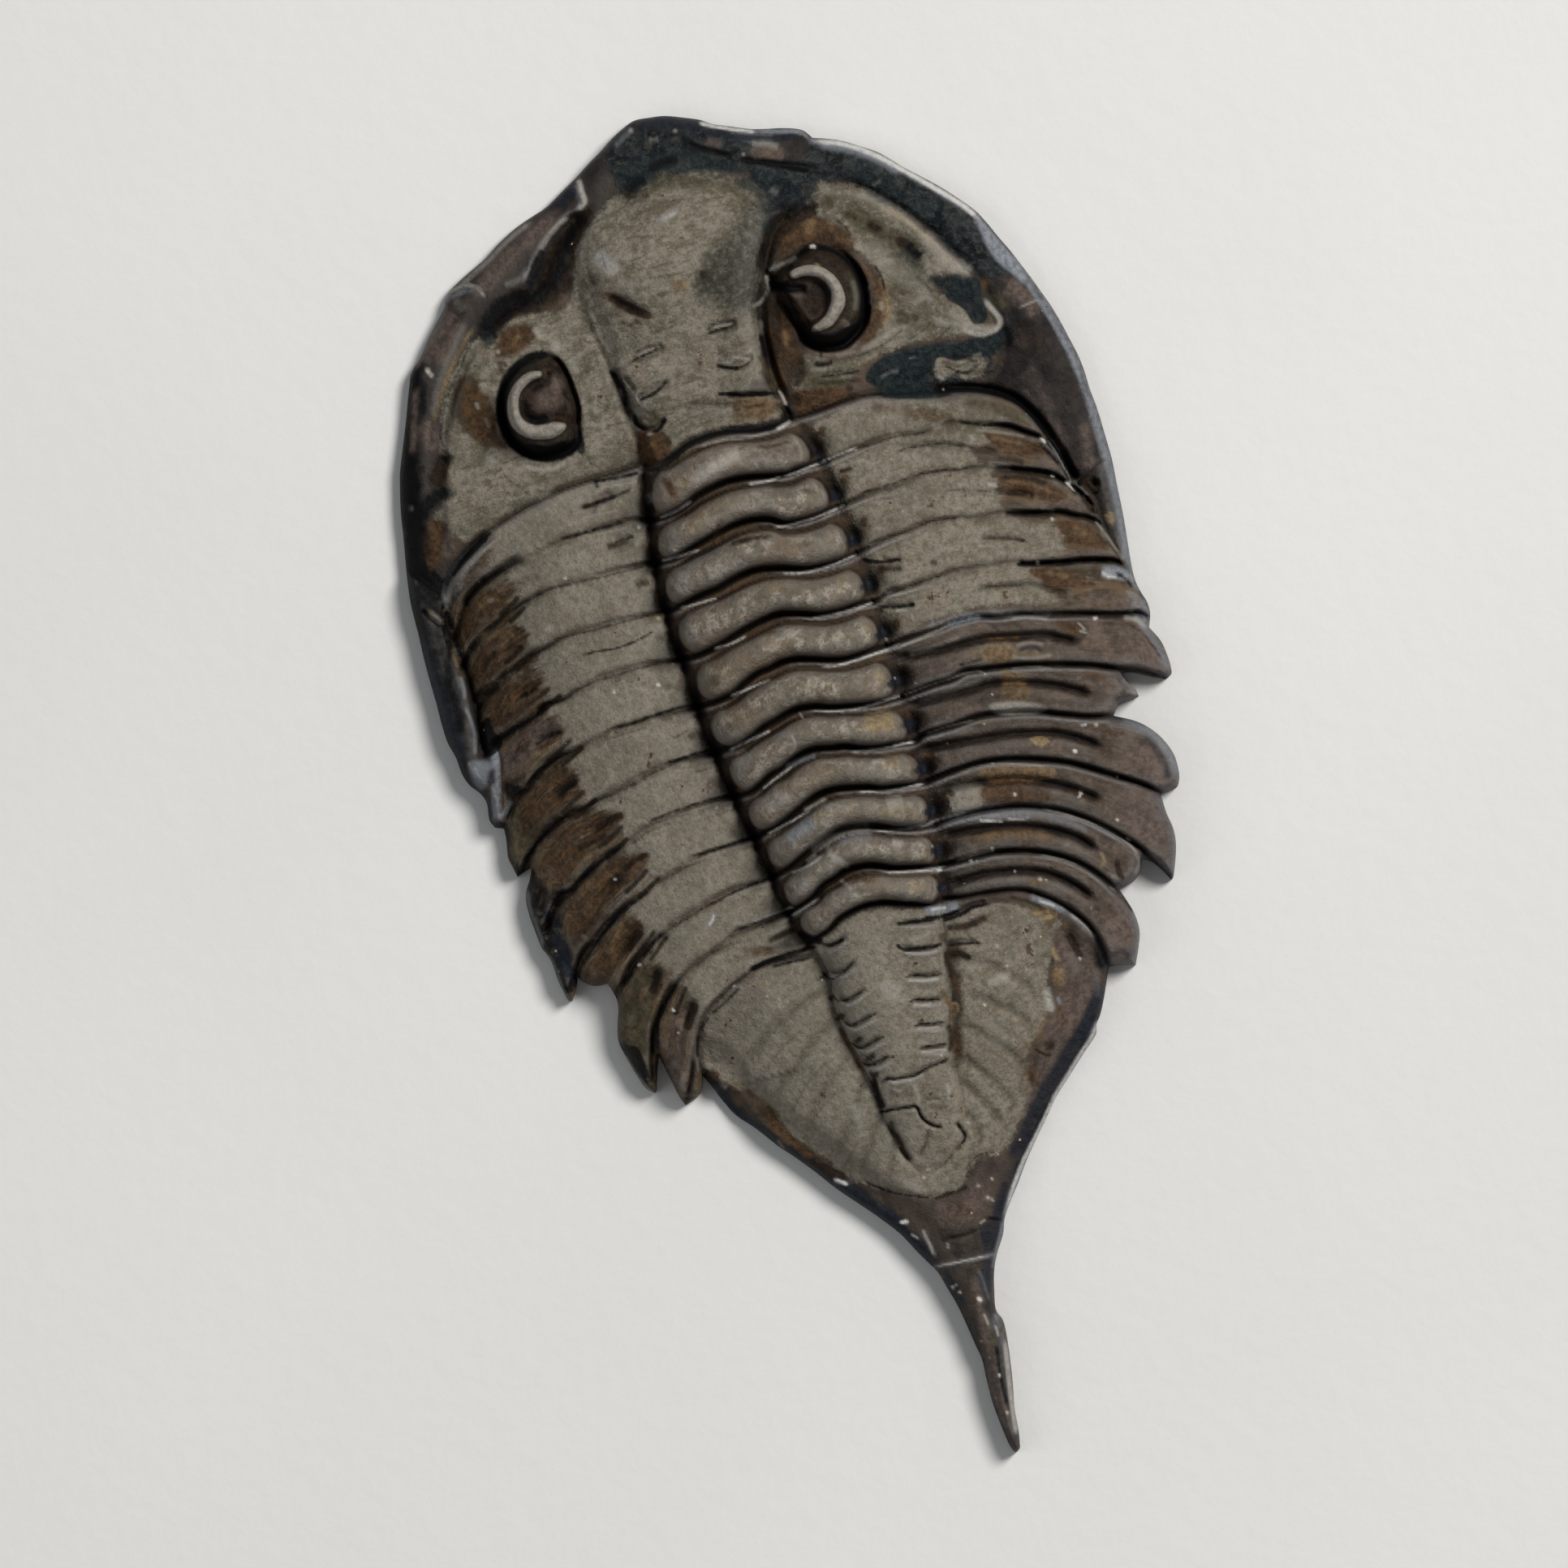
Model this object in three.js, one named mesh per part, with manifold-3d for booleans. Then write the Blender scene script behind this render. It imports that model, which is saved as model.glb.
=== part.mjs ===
// Dalmanites trilobite, one loose fossil: head shield with two eyes and a
// swollen glabella, eleven thoracic rings with their side ribs, and a
// triangular tail plate that runs out into a spine.
//
// Millimetres, +Z up, +Y towards the head, origin at the middle of the
// bounding box on the flat underside. The fossil is one piece of stone, so it
// is one closed solid: a relief surface over a flat base, cut to the outline.

import * as THREE from 'three';
import { mergeVertices } from 'three/addons/utils/BufferGeometryUtils.js';
import Module from 'manifold-3d';

// ---- driving dimensions (mm) -------------------------------------------
const SCALE = 1.0;            // plan points below are already at real size
const STEP_X_MIDDLE = 0.70;   // spacing of the relief surface across the axis and eyes
const STEP_X_SIDE = 1.45;     // and across the side fields
const MIDDLE_HALF = 10.5;     // half-width of the closely spaced part
const STEP_Y = 0.52;          // spacing along the body
const BLOCK_HALF_X = 19.0;    // relief block, a little wider than the outline
const BLOCK_HALF_Y = 35.0;
const BLOCK_BOTTOM = -1.0;    // below the cut plane
const OUTLINE_HEIGHT = 14.0;  // extruded outline, above the highest point
const MARGIN_HEIGHT = 1.5;    // body margin above the base
const BORDER_HEIGHT = 2.0;    // flat border of the head shield
const RIM_HEIGHT = 0.95;      // upright rim all round
const RIM_WIDTH = 1.10;       // over which the surface rises from the rim
const RING_RISE = 0.90;       // rounded bar on each axial ring
const RING_GAP = 0.45;        // channel between two rings
const RIB_STEP = 0.32;        // each side rib overlaps the next one by this
const RIB_LINE = 0.35;        // groove between two ribs
const AXIAL_FURROW = 0.70;    // furrow on each side of the axis
const CHEEK_RISE = 2.9;
const GLABELLA_RISE = 3.9;
const FRONTAL_RISE = 1.6;
const EYE_RISE = 2.4;
const TAIL_SINK = 0.25;       // tail plate below the last ring

// height of the inner side fields above the base, along the body
const FIELD_HEIGHT = [
  [-34.2, 1.0], [-30.6, 1.35], [-27.4, 1.7], [-23.4, 2.3], [-20.2, 2.9],
  [-15.4, 3.7], [-11.4, 4.3], [-7.4, 4.8], [-1.8, 5.2], [4.6, 5.4],
  [10.6, 5.3], [16.6, 5.0], [21.4, 4.6], [25.4, 4.0], [28.6, 3.2],
  [31.0, 2.4], [33.8, 1.8],
];
// rise of the axis above them, and strength of the axial furrow
const AXIS_RISE = [
  [-34.2, 0.15], [-27.4, 0.35], [-20.2, 0.9], [-16.2, 1.5], [-7.4, 2.0],
  [0.6, 2.1], [10.6, 2.1], [20.6, 1.9],
];
const FURROW = [
  [-34.2, 0.0], [-24.2, 0.05], [-20.2, 0.3], [-16.2, 0.5], [-5.8, 0.7],
  [-3.4, 1.0], [15.8, 1.0], [19.0, 0.5],
];

// ---- plan view, [x, y] ---------------------------------------------------
const OUTLINE = [
  [-15.18, 24.07], [-14.87, 24.82], [-14.25, 25.44], [-13.69, 26.17], [-13.10, 26.84], [-12.52, 27.52], [-12.34, 27.88], [-11.94, 28.32],
  [-10.93, 28.88], [-9.89, 29.40], [-9.04, 29.97], [-8.08, 30.46], [-7.17, 30.81], [-6.35, 31.09], [-5.38, 31.67], [-4.55, 32.16],
  [-3.65, 32.75], [-2.97, 33.15], [-2.42, 33.55], [-1.84, 33.85], [-1.15, 34.13], [-0.34, 34.09], [0.38, 33.98], [1.25, 33.68],
  [2.04, 33.35], [2.57, 33.01], [3.43, 32.66], [4.29, 32.32], [4.99, 32.14], [5.77, 31.98], [6.57, 31.73], [6.92, 31.47],
  [7.16, 31.12], [7.85, 30.91], [8.59, 30.59], [9.31, 30.16], [10.05, 29.68], [10.55, 29.22], [11.21, 28.55], [11.91, 27.92],
  [12.65, 27.23], [13.36, 26.47], [14.02, 25.68], [14.47, 24.86], [14.82, 24.11], [15.20, 23.36], [15.56, 22.52], [15.90, 21.73],
  [16.19, 20.95], [16.49, 20.17], [16.75, 19.28], [16.95, 18.44], [17.17, 17.52], [17.28, 16.67], [17.32, 15.71], [17.43, 14.69],
  [17.49, 13.14], [17.51, 12.10], [17.43, 10.68], [17.36, 9.29], [17.26, 8.08], [17.16, 7.07], [17.13, 6.13], [17.27, 5.39],
  [17.43, 4.90], [17.44, 4.32], [17.22, 3.63], [17.63, 2.78], [17.77, 1.75], [17.74, 1.14], [17.40, 0.94], [16.69, 1.24],
  [15.97, 1.64], [15.39, 1.79], [15.48, 1.35], [15.81, 0.85], [15.87, 0.46], [15.24, 0.42], [14.81, 0.33], [14.43, -0.16],
  [15.38, -0.65], [16.06, -1.23], [16.54, -1.94], [16.85, -2.80], [16.84, -3.79], [16.62, -4.35], [16.02, -4.41], [15.72, -4.45],
  [15.76, -5.41], [15.90, -6.32], [15.79, -7.24], [15.34, -8.52], [15.17, -8.69], [14.92, -8.21], [14.53, -7.66], [14.03, -7.32],
  [13.74, -7.99], [13.23, -8.35], [12.55, -8.43], [12.79, -9.11], [13.01, -9.87], [13.04, -10.70], [12.80, -11.47], [12.41, -12.36],
  [11.72, -12.14], [11.12, -12.07], [10.59, -13.33], [10.15, -14.21], [9.83, -14.67], [9.66, -15.16], [8.85, -15.90], [7.92, -16.78],
  [7.00, -17.65], [6.27, -18.54], [5.50, -19.46], [4.77, -20.38], [4.18, -21.22], [3.61, -21.99], [3.08, -22.76], [2.80, -23.51],
  [2.30, -24.33], [1.93, -25.15], [1.70, -26.04], [1.53, -27.03], [1.74, -27.66], [1.71, -28.56], [1.59, -29.68], [1.42, -30.80],
  [1.21, -31.94], [1.13, -33.08], [0.98, -33.95], [0.73, -34.13], [0.56, -33.84], [0.43, -33.23], [0.32, -32.37], [0.22, -31.31],
  [0.22, -30.16], [0.25, -29.26], [0.10, -28.39], [-0.08, -27.32], [-0.27, -26.31], [-0.56, -25.33], [-0.77, -24.57], [-1.18, -23.89],
  [-1.58, -23.21], [-2.12, -22.25], [-2.92, -21.21], [-3.72, -20.30], [-4.62, -19.29], [-5.48, -18.16], [-6.37, -17.10], [-6.82, -16.62],
  [-7.69, -15.48], [-8.46, -14.63], [-8.91, -13.81], [-9.24, -13.02], [-9.58, -12.27], [-9.80, -12.96], [-10.17, -13.27], [-10.77, -13.49],
  [-10.97, -12.99], [-11.12, -12.29], [-11.31, -11.41], [-11.43, -10.76], [-11.70, -11.52], [-12.01, -12.55], [-12.46, -12.19], [-12.80, -11.28],
  [-13.07, -10.26], [-13.18, -9.57], [-13.02, -8.78], [-12.79, -8.02], [-12.77, -7.48], [-12.99, -6.73], [-13.64, -6.68], [-14.13, -6.35],
  [-14.34, -6.05], [-14.57, -6.61], [-14.91, -7.14], [-15.10, -7.05], [-15.17, -6.70], [-15.32, -6.00], [-15.40, -5.03], [-15.61, -4.40],
  [-15.70, -4.25], [-15.81, -3.40], [-15.90, -2.30], [-15.81, -1.46], [-15.42, -0.77], [-15.21, -0.25], [-15.79, -0.43], [-15.98, -0.54],
  [-16.13, 0.15], [-16.20, 0.54], [-16.08, 1.34], [-16.04, 1.95], [-16.46, 2.10], [-16.63, 2.55], [-16.55, 3.36], [-16.74, 3.90],
  [-17.17, 4.47], [-17.38, 5.10], [-17.46, 5.91], [-17.67, 6.70], [-17.73, 7.59], [-17.73, 8.70], [-17.76, 9.87], [-17.77, 11.11],
  [-17.74, 12.22], [-17.74, 12.84], [-17.73, 13.86], [-17.60, 14.99], [-17.41, 16.22], [-17.25, 17.17], [-17.09, 18.25], [-16.86, 19.30],
  [-16.62, 20.23], [-16.24, 21.25], [-15.74, 22.52],
];

const RING_EDGES = [
  [[-16.63, 12.67], [-15.63, 14.48], [-14.45, 15.50], [-13.72, 15.93], [-11.44, 16.79], [-7.35, 17.43], [-5.26, 17.51], [-4.66, 17.44], [-2.67, 17.96], [-0.37, 18.07], [1.63, 17.80], [2.39, 17.90], [4.59, 18.07], [6.26, 18.14], [8.62, 17.70], [9.80, 17.48], [11.79, 17.17], [13.60, 16.17], [14.62, 14.54], [14.86, 13.86], [15.29, 12.30], [15.90, 9.88]],
  [[-15.98, 11.68], [-15.02, 13.29], [-13.81, 14.01], [-12.91, 14.28], [-10.72, 14.79], [-8.96, 15.04], [-7.53, 15.12], [-6.66, 15.15], [-4.88, 14.81], [-2.75, 15.42], [-0.93, 15.74], [0.00, 15.66], [1.82, 15.36], [3.06, 15.49], [4.62, 15.63], [5.70, 15.81], [8.93, 15.68], [11.31, 15.48], [13.06, 14.90], [13.73, 14.44], [14.91, 13.23], [15.38, 11.04]],
  [[-16.01, 10.24], [-14.92, 11.28], [-13.46, 11.98], [-11.99, 12.55], [-10.22, 12.84], [-8.10, 12.91], [-6.83, 12.88], [-5.42, 12.72], [-3.75, 12.95], [-2.11, 13.40], [-0.53, 13.61], [1.22, 13.03], [3.31, 13.12], [5.07, 13.37], [6.80, 13.33], [8.50, 13.68], [9.33, 13.55], [10.76, 13.35], [12.55, 12.89], [13.94, 12.36], [14.92, 11.70], [15.98, 10.18]],
  [[-16.33, 7.43], [-15.31, 8.49], [-14.26, 9.21], [-13.38, 9.57], [-11.50, 10.12], [-9.36, 10.43], [-6.12, 10.34], [-5.17, 10.34], [-3.77, 10.64], [-2.16, 10.97], [-0.62, 11.15], [0.48, 10.95], [2.45, 10.57], [4.24, 10.77], [6.01, 11.10], [6.91, 11.20], [8.55, 11.31], [10.27, 10.95], [12.74, 10.61], [13.62, 10.34], [15.00, 9.90], [16.62, 8.66]],
  [[-16.20, 5.34], [-15.17, 6.31], [-13.72, 6.80], [-12.56, 7.29], [-10.77, 7.66], [-9.07, 8.00], [-7.16, 8.05], [-5.31, 7.86], [-4.11, 7.88], [-2.68, 8.30], [-1.05, 8.70], [-0.28, 8.79], [1.23, 8.41], [2.79, 8.21], [4.41, 8.25], [6.01, 8.50], [7.78, 8.66], [9.74, 8.57], [12.10, 8.13], [13.92, 7.78], [15.69, 7.45], [17.14, 6.66]],
  [[-15.90, 2.37], [-14.90, 3.35], [-13.84, 4.11], [-12.35, 4.76], [-11.18, 4.95], [-9.56, 5.32], [-6.91, 5.34], [-5.24, 5.40], [-3.60, 5.52], [-2.10, 6.21], [-0.71, 6.47], [0.76, 6.26], [2.27, 5.87], [3.95, 5.97], [5.39, 6.10], [7.14, 6.18], [8.49, 6.29], [10.12, 6.03], [11.93, 5.69], [14.18, 5.11], [16.39, 4.55], [18.13, 3.31]],
  [[-15.95, -0.72], [-14.46, 1.05], [-13.05, 1.71], [-11.96, 1.93], [-11.11, 2.17], [-9.53, 2.54], [-7.52, 2.98], [-5.78, 2.98], [-4.38, 2.99], [-3.15, 3.26], [-1.79, 3.73], [-1.16, 3.94], [0.34, 3.97], [1.96, 3.55], [3.60, 3.33], [5.32, 3.43], [7.17, 3.57], [8.69, 3.68], [9.97, 3.51], [12.66, 2.90], [15.24, 2.03], [17.85, 0.62]],
  [[-15.27, -3.25], [-14.19, -1.92], [-13.59, -1.82], [-12.11, -0.88], [-10.65, -0.35], [-9.92, -0.08], [-7.72, 0.43], [-4.96, 0.71], [-4.56, 0.69], [-3.40, 0.84], [-2.11, 1.38], [-1.49, 1.67], [-0.18, 1.95], [1.28, 1.70], [1.88, 1.46], [3.70, 1.16], [5.18, 1.28], [6.56, 1.34], [8.64, 1.42], [11.86, 0.59], [13.11, 0.14], [15.81, -0.92]],
  [[-14.76, -6.39], [-13.05, -4.40], [-12.05, -3.71], [-9.29, -2.47], [-7.51, -1.98], [-5.53, -1.67], [-4.10, -1.54], [-3.10, -1.34], [-2.45, -1.10], [-1.18, -0.47], [-0.55, -0.26], [0.97, -0.32], [1.87, -0.51], [3.18, -0.85], [4.11, -0.97], [5.53, -0.88], [6.34, -0.80], [9.37, -1.04], [11.28, -1.66], [13.67, -2.97], [14.85, -3.69], [16.72, -5.41]],
  [[-13.04, -7.71], [-12.33, -6.90], [-10.59, -5.44], [-9.35, -4.77], [-6.07, -3.76], [-4.20, -3.70], [-3.50, -3.55], [-2.46, -3.20], [-1.80, -2.88], [-1.14, -2.59], [0.07, -2.20], [0.92, -2.25], [2.68, -2.83], [3.57, -3.06], [4.41, -3.15], [5.92, -3.05], [7.20, -3.08], [8.91, -3.32], [11.86, -4.70], [12.98, -5.65], [14.35, -7.24], [15.09, -8.50]],
  [[-12.07, -11.84], [-11.73, -10.48], [-11.28, -9.23], [-10.62, -8.29], [-8.65, -6.89], [-7.41, -6.39], [-5.20, -5.84], [-3.74, -5.60], [-3.21, -5.48], [-2.16, -5.09], [-1.52, -4.68], [-0.24, -4.22], [0.43, -4.19], [1.93, -4.62], [2.62, -4.80], [3.52, -4.99], [5.71, -5.18], [7.06, -5.20], [9.65, -5.90], [10.83, -6.62], [12.29, -8.32], [12.95, -9.60]],
  [[-9.47, -13.12], [-9.64, -11.84], [-8.93, -9.55], [-7.89, -8.74], [-6.62, -8.12], [-5.14, -7.67], [-2.65, -7.16], [-1.83, -6.87], [-1.19, -6.46], [0.22, -6.12], [0.96, -6.14], [1.69, -6.33], [2.64, -6.66], [4.01, -6.81], [5.25, -6.96], [6.59, -7.06], [8.86, -7.85], [9.78, -8.62], [10.50, -9.51], [10.93, -10.40], [11.13, -12.03], [10.88, -12.99]],
];

const AXIS_LEFT = [
  [-4.36, 32.23], [-4.93, 30.52], [-5.33, 28.97], [-5.52, 26.95], [-5.37, 22.70], [-5.08, 20.64], [-4.93, 18.33], [-5.03, 16.50],
  [-5.34, 14.31], [-5.59, 11.90], [-5.57, 9.41], [-5.20, 4.44], [-4.87, 2.21], [-4.48, -0.16], [-4.01, -2.35], [-3.66, -4.50],
  [-3.22, -6.47], [-2.59, -7.88], [-2.45, -10.55], [-2.29, -11.84], [-1.96, -13.12], [-1.64, -14.61], [-1.49, -16.13], [-1.30, -17.00],
  [-1.06, -18.14], [0.05, -22.81], [0.42, -26.20], [0.49, -29.94], [0.56, -33.84],
];

const AXIS_RIGHT = [
  [5.71, 29.64], [4.27, 28.07], [3.70, 26.65], [3.00, 24.76], [2.30, 21.22], [2.46, 19.12], [2.95, 17.34], [3.31, 16.01],
  [3.65, 13.77], [4.02, 11.36], [4.22, 8.96], [4.45, 4.23], [4.49, 1.99], [4.62, -0.11], [4.54, -2.15], [4.35, -4.17],
  [4.05, -6.32], [3.74, -8.02], [3.36, -11.23], [2.91, -13.01], [2.65, -14.31], [2.55, -15.68], [2.52, -16.75], [2.27, -18.21],
  [2.00, -19.59], [1.67, -24.05], [1.46, -26.47], [1.19, -30.12], [0.79, -33.90],
];

const MARGIN_LEFT = [
  [-4.70, 33.35], [-9.77, 29.70], [-12.79, 26.76], [-15.34, 23.29], [-16.73, 19.51], [-17.34, 15.54], [-16.04, 13.35], [-15.54, 11.77],
  [-15.54, 8.88], [-15.57, 6.20], [-15.53, 3.30], [-15.62, 0.23], [-15.35, -3.56], [-14.29, -6.31], [-13.15, -9.91], [-11.03, -12.93],
  [-9.29, -13.38], [-6.82, -16.62], [-3.72, -20.30], [-1.58, -23.21], [-0.56, -25.33], [0.10, -28.39], [0.22, -31.31], [0.56, -33.84],
];

const MARGIN_RIGHT = [
  [5.77, 32.31], [10.05, 29.68], [14.02, 25.68], [16.19, 20.95], [17.32, 15.71], [17.43, 10.68], [17.16, 7.07], [17.44, 4.32],
  [17.59, 1.18], [17.08, -1.58], [16.68, -3.95], [15.52, -7.79], [13.92, -9.85], [12.55, -11.98], [10.73, -12.96], [9.66, -15.16],
  [7.00, -17.65], [4.77, -20.38], [3.08, -22.76], [1.97, -25.16], [1.74, -27.66], [1.42, -30.80], [0.98, -33.95],
];

const GLABELLA = [
  [-3.09, 29.96], [-1.67, 30.67], [0.02, 30.81], [1.65, 30.40], [3.21, 29.58], [4.43, 28.69], [4.97, 27.89], [4.23, 27.13],
  [3.54, 26.19], [2.98, 24.97], [2.47, 23.66], [2.33, 22.46], [2.26, 21.23], [2.27, 19.99], [2.46, 18.79], [1.46, 18.76],
  [0.07, 18.99], [-1.35, 19.07], [-2.57, 18.84], [-3.78, 18.45], [-4.67, 18.06], [-4.83, 18.72], [-4.92, 19.98], [-5.08, 21.27],
  [-5.28, 22.43], [-5.46, 23.64], [-5.71, 24.94], [-5.77, 26.28], [-5.64, 27.60], [-5.21, 28.94], [-4.49, 29.66],
];

const FRONTAL_LOBE = [
  [-3.21, 29.99], [-1.65, 30.75], [0.03, 30.85], [1.66, 30.43], [3.22, 29.62], [4.43, 28.69], [4.97, 27.89], [4.27, 27.12],
  [3.62, 26.17], [2.98, 24.97], [2.36, 24.18], [1.00, 24.20], [-0.38, 24.14], [-1.54, 23.95], [-2.63, 24.06], [-3.67, 24.50],
  [-4.74, 24.85], [-5.59, 25.40], [-5.78, 26.40], [-5.64, 27.60], [-5.21, 28.94], [-4.49, 29.66],
];

const CHEEK_LEFT = [
  [-6.18, 29.19], [-5.99, 28.32], [-6.63, 27.45], [-6.51, 26.30], [-6.21, 25.07], [-5.73, 23.71], [-5.47, 22.32], [-5.34, 20.92],
  [-5.18, 19.43], [-5.09, 18.17], [-5.44, 17.64], [-7.33, 17.51], [-9.23, 17.34], [-11.43, 16.83], [-13.05, 16.30], [-13.68, 16.09],
  [-14.54, 15.65], [-15.09, 15.46], [-15.24, 16.16], [-15.03, 17.43], [-14.71, 18.99], [-14.24, 20.52], [-13.55, 22.21], [-12.78, 23.45],
  [-11.92, 24.55], [-10.94, 25.46], [-9.73, 26.30], [-8.45, 26.80], [-7.21, 27.60], [-6.65, 28.48],
];

const CHEEK_RIGHT = [
  [5.74, 28.18], [7.24, 28.38], [8.60, 28.03], [9.96, 26.89], [11.24, 25.45], [12.29, 23.94], [13.08, 22.50], [13.47, 20.83],
  [13.64, 19.21], [13.18, 18.09], [12.50, 17.52], [11.06, 17.56], [9.46, 17.73], [7.48, 18.07], [5.87, 18.24], [4.22, 18.25],
  [3.17, 18.19], [2.77, 19.04], [2.60, 20.32], [2.57, 21.77], [2.80, 23.16], [3.25, 24.90], [3.84, 26.40], [4.63, 27.56],
];

const EYE_LEFT = [
  [-8.29, 24.20], [-9.06, 24.27], [-9.70, 24.19], [-10.24, 23.83], [-10.65, 23.40], [-10.97, 22.78], [-11.18, 22.13], [-11.28, 21.42],
  [-11.23, 20.66], [-10.95, 19.97], [-10.51, 19.44], [-9.90, 19.08], [-9.16, 18.89], [-8.53, 18.93], [-7.94, 19.15], [-7.50, 19.58],
  [-7.21, 20.37], [-7.17, 21.18], [-7.22, 21.94], [-7.33, 22.63], [-7.48, 23.33], [-7.80, 23.87],
];

const EYE_RIGHT = [
  [3.25, 24.90], [3.71, 25.24], [4.53, 25.56], [5.10, 25.83], [5.64, 26.02], [6.29, 25.98], [6.90, 25.62], [7.39, 25.12],
  [7.73, 24.49], [7.88, 23.79], [7.92, 23.00], [7.83, 22.32], [7.58, 21.68], [7.16, 21.17], [6.61, 20.78], [5.91, 20.63],
  [5.19, 20.73], [4.54, 21.10], [4.19, 21.65], [4.01, 22.23], [3.71, 23.01], [3.39, 23.84],
];

// ---- small helpers -------------------------------------------------------
const clamp = (x, a, b) => Math.min(b, Math.max(a, x));
const smooth = (x, a, b) => {
  const t = clamp((x - a) / (b - a), 0, 1);
  return t * t * (3 - 2 * t);
};
const dome = (t) => {
  const c = clamp(t, 0, 1);
  return Math.sqrt(Math.max(0, 1 - (1 - c) * (1 - c)));
};
// value of a table of [key, value] pairs at x, straight between the pairs
function table(rows, x) {
  if (x <= rows[0][0]) return rows[0][1];
  for (let i = 1; i < rows.length; i++) {
    if (x <= rows[i][0]) {
      const [a, p] = rows[i - 1];
      const [b, q] = rows[i];
      return p + ((q - p) * (x - a)) / Math.max(b - a, 1e-6);
    }
  }
  return rows[rows.length - 1][1];
}
// an open line resampled through a Catmull-Rom curve, sorted along one axis
function lineTable(points, key, step = 0.3) {
  const curve = new THREE.CatmullRomCurve3(
    points.map(([x, y]) => new THREE.Vector3(x, y, 0)), false, 'catmullrom', 0.5);
  const n = Math.max(8, Math.ceil(curve.getLength() / step));
  return curve.getSpacedPoints(n)
    .map((p) => (key === 'x' ? [p.x, p.y] : [p.y, p.x]))
    .sort((a, b) => a[0] - b[0]);
}
// signed distance to a closed outline, positive inside
function inside(points, x, y, cap = 8) {
  let best = cap * cap;
  let within = false;
  for (let i = 0, j = points.length - 1; i < points.length; j = i++) {
    const [ax, ay] = points[j];
    const [bx, by] = points[i];
    const dx = bx - ax;
    const dy = by - ay;
    const t = clamp(((x - ax) * dx + (y - ay) * dy) / Math.max(dx * dx + dy * dy, 1e-9), 0, 1);
    const d = (x - ax - t * dx) ** 2 + (y - ay - t * dy) ** 2;
    if (d < best) best = d;
    if (ay > y !== by > y && x < ((bx - ax) * (y - ay)) / (by - ay) + ax) within = !within;
  }
  return within ? Math.sqrt(best) : -Math.sqrt(best);
}

const edges = RING_EDGES.map((p) => lineTable(p, 'x'));
const axisLeft = lineTable(AXIS_LEFT, 'y');
const axisRight = lineTable(AXIS_RIGHT, 'y');
const marginLeft = lineTable(MARGIN_LEFT, 'y');
const marginRight = lineTable(MARGIN_RIGHT, 'y');

// ---- the relief ----------------------------------------------------------
function relief(x, y) {
  const sd = inside(OUTLINE, x, y, 2.5);
  if (sd < -1.6) return RIM_HEIGHT;
  const xl = table(axisLeft, y);
  const xr = table(axisRight, y);
  const ml = table(marginLeft, y);
  const mr = table(marginRight, y);
  const xc = (xl + xr) / 2;
  const half = Math.max((xr - xl) / 2, 0.08);
  const q = (x - xc) / half;
  const aq = Math.abs(q);
  const field = table(FIELD_HEIGHT, y);
  const rho = clamp(x < xc ? (xl - x) / Math.max(xl - ml, 0.16) : (x - xr) / Math.max(mr - xr, 0.16), 0, 1);
  const vault = MARGIN_HEIGHT + (field - MARGIN_HEIGHT) * (1 - rho ** 2.1);
  const axis = table(AXIS_RISE, y) * Math.sqrt(clamp(1 - q * q, 0, 1));
  const furrow = AXIAL_FURROW * table(FURROW, y) *
    (Math.exp(-(((x - xl) / 0.6) ** 2)) + Math.exp(-(((x - xr) / 0.6) ** 2)));

  // place between the ring edges: 0 at the front of a ring, 1 at its back
  const d = edges.map((e) => table(e, x) - y);
  let ring = -1;
  for (let k = 0; k < d.length - 1; k++) if (d[k] > 0 && d[k + 1] <= 0) ring = k;
  const line = Math.min(...d.map(Math.abs));

  // thorax
  let thorax = vault + axis - furrow;
  if (ring >= 0) {
    const f = d[ring] / Math.max(d[ring] - d[ring + 1], 1e-3);
    const bar = Math.sqrt(clamp(1 - ((f - 0.58) / 0.46) ** 2 - Math.max(0, (aq - 0.8) / 0.18) ** 2, 0, 1));
    const onAxis = smooth(1.02 - aq, 0, 0.12);
    thorax += RING_RISE * bar - RING_GAP * onAxis * (1 - smooth(bar, 0, 0.5));
    thorax += (f - 0.5) * RIB_STEP * (1 - onAxis) * (1 + 0.6 * smooth(rho, 0.45, 0.8));
    thorax -= RIB_LINE * Math.exp(-((line / 0.28) ** 2)) * (1 - onAxis);
  }

  // head shield: flat border, two cheeks, glabella, eyes
  const cheek = Math.max(
    dome(inside(CHEEK_LEFT, x, y) / 6) ** 1.15,
    dome(inside(CHEEK_RIGHT, x, y) / 6) ** 1.15);
  let head = BORDER_HEIGHT + CHEEK_RISE * cheek;
  const gl = inside(GLABELLA, x, y);
  if (gl > 0) {
    const lobe = dome(inside(FRONTAL_LOBE, x, y) / 4.8);
    head = Math.max(head, BORDER_HEIGHT + 0.3 + GLABELLA_RISE * dome(gl / 3.8) ** 0.9 + FRONTAL_RISE * lobe);
  }
  for (const eye of [EYE_LEFT, EYE_RIGHT]) {
    const e = inside(eye, x, y);
    head += EYE_RISE * smooth(e, 0.1, 1.3) - 0.5 * Math.exp(-((e / 0.4) ** 2));
  }

  // tail plate
  const rim = smooth(sd, 0.5, 1.8);
  let plate = vault - TAIL_SINK;
  plate = MARGIN_HEIGHT + rim * (plate - MARGIN_HEIGHT) + axis - 0.8 * furrow;

  const toHead = smooth(-d[0], -0.15, 0.15);
  const toTail = smooth(d[d.length - 1], -0.15, 0.15);
  let z = thorax * (1 - toHead) + head * toHead;
  z = z * (1 - toTail) + plate * toTail;
  return RIM_HEIGHT + Math.max(0, z - RIM_HEIGHT) * dome(Math.max(sd, 0) / RIM_WIDTH);
}

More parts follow.
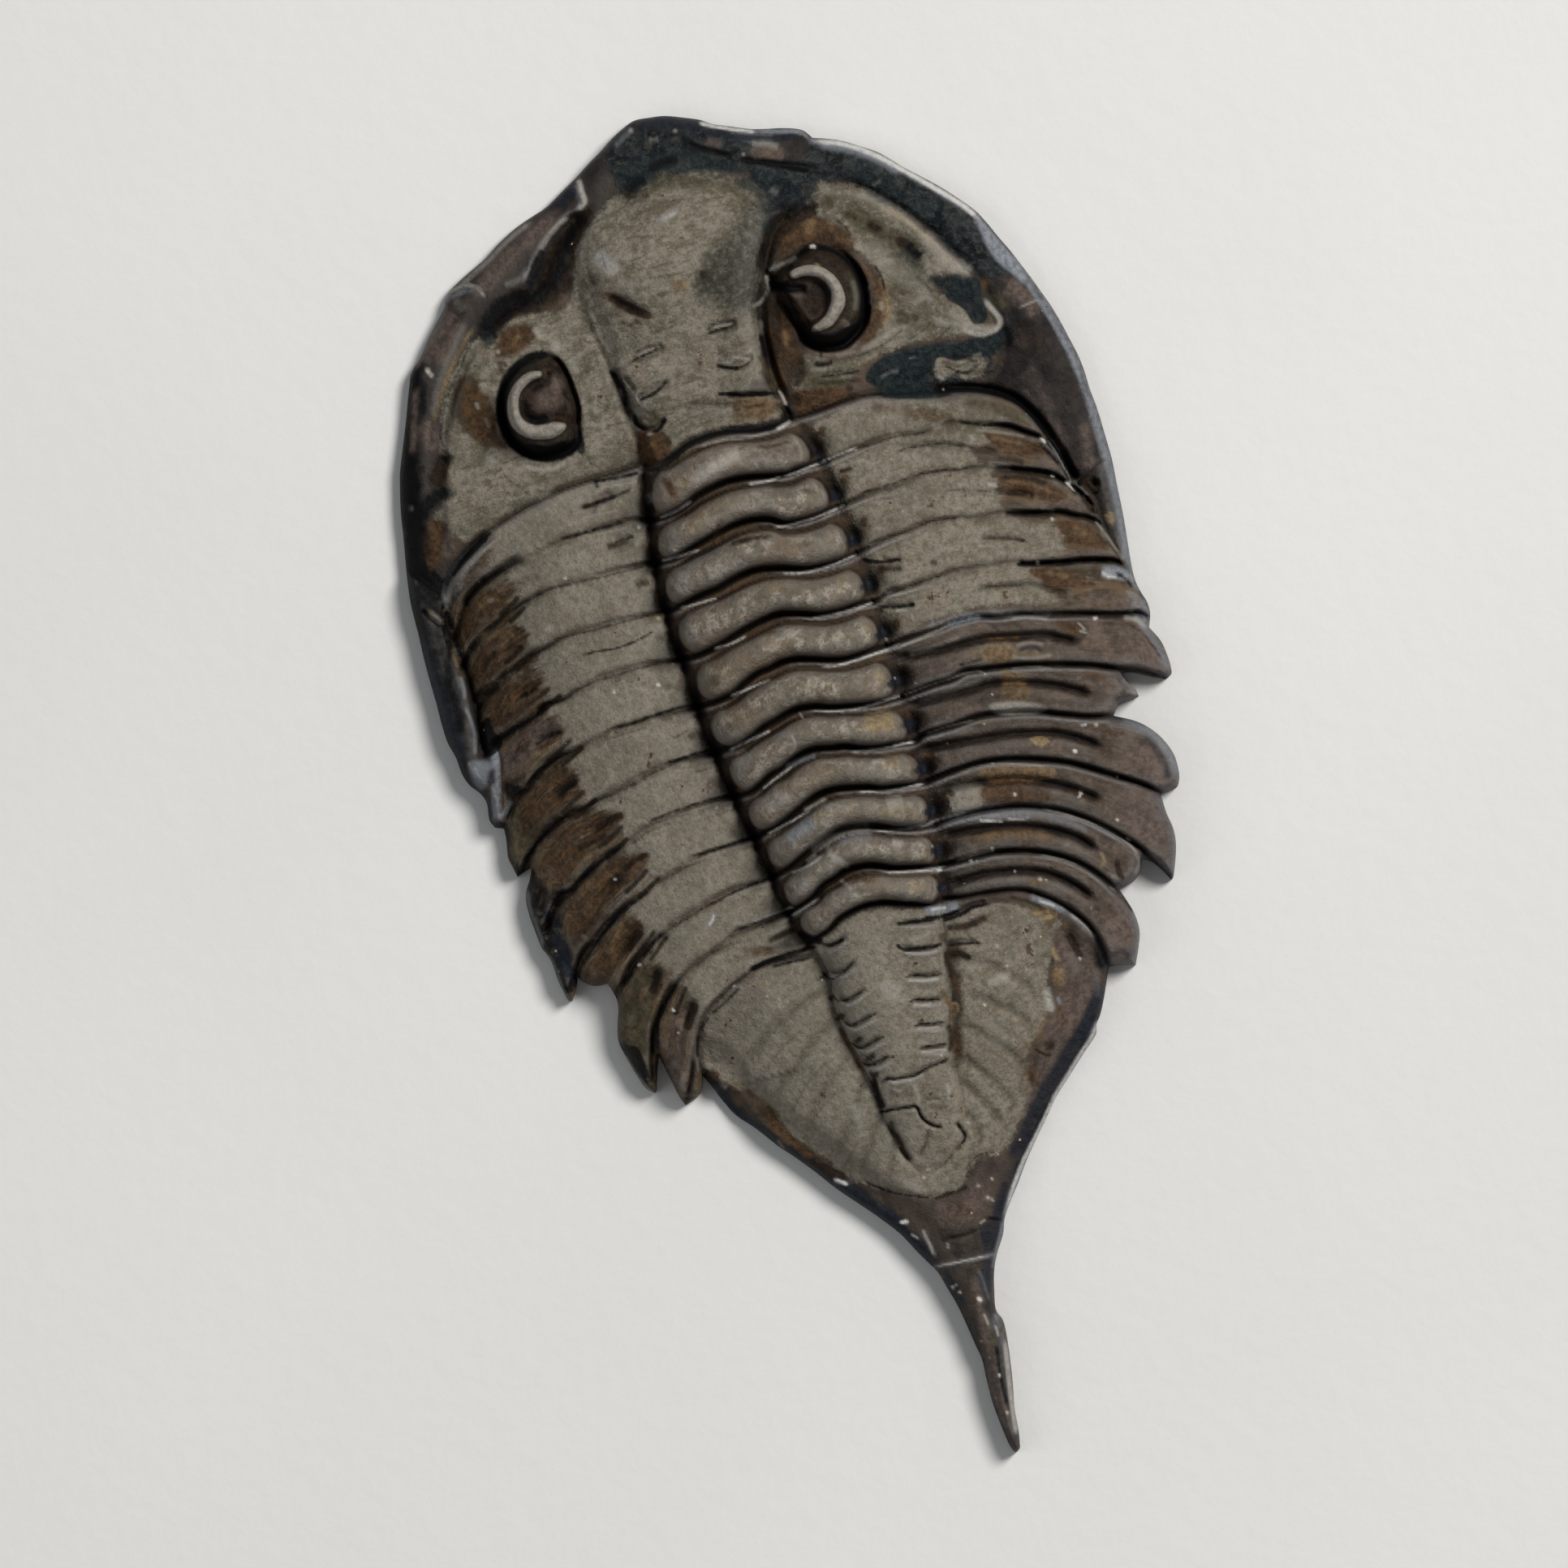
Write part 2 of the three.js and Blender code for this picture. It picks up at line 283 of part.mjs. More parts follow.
// ---- relief block: a closed grid box whose top is the relief ---------------
function columns() {
  const middle = Math.round(MIDDLE_HALF / STEP_X_MIDDLE);
  const side = Math.round((BLOCK_HALF_X - MIDDLE_HALF) / STEP_X_SIDE);
  const right = [];
  for (let i = 0; i <= middle; i++) right.push((MIDDLE_HALF * i) / middle);
  for (let i = 1; i <= side; i++) right.push(MIDDLE_HALF + ((BLOCK_HALF_X - MIDDLE_HALF) * i) / side);
  return [...right.slice(1).reverse().map((x) => -x), ...right];
}

function reliefBlock() {
  const xs = columns();
  const nx = xs.length - 1;
  const ny = Math.round((2 * BLOCK_HALF_Y) / STEP_Y);
  const pos = [];
  const index = [];
  const at = (i, j, low) => (low ? (nx + 1) * (ny + 1) : 0) + j * (nx + 1) + i;
  for (const low of [false, true]) {
    for (let j = 0; j <= ny; j++) {
      for (let i = 0; i <= nx; i++) {
        const x = xs[i];
        const y = -BLOCK_HALF_Y + (2 * BLOCK_HALF_Y * j) / ny;
        pos.push(x * SCALE, y * SCALE, low ? BLOCK_BOTTOM : relief(x, y) * SCALE);
      }
    }
  }
  const quad = (a, b, c, e) => index.push(a, b, c, a, c, e);
  for (let j = 0; j < ny; j++) {
    for (let i = 0; i < nx; i++) {
      quad(at(i, j), at(i + 1, j), at(i + 1, j + 1), at(i, j + 1));
      quad(at(i, j, true), at(i, j + 1, true), at(i + 1, j + 1, true), at(i + 1, j, true));
    }
  }
  for (let i = 0; i < nx; i++) {
    quad(at(i, 0, true), at(i + 1, 0, true), at(i + 1, 0), at(i, 0));
    quad(at(i + 1, ny, true), at(i, ny, true), at(i, ny), at(i + 1, ny));
  }
  for (let j = 0; j < ny; j++) {
    quad(at(0, j + 1, true), at(0, j, true), at(0, j), at(0, j + 1));
    quad(at(nx, j, true), at(nx, j + 1, true), at(nx, j + 1), at(nx, j));
  }
  const g = new THREE.BufferGeometry();
  g.setAttribute('position', new THREE.BufferAttribute(new Float32Array(pos), 3));
  g.setIndex(index);
  return g;
}

function outlineBlock() {
  const shape = new THREE.Shape(OUTLINE.map(([x, y]) => new THREE.Vector2(x * SCALE, y * SCALE)));
  return new THREE.ExtrudeGeometry(shape, { depth: OUTLINE_HEIGHT, bevelEnabled: false });
}

// ---- cut one with the other --------------------------------------------------
const wasm = await Module();
wasm.setup();

function solid(geometry) {
  const g = geometry.clone();
  g.deleteAttribute('normal');
  g.deleteAttribute('uv');
  const m = mergeVertices(g, 1e-4);
  return new wasm.Manifold(new wasm.Mesh({
    numProp: 3,
    vertProperties: new Float32Array(m.attributes.position.array),
    triVerts: new Uint32Array(m.index.array),
  }));
}

function geometryOf(manifold) {
  const mesh = manifold.getMesh();
  const v = new Float32Array(mesh.numVert * 3);
  for (let i = 0; i < mesh.numVert; i++) {
    for (let c = 0; c < 3; c++) v[3 * i + c] = mesh.vertProperties[i * mesh.numProp + c];
  }
  const g = new THREE.BufferGeometry();
  g.setAttribute('position', new THREE.BufferAttribute(v, 3));
  g.setIndex(new THREE.BufferAttribute(new Uint32Array(mesh.triVerts), 1));
  g.computeVertexNormals();
  return g;
}

const body = solid(reliefBlock()).intersect(solid(outlineBlock()));

const stone = new THREE.MeshStandardMaterial({
  color: 0x5e574a, roughness: 0.62, metalness: 0.0, flatShading: true,
});
const trilobite = new THREE.Mesh(geometryOf(body), stone);
trilobite.name = 'trilobite';

const group = new THREE.Group();
group.add(trilobite);

export default group;
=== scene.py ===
# Dalmanites trilobite, the visual model. Metres, +Z up, +Y towards the head.
# One relief surface over a flat base, cut to the animal's outline, in the
# three natural parts of the shell: head shield, thorax and tail plate.
import bpy, math
import numpy as np
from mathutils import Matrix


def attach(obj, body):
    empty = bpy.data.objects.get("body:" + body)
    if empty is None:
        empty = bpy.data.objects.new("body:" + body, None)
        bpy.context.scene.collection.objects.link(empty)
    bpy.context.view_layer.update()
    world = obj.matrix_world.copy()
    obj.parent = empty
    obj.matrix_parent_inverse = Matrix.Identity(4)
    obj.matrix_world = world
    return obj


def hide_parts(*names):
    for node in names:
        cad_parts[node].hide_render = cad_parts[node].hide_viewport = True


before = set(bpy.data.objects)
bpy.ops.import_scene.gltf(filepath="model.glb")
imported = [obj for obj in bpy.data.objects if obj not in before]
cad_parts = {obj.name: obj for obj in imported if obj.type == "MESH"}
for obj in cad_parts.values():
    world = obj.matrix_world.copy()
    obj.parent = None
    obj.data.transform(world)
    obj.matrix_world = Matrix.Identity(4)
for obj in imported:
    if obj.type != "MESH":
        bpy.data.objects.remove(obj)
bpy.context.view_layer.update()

# ---------------------------------------------------------------- plan points
# u to the right, v down, 25 units = 1 mm, in the plane of the photograph.
OUT=[(504,480),(507,460),(518,441),(527,420),(537,400),(547,380),(549,370),(556,357),(577,337),(599,318),(616,299),(636,281),(656,267),(674,255),
(694,235),(711,218),(729,198),(743,184),(754,171),(766,160),(781,149),(801,145),(819,143),(842,145),(863,148),(878,153),(901,156),(924,159),
(942,159),(962,158),(983,159),(993,163),(1001,170),(1019,171),(1039,174),(1059,180),(1080,187),(1095,195),(1115,207),(1136,218),(1158,230),
(1180,244),(1201,259),(1217,276),(1230,292),(1244,308),(1258,326),(1271,343),(1283,360),(1295,377),(1307,397),(1317,416),(1328,437),(1336,457),
(1343,480),(1352,504),(1363,541),(1370,566),(1377,601),(1384,635),(1389,665),(1393,690),(1398,713),(1406,730),(1413,741),(1417,755),(1416,773),
(1431,791),(1441,815),(1444,830),(1437,837),(1418,834),(1398,829),(1383,829),(1388,839),(1399,849),(1403,858),(1388,863),(1378,868),(1372,882),
(1398,888),(1418,898),(1434,912),(1447,931),(1453,955),(1451,970),(1437,975),(1430,978),(1437,1001),(1446,1022),(1449,1045),(1446,1079),(1443,1084),
(1434,1074),(1421,1063),(1407,1058),(1404,1076),(1394,1088),(1378,1094),
(1388,1109),(1398,1126),(1404,1146),(1403,1166),(1399,1190),(1381,1189),(1366,1191),(1361,1225),(1356,1249),(1351,1262),(1350,1275),(1335,1298),
(1318,1325),(1301,1352),(1289,1378),(1276,1405),(1264,1432),(1255,1456),(1246,1478),(1238,1500),(1236,1520),(1229,1543),(1225,1565),(1225,1588),
(1227,1613),(1236,1627),(1241,1649),(1245,1677),(1248,1705),(1250,1734),(1255,1762),(1257,1784),(1252,1790),(1246,1784),(1239,1770),(1231,1750),
(1222,1725),(1215,1697),(1210,1675),(1201,1655),(1190,1630),(1179,1607),(1166,1585),(1156,1568),(1142,1554),(1128,1540),(1109,1520),(1083,1500),
(1058,1483),(1030,1464),(1002,1442),(974,1422),(960,1413),(932,1391),(908,1375),(892,1358),(879,1341),(866,1325),
(865,1343),(858,1353),(845,1362),(837,1351),(829,1335),(819,1315),(812,1300),(810,1320),(809,1347),(796,1341),(782,1321),(769,1298),(762,1282),
(761,1262),(762,1242),(759,1229),(749,1212),(733,1215),(719,1210),(712,1204),(710,1219),(705,1234),(700,1233),(696,1225),(688,1209),(680,1186),
(671,1172),(668,1169),(660,1149),(651,1123),(648,1102),(653,1083),(655,1069),(642,1077),(638,1081),(630,1065),(626,1056),(624,1036),(621,1021),
(610,1020),(603,1010),(600,990),(592,978),(578,967),(569,953),(562,934),(552,916),(545,895),(538,868),(530,840),(522,810),(516,783),(512,768),
(506,743),(502,715),(499,684),(497,660),(494,633),(493,606),(493,582),(496,555),(500,521)]
# posterior edges of the rings, 0 = occipital, 11 = front of the tail plate
B=[
[(540,765),(547,735),(553,715),(560,700),(575,683),(590,668),(604,656),(640,633),(690,607),(735,592),(760,585),(785,577),(800,575),(825,565),
(845,550),(870,539),(900,533),(930,532),(950,527),(968,520),(1000,510),(1020,502),(1040,495),(1060,490),(1085,487),(1120,486),(1150,484),(1170,480),
(1200,479),(1230,484),(1250,492),(1270,508),(1285,525),(1295,540),(1305,555),(1315,575),(1325,592),(1345,630)],
[(562,785),(568,762),(575,740),(585,727),(600,715),(620,703),(645,690),(670,677),(694,665),(711,660),(725,655),(745,649),(766,643),(786,640),
(811,640),(839,628),(859,612),(882,600),(901,593),(924,589),(953,587),(970,585),(981,580),(999,574),(1018,569),(1036,561),(1061,550),(1098,538),
(1140,533),(1170,522),(1199,523),(1227,524),(1245,526),(1264,533),(1282,539),(1300,555),(1315,585),(1325,605)],
[(570,820),(580,800),(590,788),(602,776),(621,762),(639,747),(653,739),(672,729),(694,721),(719,715),(745,706),(776,699),(798,694),(811,694),
(832,689),(850,678),(869,667),(887,657),(905,648),(924,642),(947,640),(970,645),(999,639),(1020,630),(1038,623),(1061,613),(1080,607),(1103,603),
(1126,592),(1142,584),(1163,582),(1183,581),(1199,578),(1222,576),(1245,578),(1264,580),(1282,582),(1298,585),(1310,592),(1326,602),(1345,622)],
[(580,890),(588,872),(598,858),(608,850),(619,834),(638,820),(656,808),(680,795),(700,783),(730,774),(759,765),(809,756),(832,750),(846,743),
(864,734),(882,727),(901,716),(917,708),(937,702),(965,700),(992,701),(1015,697),(1038,690),(1057,681),(1080,669),(1098,662),(1119,654),(1140,644),
(1158,641),(1179,639),(1202,639),(1238,632),(1264,632),(1287,633),(1307,631),(1323,635),(1344,639),(1370,655)],
[(596,940),(604,922),(615,910),(629,902),(647,889),(661,879),(672,870),(695,862),(713,850),(730,840),(752,831),(775,824),(798,818),(821,815),
(844,811),(855,810),(873,803),(889,794),(905,784),(924,773),(942,764),(960,757),(981,756),(999,757),(1015,757),(1038,752),(1057,745),(1077,741),
(1094,729),(1114,725),(1137,716),(1156,710),(1176,704),(1204,700),(1252,693),(1264,696),(1287,694),(1310,693),(1333,690),(1355,690),(1374,691),
(1395,700)],
[(622,1010),(630,993),(640,980),(647,974),(661,955),(677,941),(693,930),(704,927),(720,918),(739,909),(757,899),(787,890),(821,882),(844,876),
(861,870),(879,866),(900,857),(916,843),(932,831),(948,824),(964,816),(982,812),(1001,812),(1024,813),(1040,812),(1058,807),(1080,799),(1098,794),
(1114,787),(1137,780),(1156,774),(1172,767),(1188,763),(1206,759),(1229,759),(1252,756),(1275,756),(1298,757),(1333,756),(1367,757),(1390,756),
(1406,756),(1440,775)],
[(640,1085),(650,1056),(665,1033),(681,1017),(695,1008),(707,999),(720,996),(739,985),(755,978),(775,966),(798,952),(821,943),(840,938),(863,932),
(886,926),(897,923),(911,919),(925,909),(939,898),(955,889),(969,880),(985,873),(1005,870),(1024,871),(1047,870),(1070,868),(1088,865),(1113,858),
(1129,852),(1150,844),(1173,837),(1188,828),(1209,825),(1241,821),(1275,819),(1310,819),(1344,820),(1378,824),(1413,828),(1450,842)],
[(672,1142),(682,1120),(690,1103),(704,1097),(720,1079),(734,1065),(752,1050),(766,1043),(782,1032),(798,1019),(832,1006),(858,995),(897,982),
(907,980),(923,977),(934,969),(948,956),(962,948),(975,937),(989,928),(1005,922),(1024,921),(1042,919),(1058,921),(1081,921),(1104,917),(1125,914),
(1139,905),(1172,895),(1198,885),(1222,880),(1272,877),(1305,880),(1338,883),(1371,883),(1410,892)],
[(704,1215),(716,1176),(733,1156),(753,1133),(779,1109),(812,1086),(852,1063),(874,1050),(898,1043),(932,1031),(943,1025),(955,1020),(969,1010),
(982,999),(996,987),(1010,978),(1028,972),(1047,970),(1070,969),(1086,971),(1104,969),(1127,966),(1139,964),(1161,955),(1180,948),(1215,938),
(1255,935),(1305,938),(1338,945),(1371,955),(1404,965),(1428,976),(1460,995)],
[(754,1236),(766,1212),(779,1186),(799,1166),(825,1142),(859,1119),(898,1097),(943,1084),(959,1076),(971,1070),(982,1061),(996,1049),(1010,1038),
(1024,1028),(1037,1021),(1058,1017),(1081,1017),(1104,1020),(1127,1020),(1148,1017),(1161,1012),(1184,1005),(1215,998),(1258,993),(1305,998),
(1338,1008),(1371,1024),(1404,1044),(1414,1054),(1440,1080)],
[(803,1330),(803,1295),(804,1272),(806,1262),(816,1235),(832,1212),(855,1189),(882,1169),(905,1152),(932,1142),(966,1127),(978,1121),(989,1114),
(1001,1105),(1014,1091),(1028,1082),(1042,1072),(1058,1067),(1076,1065),(1097,1068),(1115,1068),(1138,1067),(1159,1066),(1192,1058),(1225,1050),
(1258,1048),(1292,1051),(1325,1061),(1351,1076),(1371,1093),(1395,1120)],
[(845,1362),(851,1330),(858,1290),(865,1255),(885,1229),(912,1206),(945,1186),(981,1176),(1002,1158),(1020,1146),(1033,1132),(1047,1123),(1065,1115),
(1083,1111),(1102,1111),(1127,1113),(1148,1114),(1161,1108),(1192,1104),(1225,1098),(1258,1096),(1285,1103),(1312,1116),(1335,1133),(1351,1152),
(1361,1172),(1366,1190),(1372,1192),(1384,1216)]]
# axial furrows from the head to the tail
AXL=[(715,215),(712,260),(712,300),(720,350),(735,400),(750,452),(770,500),(788,555),(797,600),(803,655),(812,715),(828,775),(850,835),(868,893),
(890,945),(914,1000),(939,1050),(961,1100),(984,1145),(1008,1175),(1023,1205),(1028,1239),(1040,1269),(1056,1298),(1073,1332),(1086,1368),
(1096,1388),(1109,1414),(1135,1450),(1165,1520),(1195,1600),(1220,1690),(1246,1784)]
AXR=[(975,215),(950,262),(945,300),(940,350),(937,400),(945,440),(962,490),(985,530),(1002,560),(1024,612),(1048,668),(1068,725),(1086,783),
(1103,838),(1118,892),(1134,942),(1145,992),(1153,1042),(1159,1096),(1162,1139),(1168,1186),(1173,1219),(1173,1265),(1175,1298),(1181,1332),
(1187,1358),(1190,1395),(1192,1430),(1200,1480),(1212,1540),(1222,1600),(1238,1690),(1252,1784)]
# smooth margin of the body, notches and spines left out
MGL=[(700,190),(600,310),(545,400),(505,500),(495,600),(505,700),(550,745),(572,780),(590,850),(606,915),(625,985),(642,1060),(672,1150),(715,1210),
(765,1290),(835,1350),(880,1350),(960,1413),(1058,1483),(1128,1540),(1166,1585),(1201,1655),(1222,1725),(1246,1784)]
MGR=[(960,150),(1080,187),(1201,259),(1283,360),(1343,480),(1377,601),(1393,690),(1417,755),(1440,830),(1445,900),(1450,960),(1446,1060),(1420,1120),
(1400,1180),(1362,1215),(1350,1275),(1301,1352),(1264,1432),(1238,1500),(1226,1565),(1236,1627),(1248,1705),(1257,1784)]
RL=[(795,605),(805,660),(815,718),(833,775),(853,838),(872,893),(893,945),(916,1000),(942,1050),(962,1100),(982,1140)]
RR=[(1000,548),(1020,605),(1045,665),(1065,720),(1082,780),(1100,835),(1115,890),(1130,940),(1142,990),(1150,1040),(1155,1095)]

# closed outlines and strokes of the head, eyes and tail plate
GLAB=[(760,262),(790,236),(830,222),(872,222),(915,232),(950,246),(968,262),(955,285),(944,312),(938,345),(934,380),(938,410),(944,440),(952,470),
(964,498),(940,505),(905,508),(870,515),(842,528),(815,545),(796,560),(788,545),(778,515),(766,485),(754,458),(742,430),(728,400),(718,368),
(713,335),(715,300),(728,278)]
FRONTAL=[(757,262),(790,234),(830,221),(872,221),(915,231),(950,246),(968,262),(956,285),(946,312),(938,345),(928,368),(895,376),(862,386),(835,398),
(808,402),(780,398),(752,396),(728,388),(717,365),(713,335),(715,300),(728,278)]
OCC=[(790,560),(796,548),(815,534),(842,520),(868,508),(900,500),(935,494),(962,492),(968,502),(966,516),(950,524),(930,528),(900,529),(870,535),
(845,546),(825,561),(803,572),(790,572)]
CHL=[(690,300),(700,320),(690,345),(700,372),(715,400),(735,430),(750,462),(762,495),(775,530),(785,560),(780,575),(735,590),(690,606),(640,632),
(604,655),(590,664),(572,680),(560,688),(552,672),(549,640),(547,600),(549,560),(555,515),(566,480),(580,448),(598,420),(622,392),(650,372),
(675,345),(683,320)]
CHR=[(985,250),(1020,236),(1055,236),(1095,255),(1135,282),(1170,312),(1198,342),(1218,380),(1232,418),(1228,448),(1215,466),(1180,474),(1140,480),
(1090,484),(1050,490),(1010,500),(985,508),(970,490),(958,460),(948,425),(945,390),(945,345),(950,305),(962,272)]
# eyes: base mound, ring (outer), crescent of the visual surface, lobe on top
EYEL=[(675,435),(661,435),(648,441),(633,451),(620,466),(614,486),(614,508),(618,527),(627,545),(641,558),(656,566),(675,568),(695,563),(709,556),
(717,543),(716,527),(716,508),(713,492),(708,478),(702,462),(696,450),(691,443),(683,437)]
CREL=[(667,458),(653,459),(641,466),(632,477),(626,492),(625,508),(629,523),(638,534),(651,541),(667,543),(682,541),(694,534),(699,526),(695,521),
(683,520),(672,523),(660,524),(649,520),(642,512),(640,501),(641,489),(646,480),(654,472),(662,468),(668,465)]
LOBL=[(668,452),(675,443),(684,440),(691,444),(702,462),(708,478),(713,492),(716,508),(715,522),(706,526),(699,526),(695,521),(683,520),(672,523),
(660,524),(649,520),(642,512),(640,501),(641,489),(646,480),(654,472),(662,468),(668,465)]
EYER=[(946,344),(955,330),(966,318),(980,308),(990,299),(1003,296),(1018,299),(1034,306),(1047,316),(1058,329),(1066,345),(1071,362),(1072,378),
(1070,395),(1064,408),(1054,420),(1042,430),(1025,434),(1008,433),(995,427),(986,418),(980,405),(968,388),(955,370),(948,355)]
CRER=[(974,335),(990,328),(1007,328),(1020,334),(1033,346),(1041,364),(1041,378),(1035,389),(1026,402),(1014,408),(1001,410),(1000,404),(1010,396),
(1018,387),(1023,373),(1023,360),(1016,349),(1005,343),(990,342),(978,345),(973,342)]
LOBR=[(955,352),(973,345),(978,346),(990,343),(1005,344),(1016,350),(1022,360),(1022,373),(1017,386),(1009,395),(1000,403),(990,402),(980,395),
(968,382),(958,365)]
# plain strokes: points, half-width, depth mm (negative = ridge), taper of the ends
FURROWS = []
def g(p, w, d, e=0.12): FURROWS.append((p, w, d, e))
# right pleural furrows
g([(1103,556),(1126,550),(1144,548),(1172,549),(1195,554),(1218,556),(1236,561)],4,.22)
g([(1225,606),(1245,606),(1262,609),(1275,615)],4,.2)
g([(1158,605),(1190,607),(1218,608)],4,.10)
g([(1205,664),(1241,664),(1262,667)],3.5,.15)
g([(1085,692),(1098,692),(1112,691)],4,.2)
g([(1199,725),(1222,724),(1264,721),(1287,725),(1305,730),(1321,734)],4,.2)
g([(1090,748),(1108,748),(1127,746)],4,.2)
g([(1090,812),(1114,810),(1137,806),(1160,801),(1183,795),(1206,789),(1227,786),(1250,785),(1287,783),(1305,787),(1323,791),(1339,798)],5,.42)
g([(1105,870),(1126,867),(1172,857),(1215,845),(1258,842),(1298,845),(1331,852),(1355,862)],5,.45)
g([(1120,926),(1146,922),(1189,914),(1238,906),(1288,903),(1321,908),(1351,918),(1366,928)],5,.45)
g([(1150,975),(1175,969),(1205,964),(1255,961),(1298,966),(1338,978),(1363,992)],5,.42)
g([(1150,1032),(1175,1027),(1205,1022),(1255,1018),(1298,1023),(1331,1034),(1358,1053)],5,.45)
g([(1160,1092),(1185,1085),(1212,1077),(1252,1073),(1285,1075),(1312,1084),(1335,1098),(1352,1116)],5,.45)
# left pleural furrows, outer thirds
g([(668,706),(650,716),(632,727),(616,742),(606,754)],5,.18,.4)
g([(655,791),(640,802),(622,816),(610,828)],5,.25,.4)
g([(648,773),(630,786),(618,798)],4,.2,.4)
g([(668,838),(655,846),(640,856),(630,864)],5,.28,.45)
g([(676,865),(665,873),(650,884)],4.5,.24,.45)
g([(694,894),(680,903),(665,914),(652,926)],6.5,.40,.45)
g([(716,956),(704,965),(692,974),(676,990)],6.5,.40,.45)
g([(768,999),(752,1007),(737,1018),(716,1038)],6.5,.36,.45)
g([(800,1048),(782,1054),(766,1066),(748,1082)],5.5,.28,.45)
g([(774,1072),(754,1092),(738,1112),(726,1132)],6.5,.36,.45)
g([(794,1136),(780,1152),(768,1168),(754,1188)],8.5,.46,.45)
g([(815,1190),(806,1206),(798,1226)],7.5,.42,.45)
g([(855,1226),(846,1246),(838,1268)],7.5,.42,.45)
g([(720,622),(740,614),(762,607)],4,.22,.3)
g([(755,668),(768,664),(782,660)],4,.18,.3)
g([(752,680),(770,675),(785,672)],4,.15,.3)
# joint facets near the axis on the left (thin lines in front of the rings' ends)
g([(900,1148),(930,1140),(960,1130),(985,1120)],3,.2)
g([(920,1196),(950,1186),(985,1180),(1006,1176)],3,.25)
# glabella: brown slit, four small loops, furrows beside the middle
g([(744,364),(762,373),(780,383),(797,391)],7,.42,.35)
g([(725,343),(731,349),(738,354)],4.5,.25,.4)
def loop(p):
    g(p + [p[0]], 2.7, .20, .02)
loop([(872,412),(875,404),(888,400),(904,397),(906,400),(902,407),(888,410)])
loop([(782,447),(785,439),(797,432),(813,426),(815,430),(808,437),(795,443)])
loop([(883,448),(896,448),(911,446),(926,440),(923,449),(910,455),(894,455)])
loop([(786,492),(795,483),(808,476),(821,471),(819,478),(808,485),(796,490)])
g([(780,510),(787,522),(798,530),(810,527),(820,514)],4,.40,.15)
g([(790,516),(800,519),(810,514)],3,.20,.2)
g([(754,454),(760,468),(768,486),(776,506),(783,518)],5,.38,.15)
g([(768,462),(776,474),(784,486)],3,.22,.3)
g([(782,505),(800,511),(825,508),(850,500),(880,492)],4.5,.16,.2)
g([(893,489),(910,488),(930,487),(950,485)],3.6,.42,.12)
g([(936,352),(934,372),(936,395),(942,420),(947,445),(956,470),(966,495)],6,.34,.12)
g([(972,262),(955,280),(946,300),(941,322),(938,345)],7,.30,.12)
g([(1010,463),(1035,461),(1060,458)],3,.2,.25)
g([(1000,476),(1030,474),(1062,470)],3,.16,.25)
g([(1018,446),(1050,442),(1080,436)],3,.12,.25)
g([(978,515),(1000,510),(1020,503),(1040,497),(1060,491)],4,.26)
g([(955,498),(968,507),(972,520)],4,.35,.2)
# front line between the border and the glabella, right
g([(905,195),(930,199),(960,203),(985,206),(1003,209),(1013,217)],4,.28,.2)
g([(840,178),(870,186),(905,195)],3.4,.14,.3)
# border line on the right and left, shallow
g([(1000,214),(1050,225),(1100,250),(1140,282),(1175,312),(1197,338)],5,.14,.15)
g([(600,412),(588,425),(577,445),(566,470),(556,500),(549,530),(546,560)],6,.10,.2)
g([(545,470),(536,500),(531,530),(529,565)],4,.10,.3)
# ridge and hollow on the left front border
g([(713,222),(716,240),(718,255),(700,265),(688,276),(678,286),(670,296),(663,308),(656,322),(649,338),(641,350)],4,-.22,.08)
g([(722,262),(704,278),(692,292),(680,308),(672,326),(664,345),(650,360)],13,.42,.15)
g([(655,362),(635,372),(618,384),(604,400),(598,412)],11,.38,.25)
g([(549,368),(562,358),(578,356),(592,360),(600,368)],3,.16,.1)
g([(1280,368),(1268,374),(1255,380)],2.5,-.07)
g([(493,627),(500,627),(510,627)],2.5,.10)
# right rear margin of the head, deep
g([(1150,484),(1170,481),(1200,480),(1230,485),(1250,493),(1268,507),(1284,525),(1295,541),(1306,558),(1316,577),(1325,594)],5.5,1.0,.04)
g([(606,654),(594,665),(580,680),(566,696),(556,714),(549,735)],6,.62,.2)
g([(612,662),(600,674),(587,688),(573,704),(563,722),(556,742)],3.4,-.14,.2)
# tail plate: slits on both sides of the axis, each with a raised lower lip
def slit(p, w=3.2, d=.36):
    g(p, w, d, .3)
    g([(x + 1, y + 6) for x, y in p], 2.8, -.12, .3)
slit([(1103,1138),(1120,1136),(1140,1135),(1160,1132)])
slit([(1105,1163),(1116,1168),(1135,1169),(1162,1164)])
slit([(1114,1205),(1125,1202),(1142,1202),(1163,1198)])
slit([(1120,1236),(1132,1233),(1146,1233),(1163,1228)])
slit([(1124,1267),(1136,1264),(1150,1264),(1168,1259)])
slit([(1130,1295),(1142,1292),(1155,1292),(1170,1287)])
slit([(1012,1172),(1022,1166),(1034,1160),(1044,1150)])
slit([(1017,1186),(1026,1197),(1040,1196),(1055,1180)])
slit([(1030,1221),(1040,1232),(1052,1229),(1067,1214)])
slit([(1038,1252),(1048,1263),(1060,1260),(1076,1246)])
slit([(1050,1279),(1060,1290),(1072,1286),(1088,1274)])
slit([(1062,1302),(1070,1311),(1083,1309),(1097,1298)])
g([(1082,1338),(1086,1333),(1093,1328.5),(1101,1329),(1113,1327),(1127,1324),(1136,1318.5),(1144,1314),(1160,1308),(1168,1303)],2.5,.26,.06)
g([(1092,1334.5),(1105,1333.5),(1120,1331.5),(1131,1328.5),(1140,1322.5)],2.3,-.12,.15)
g([(1084,1369.5),(1095,1367.5),(1106,1365.5),(1118,1363.5),(1129,1362)],2.3,.24,.05)
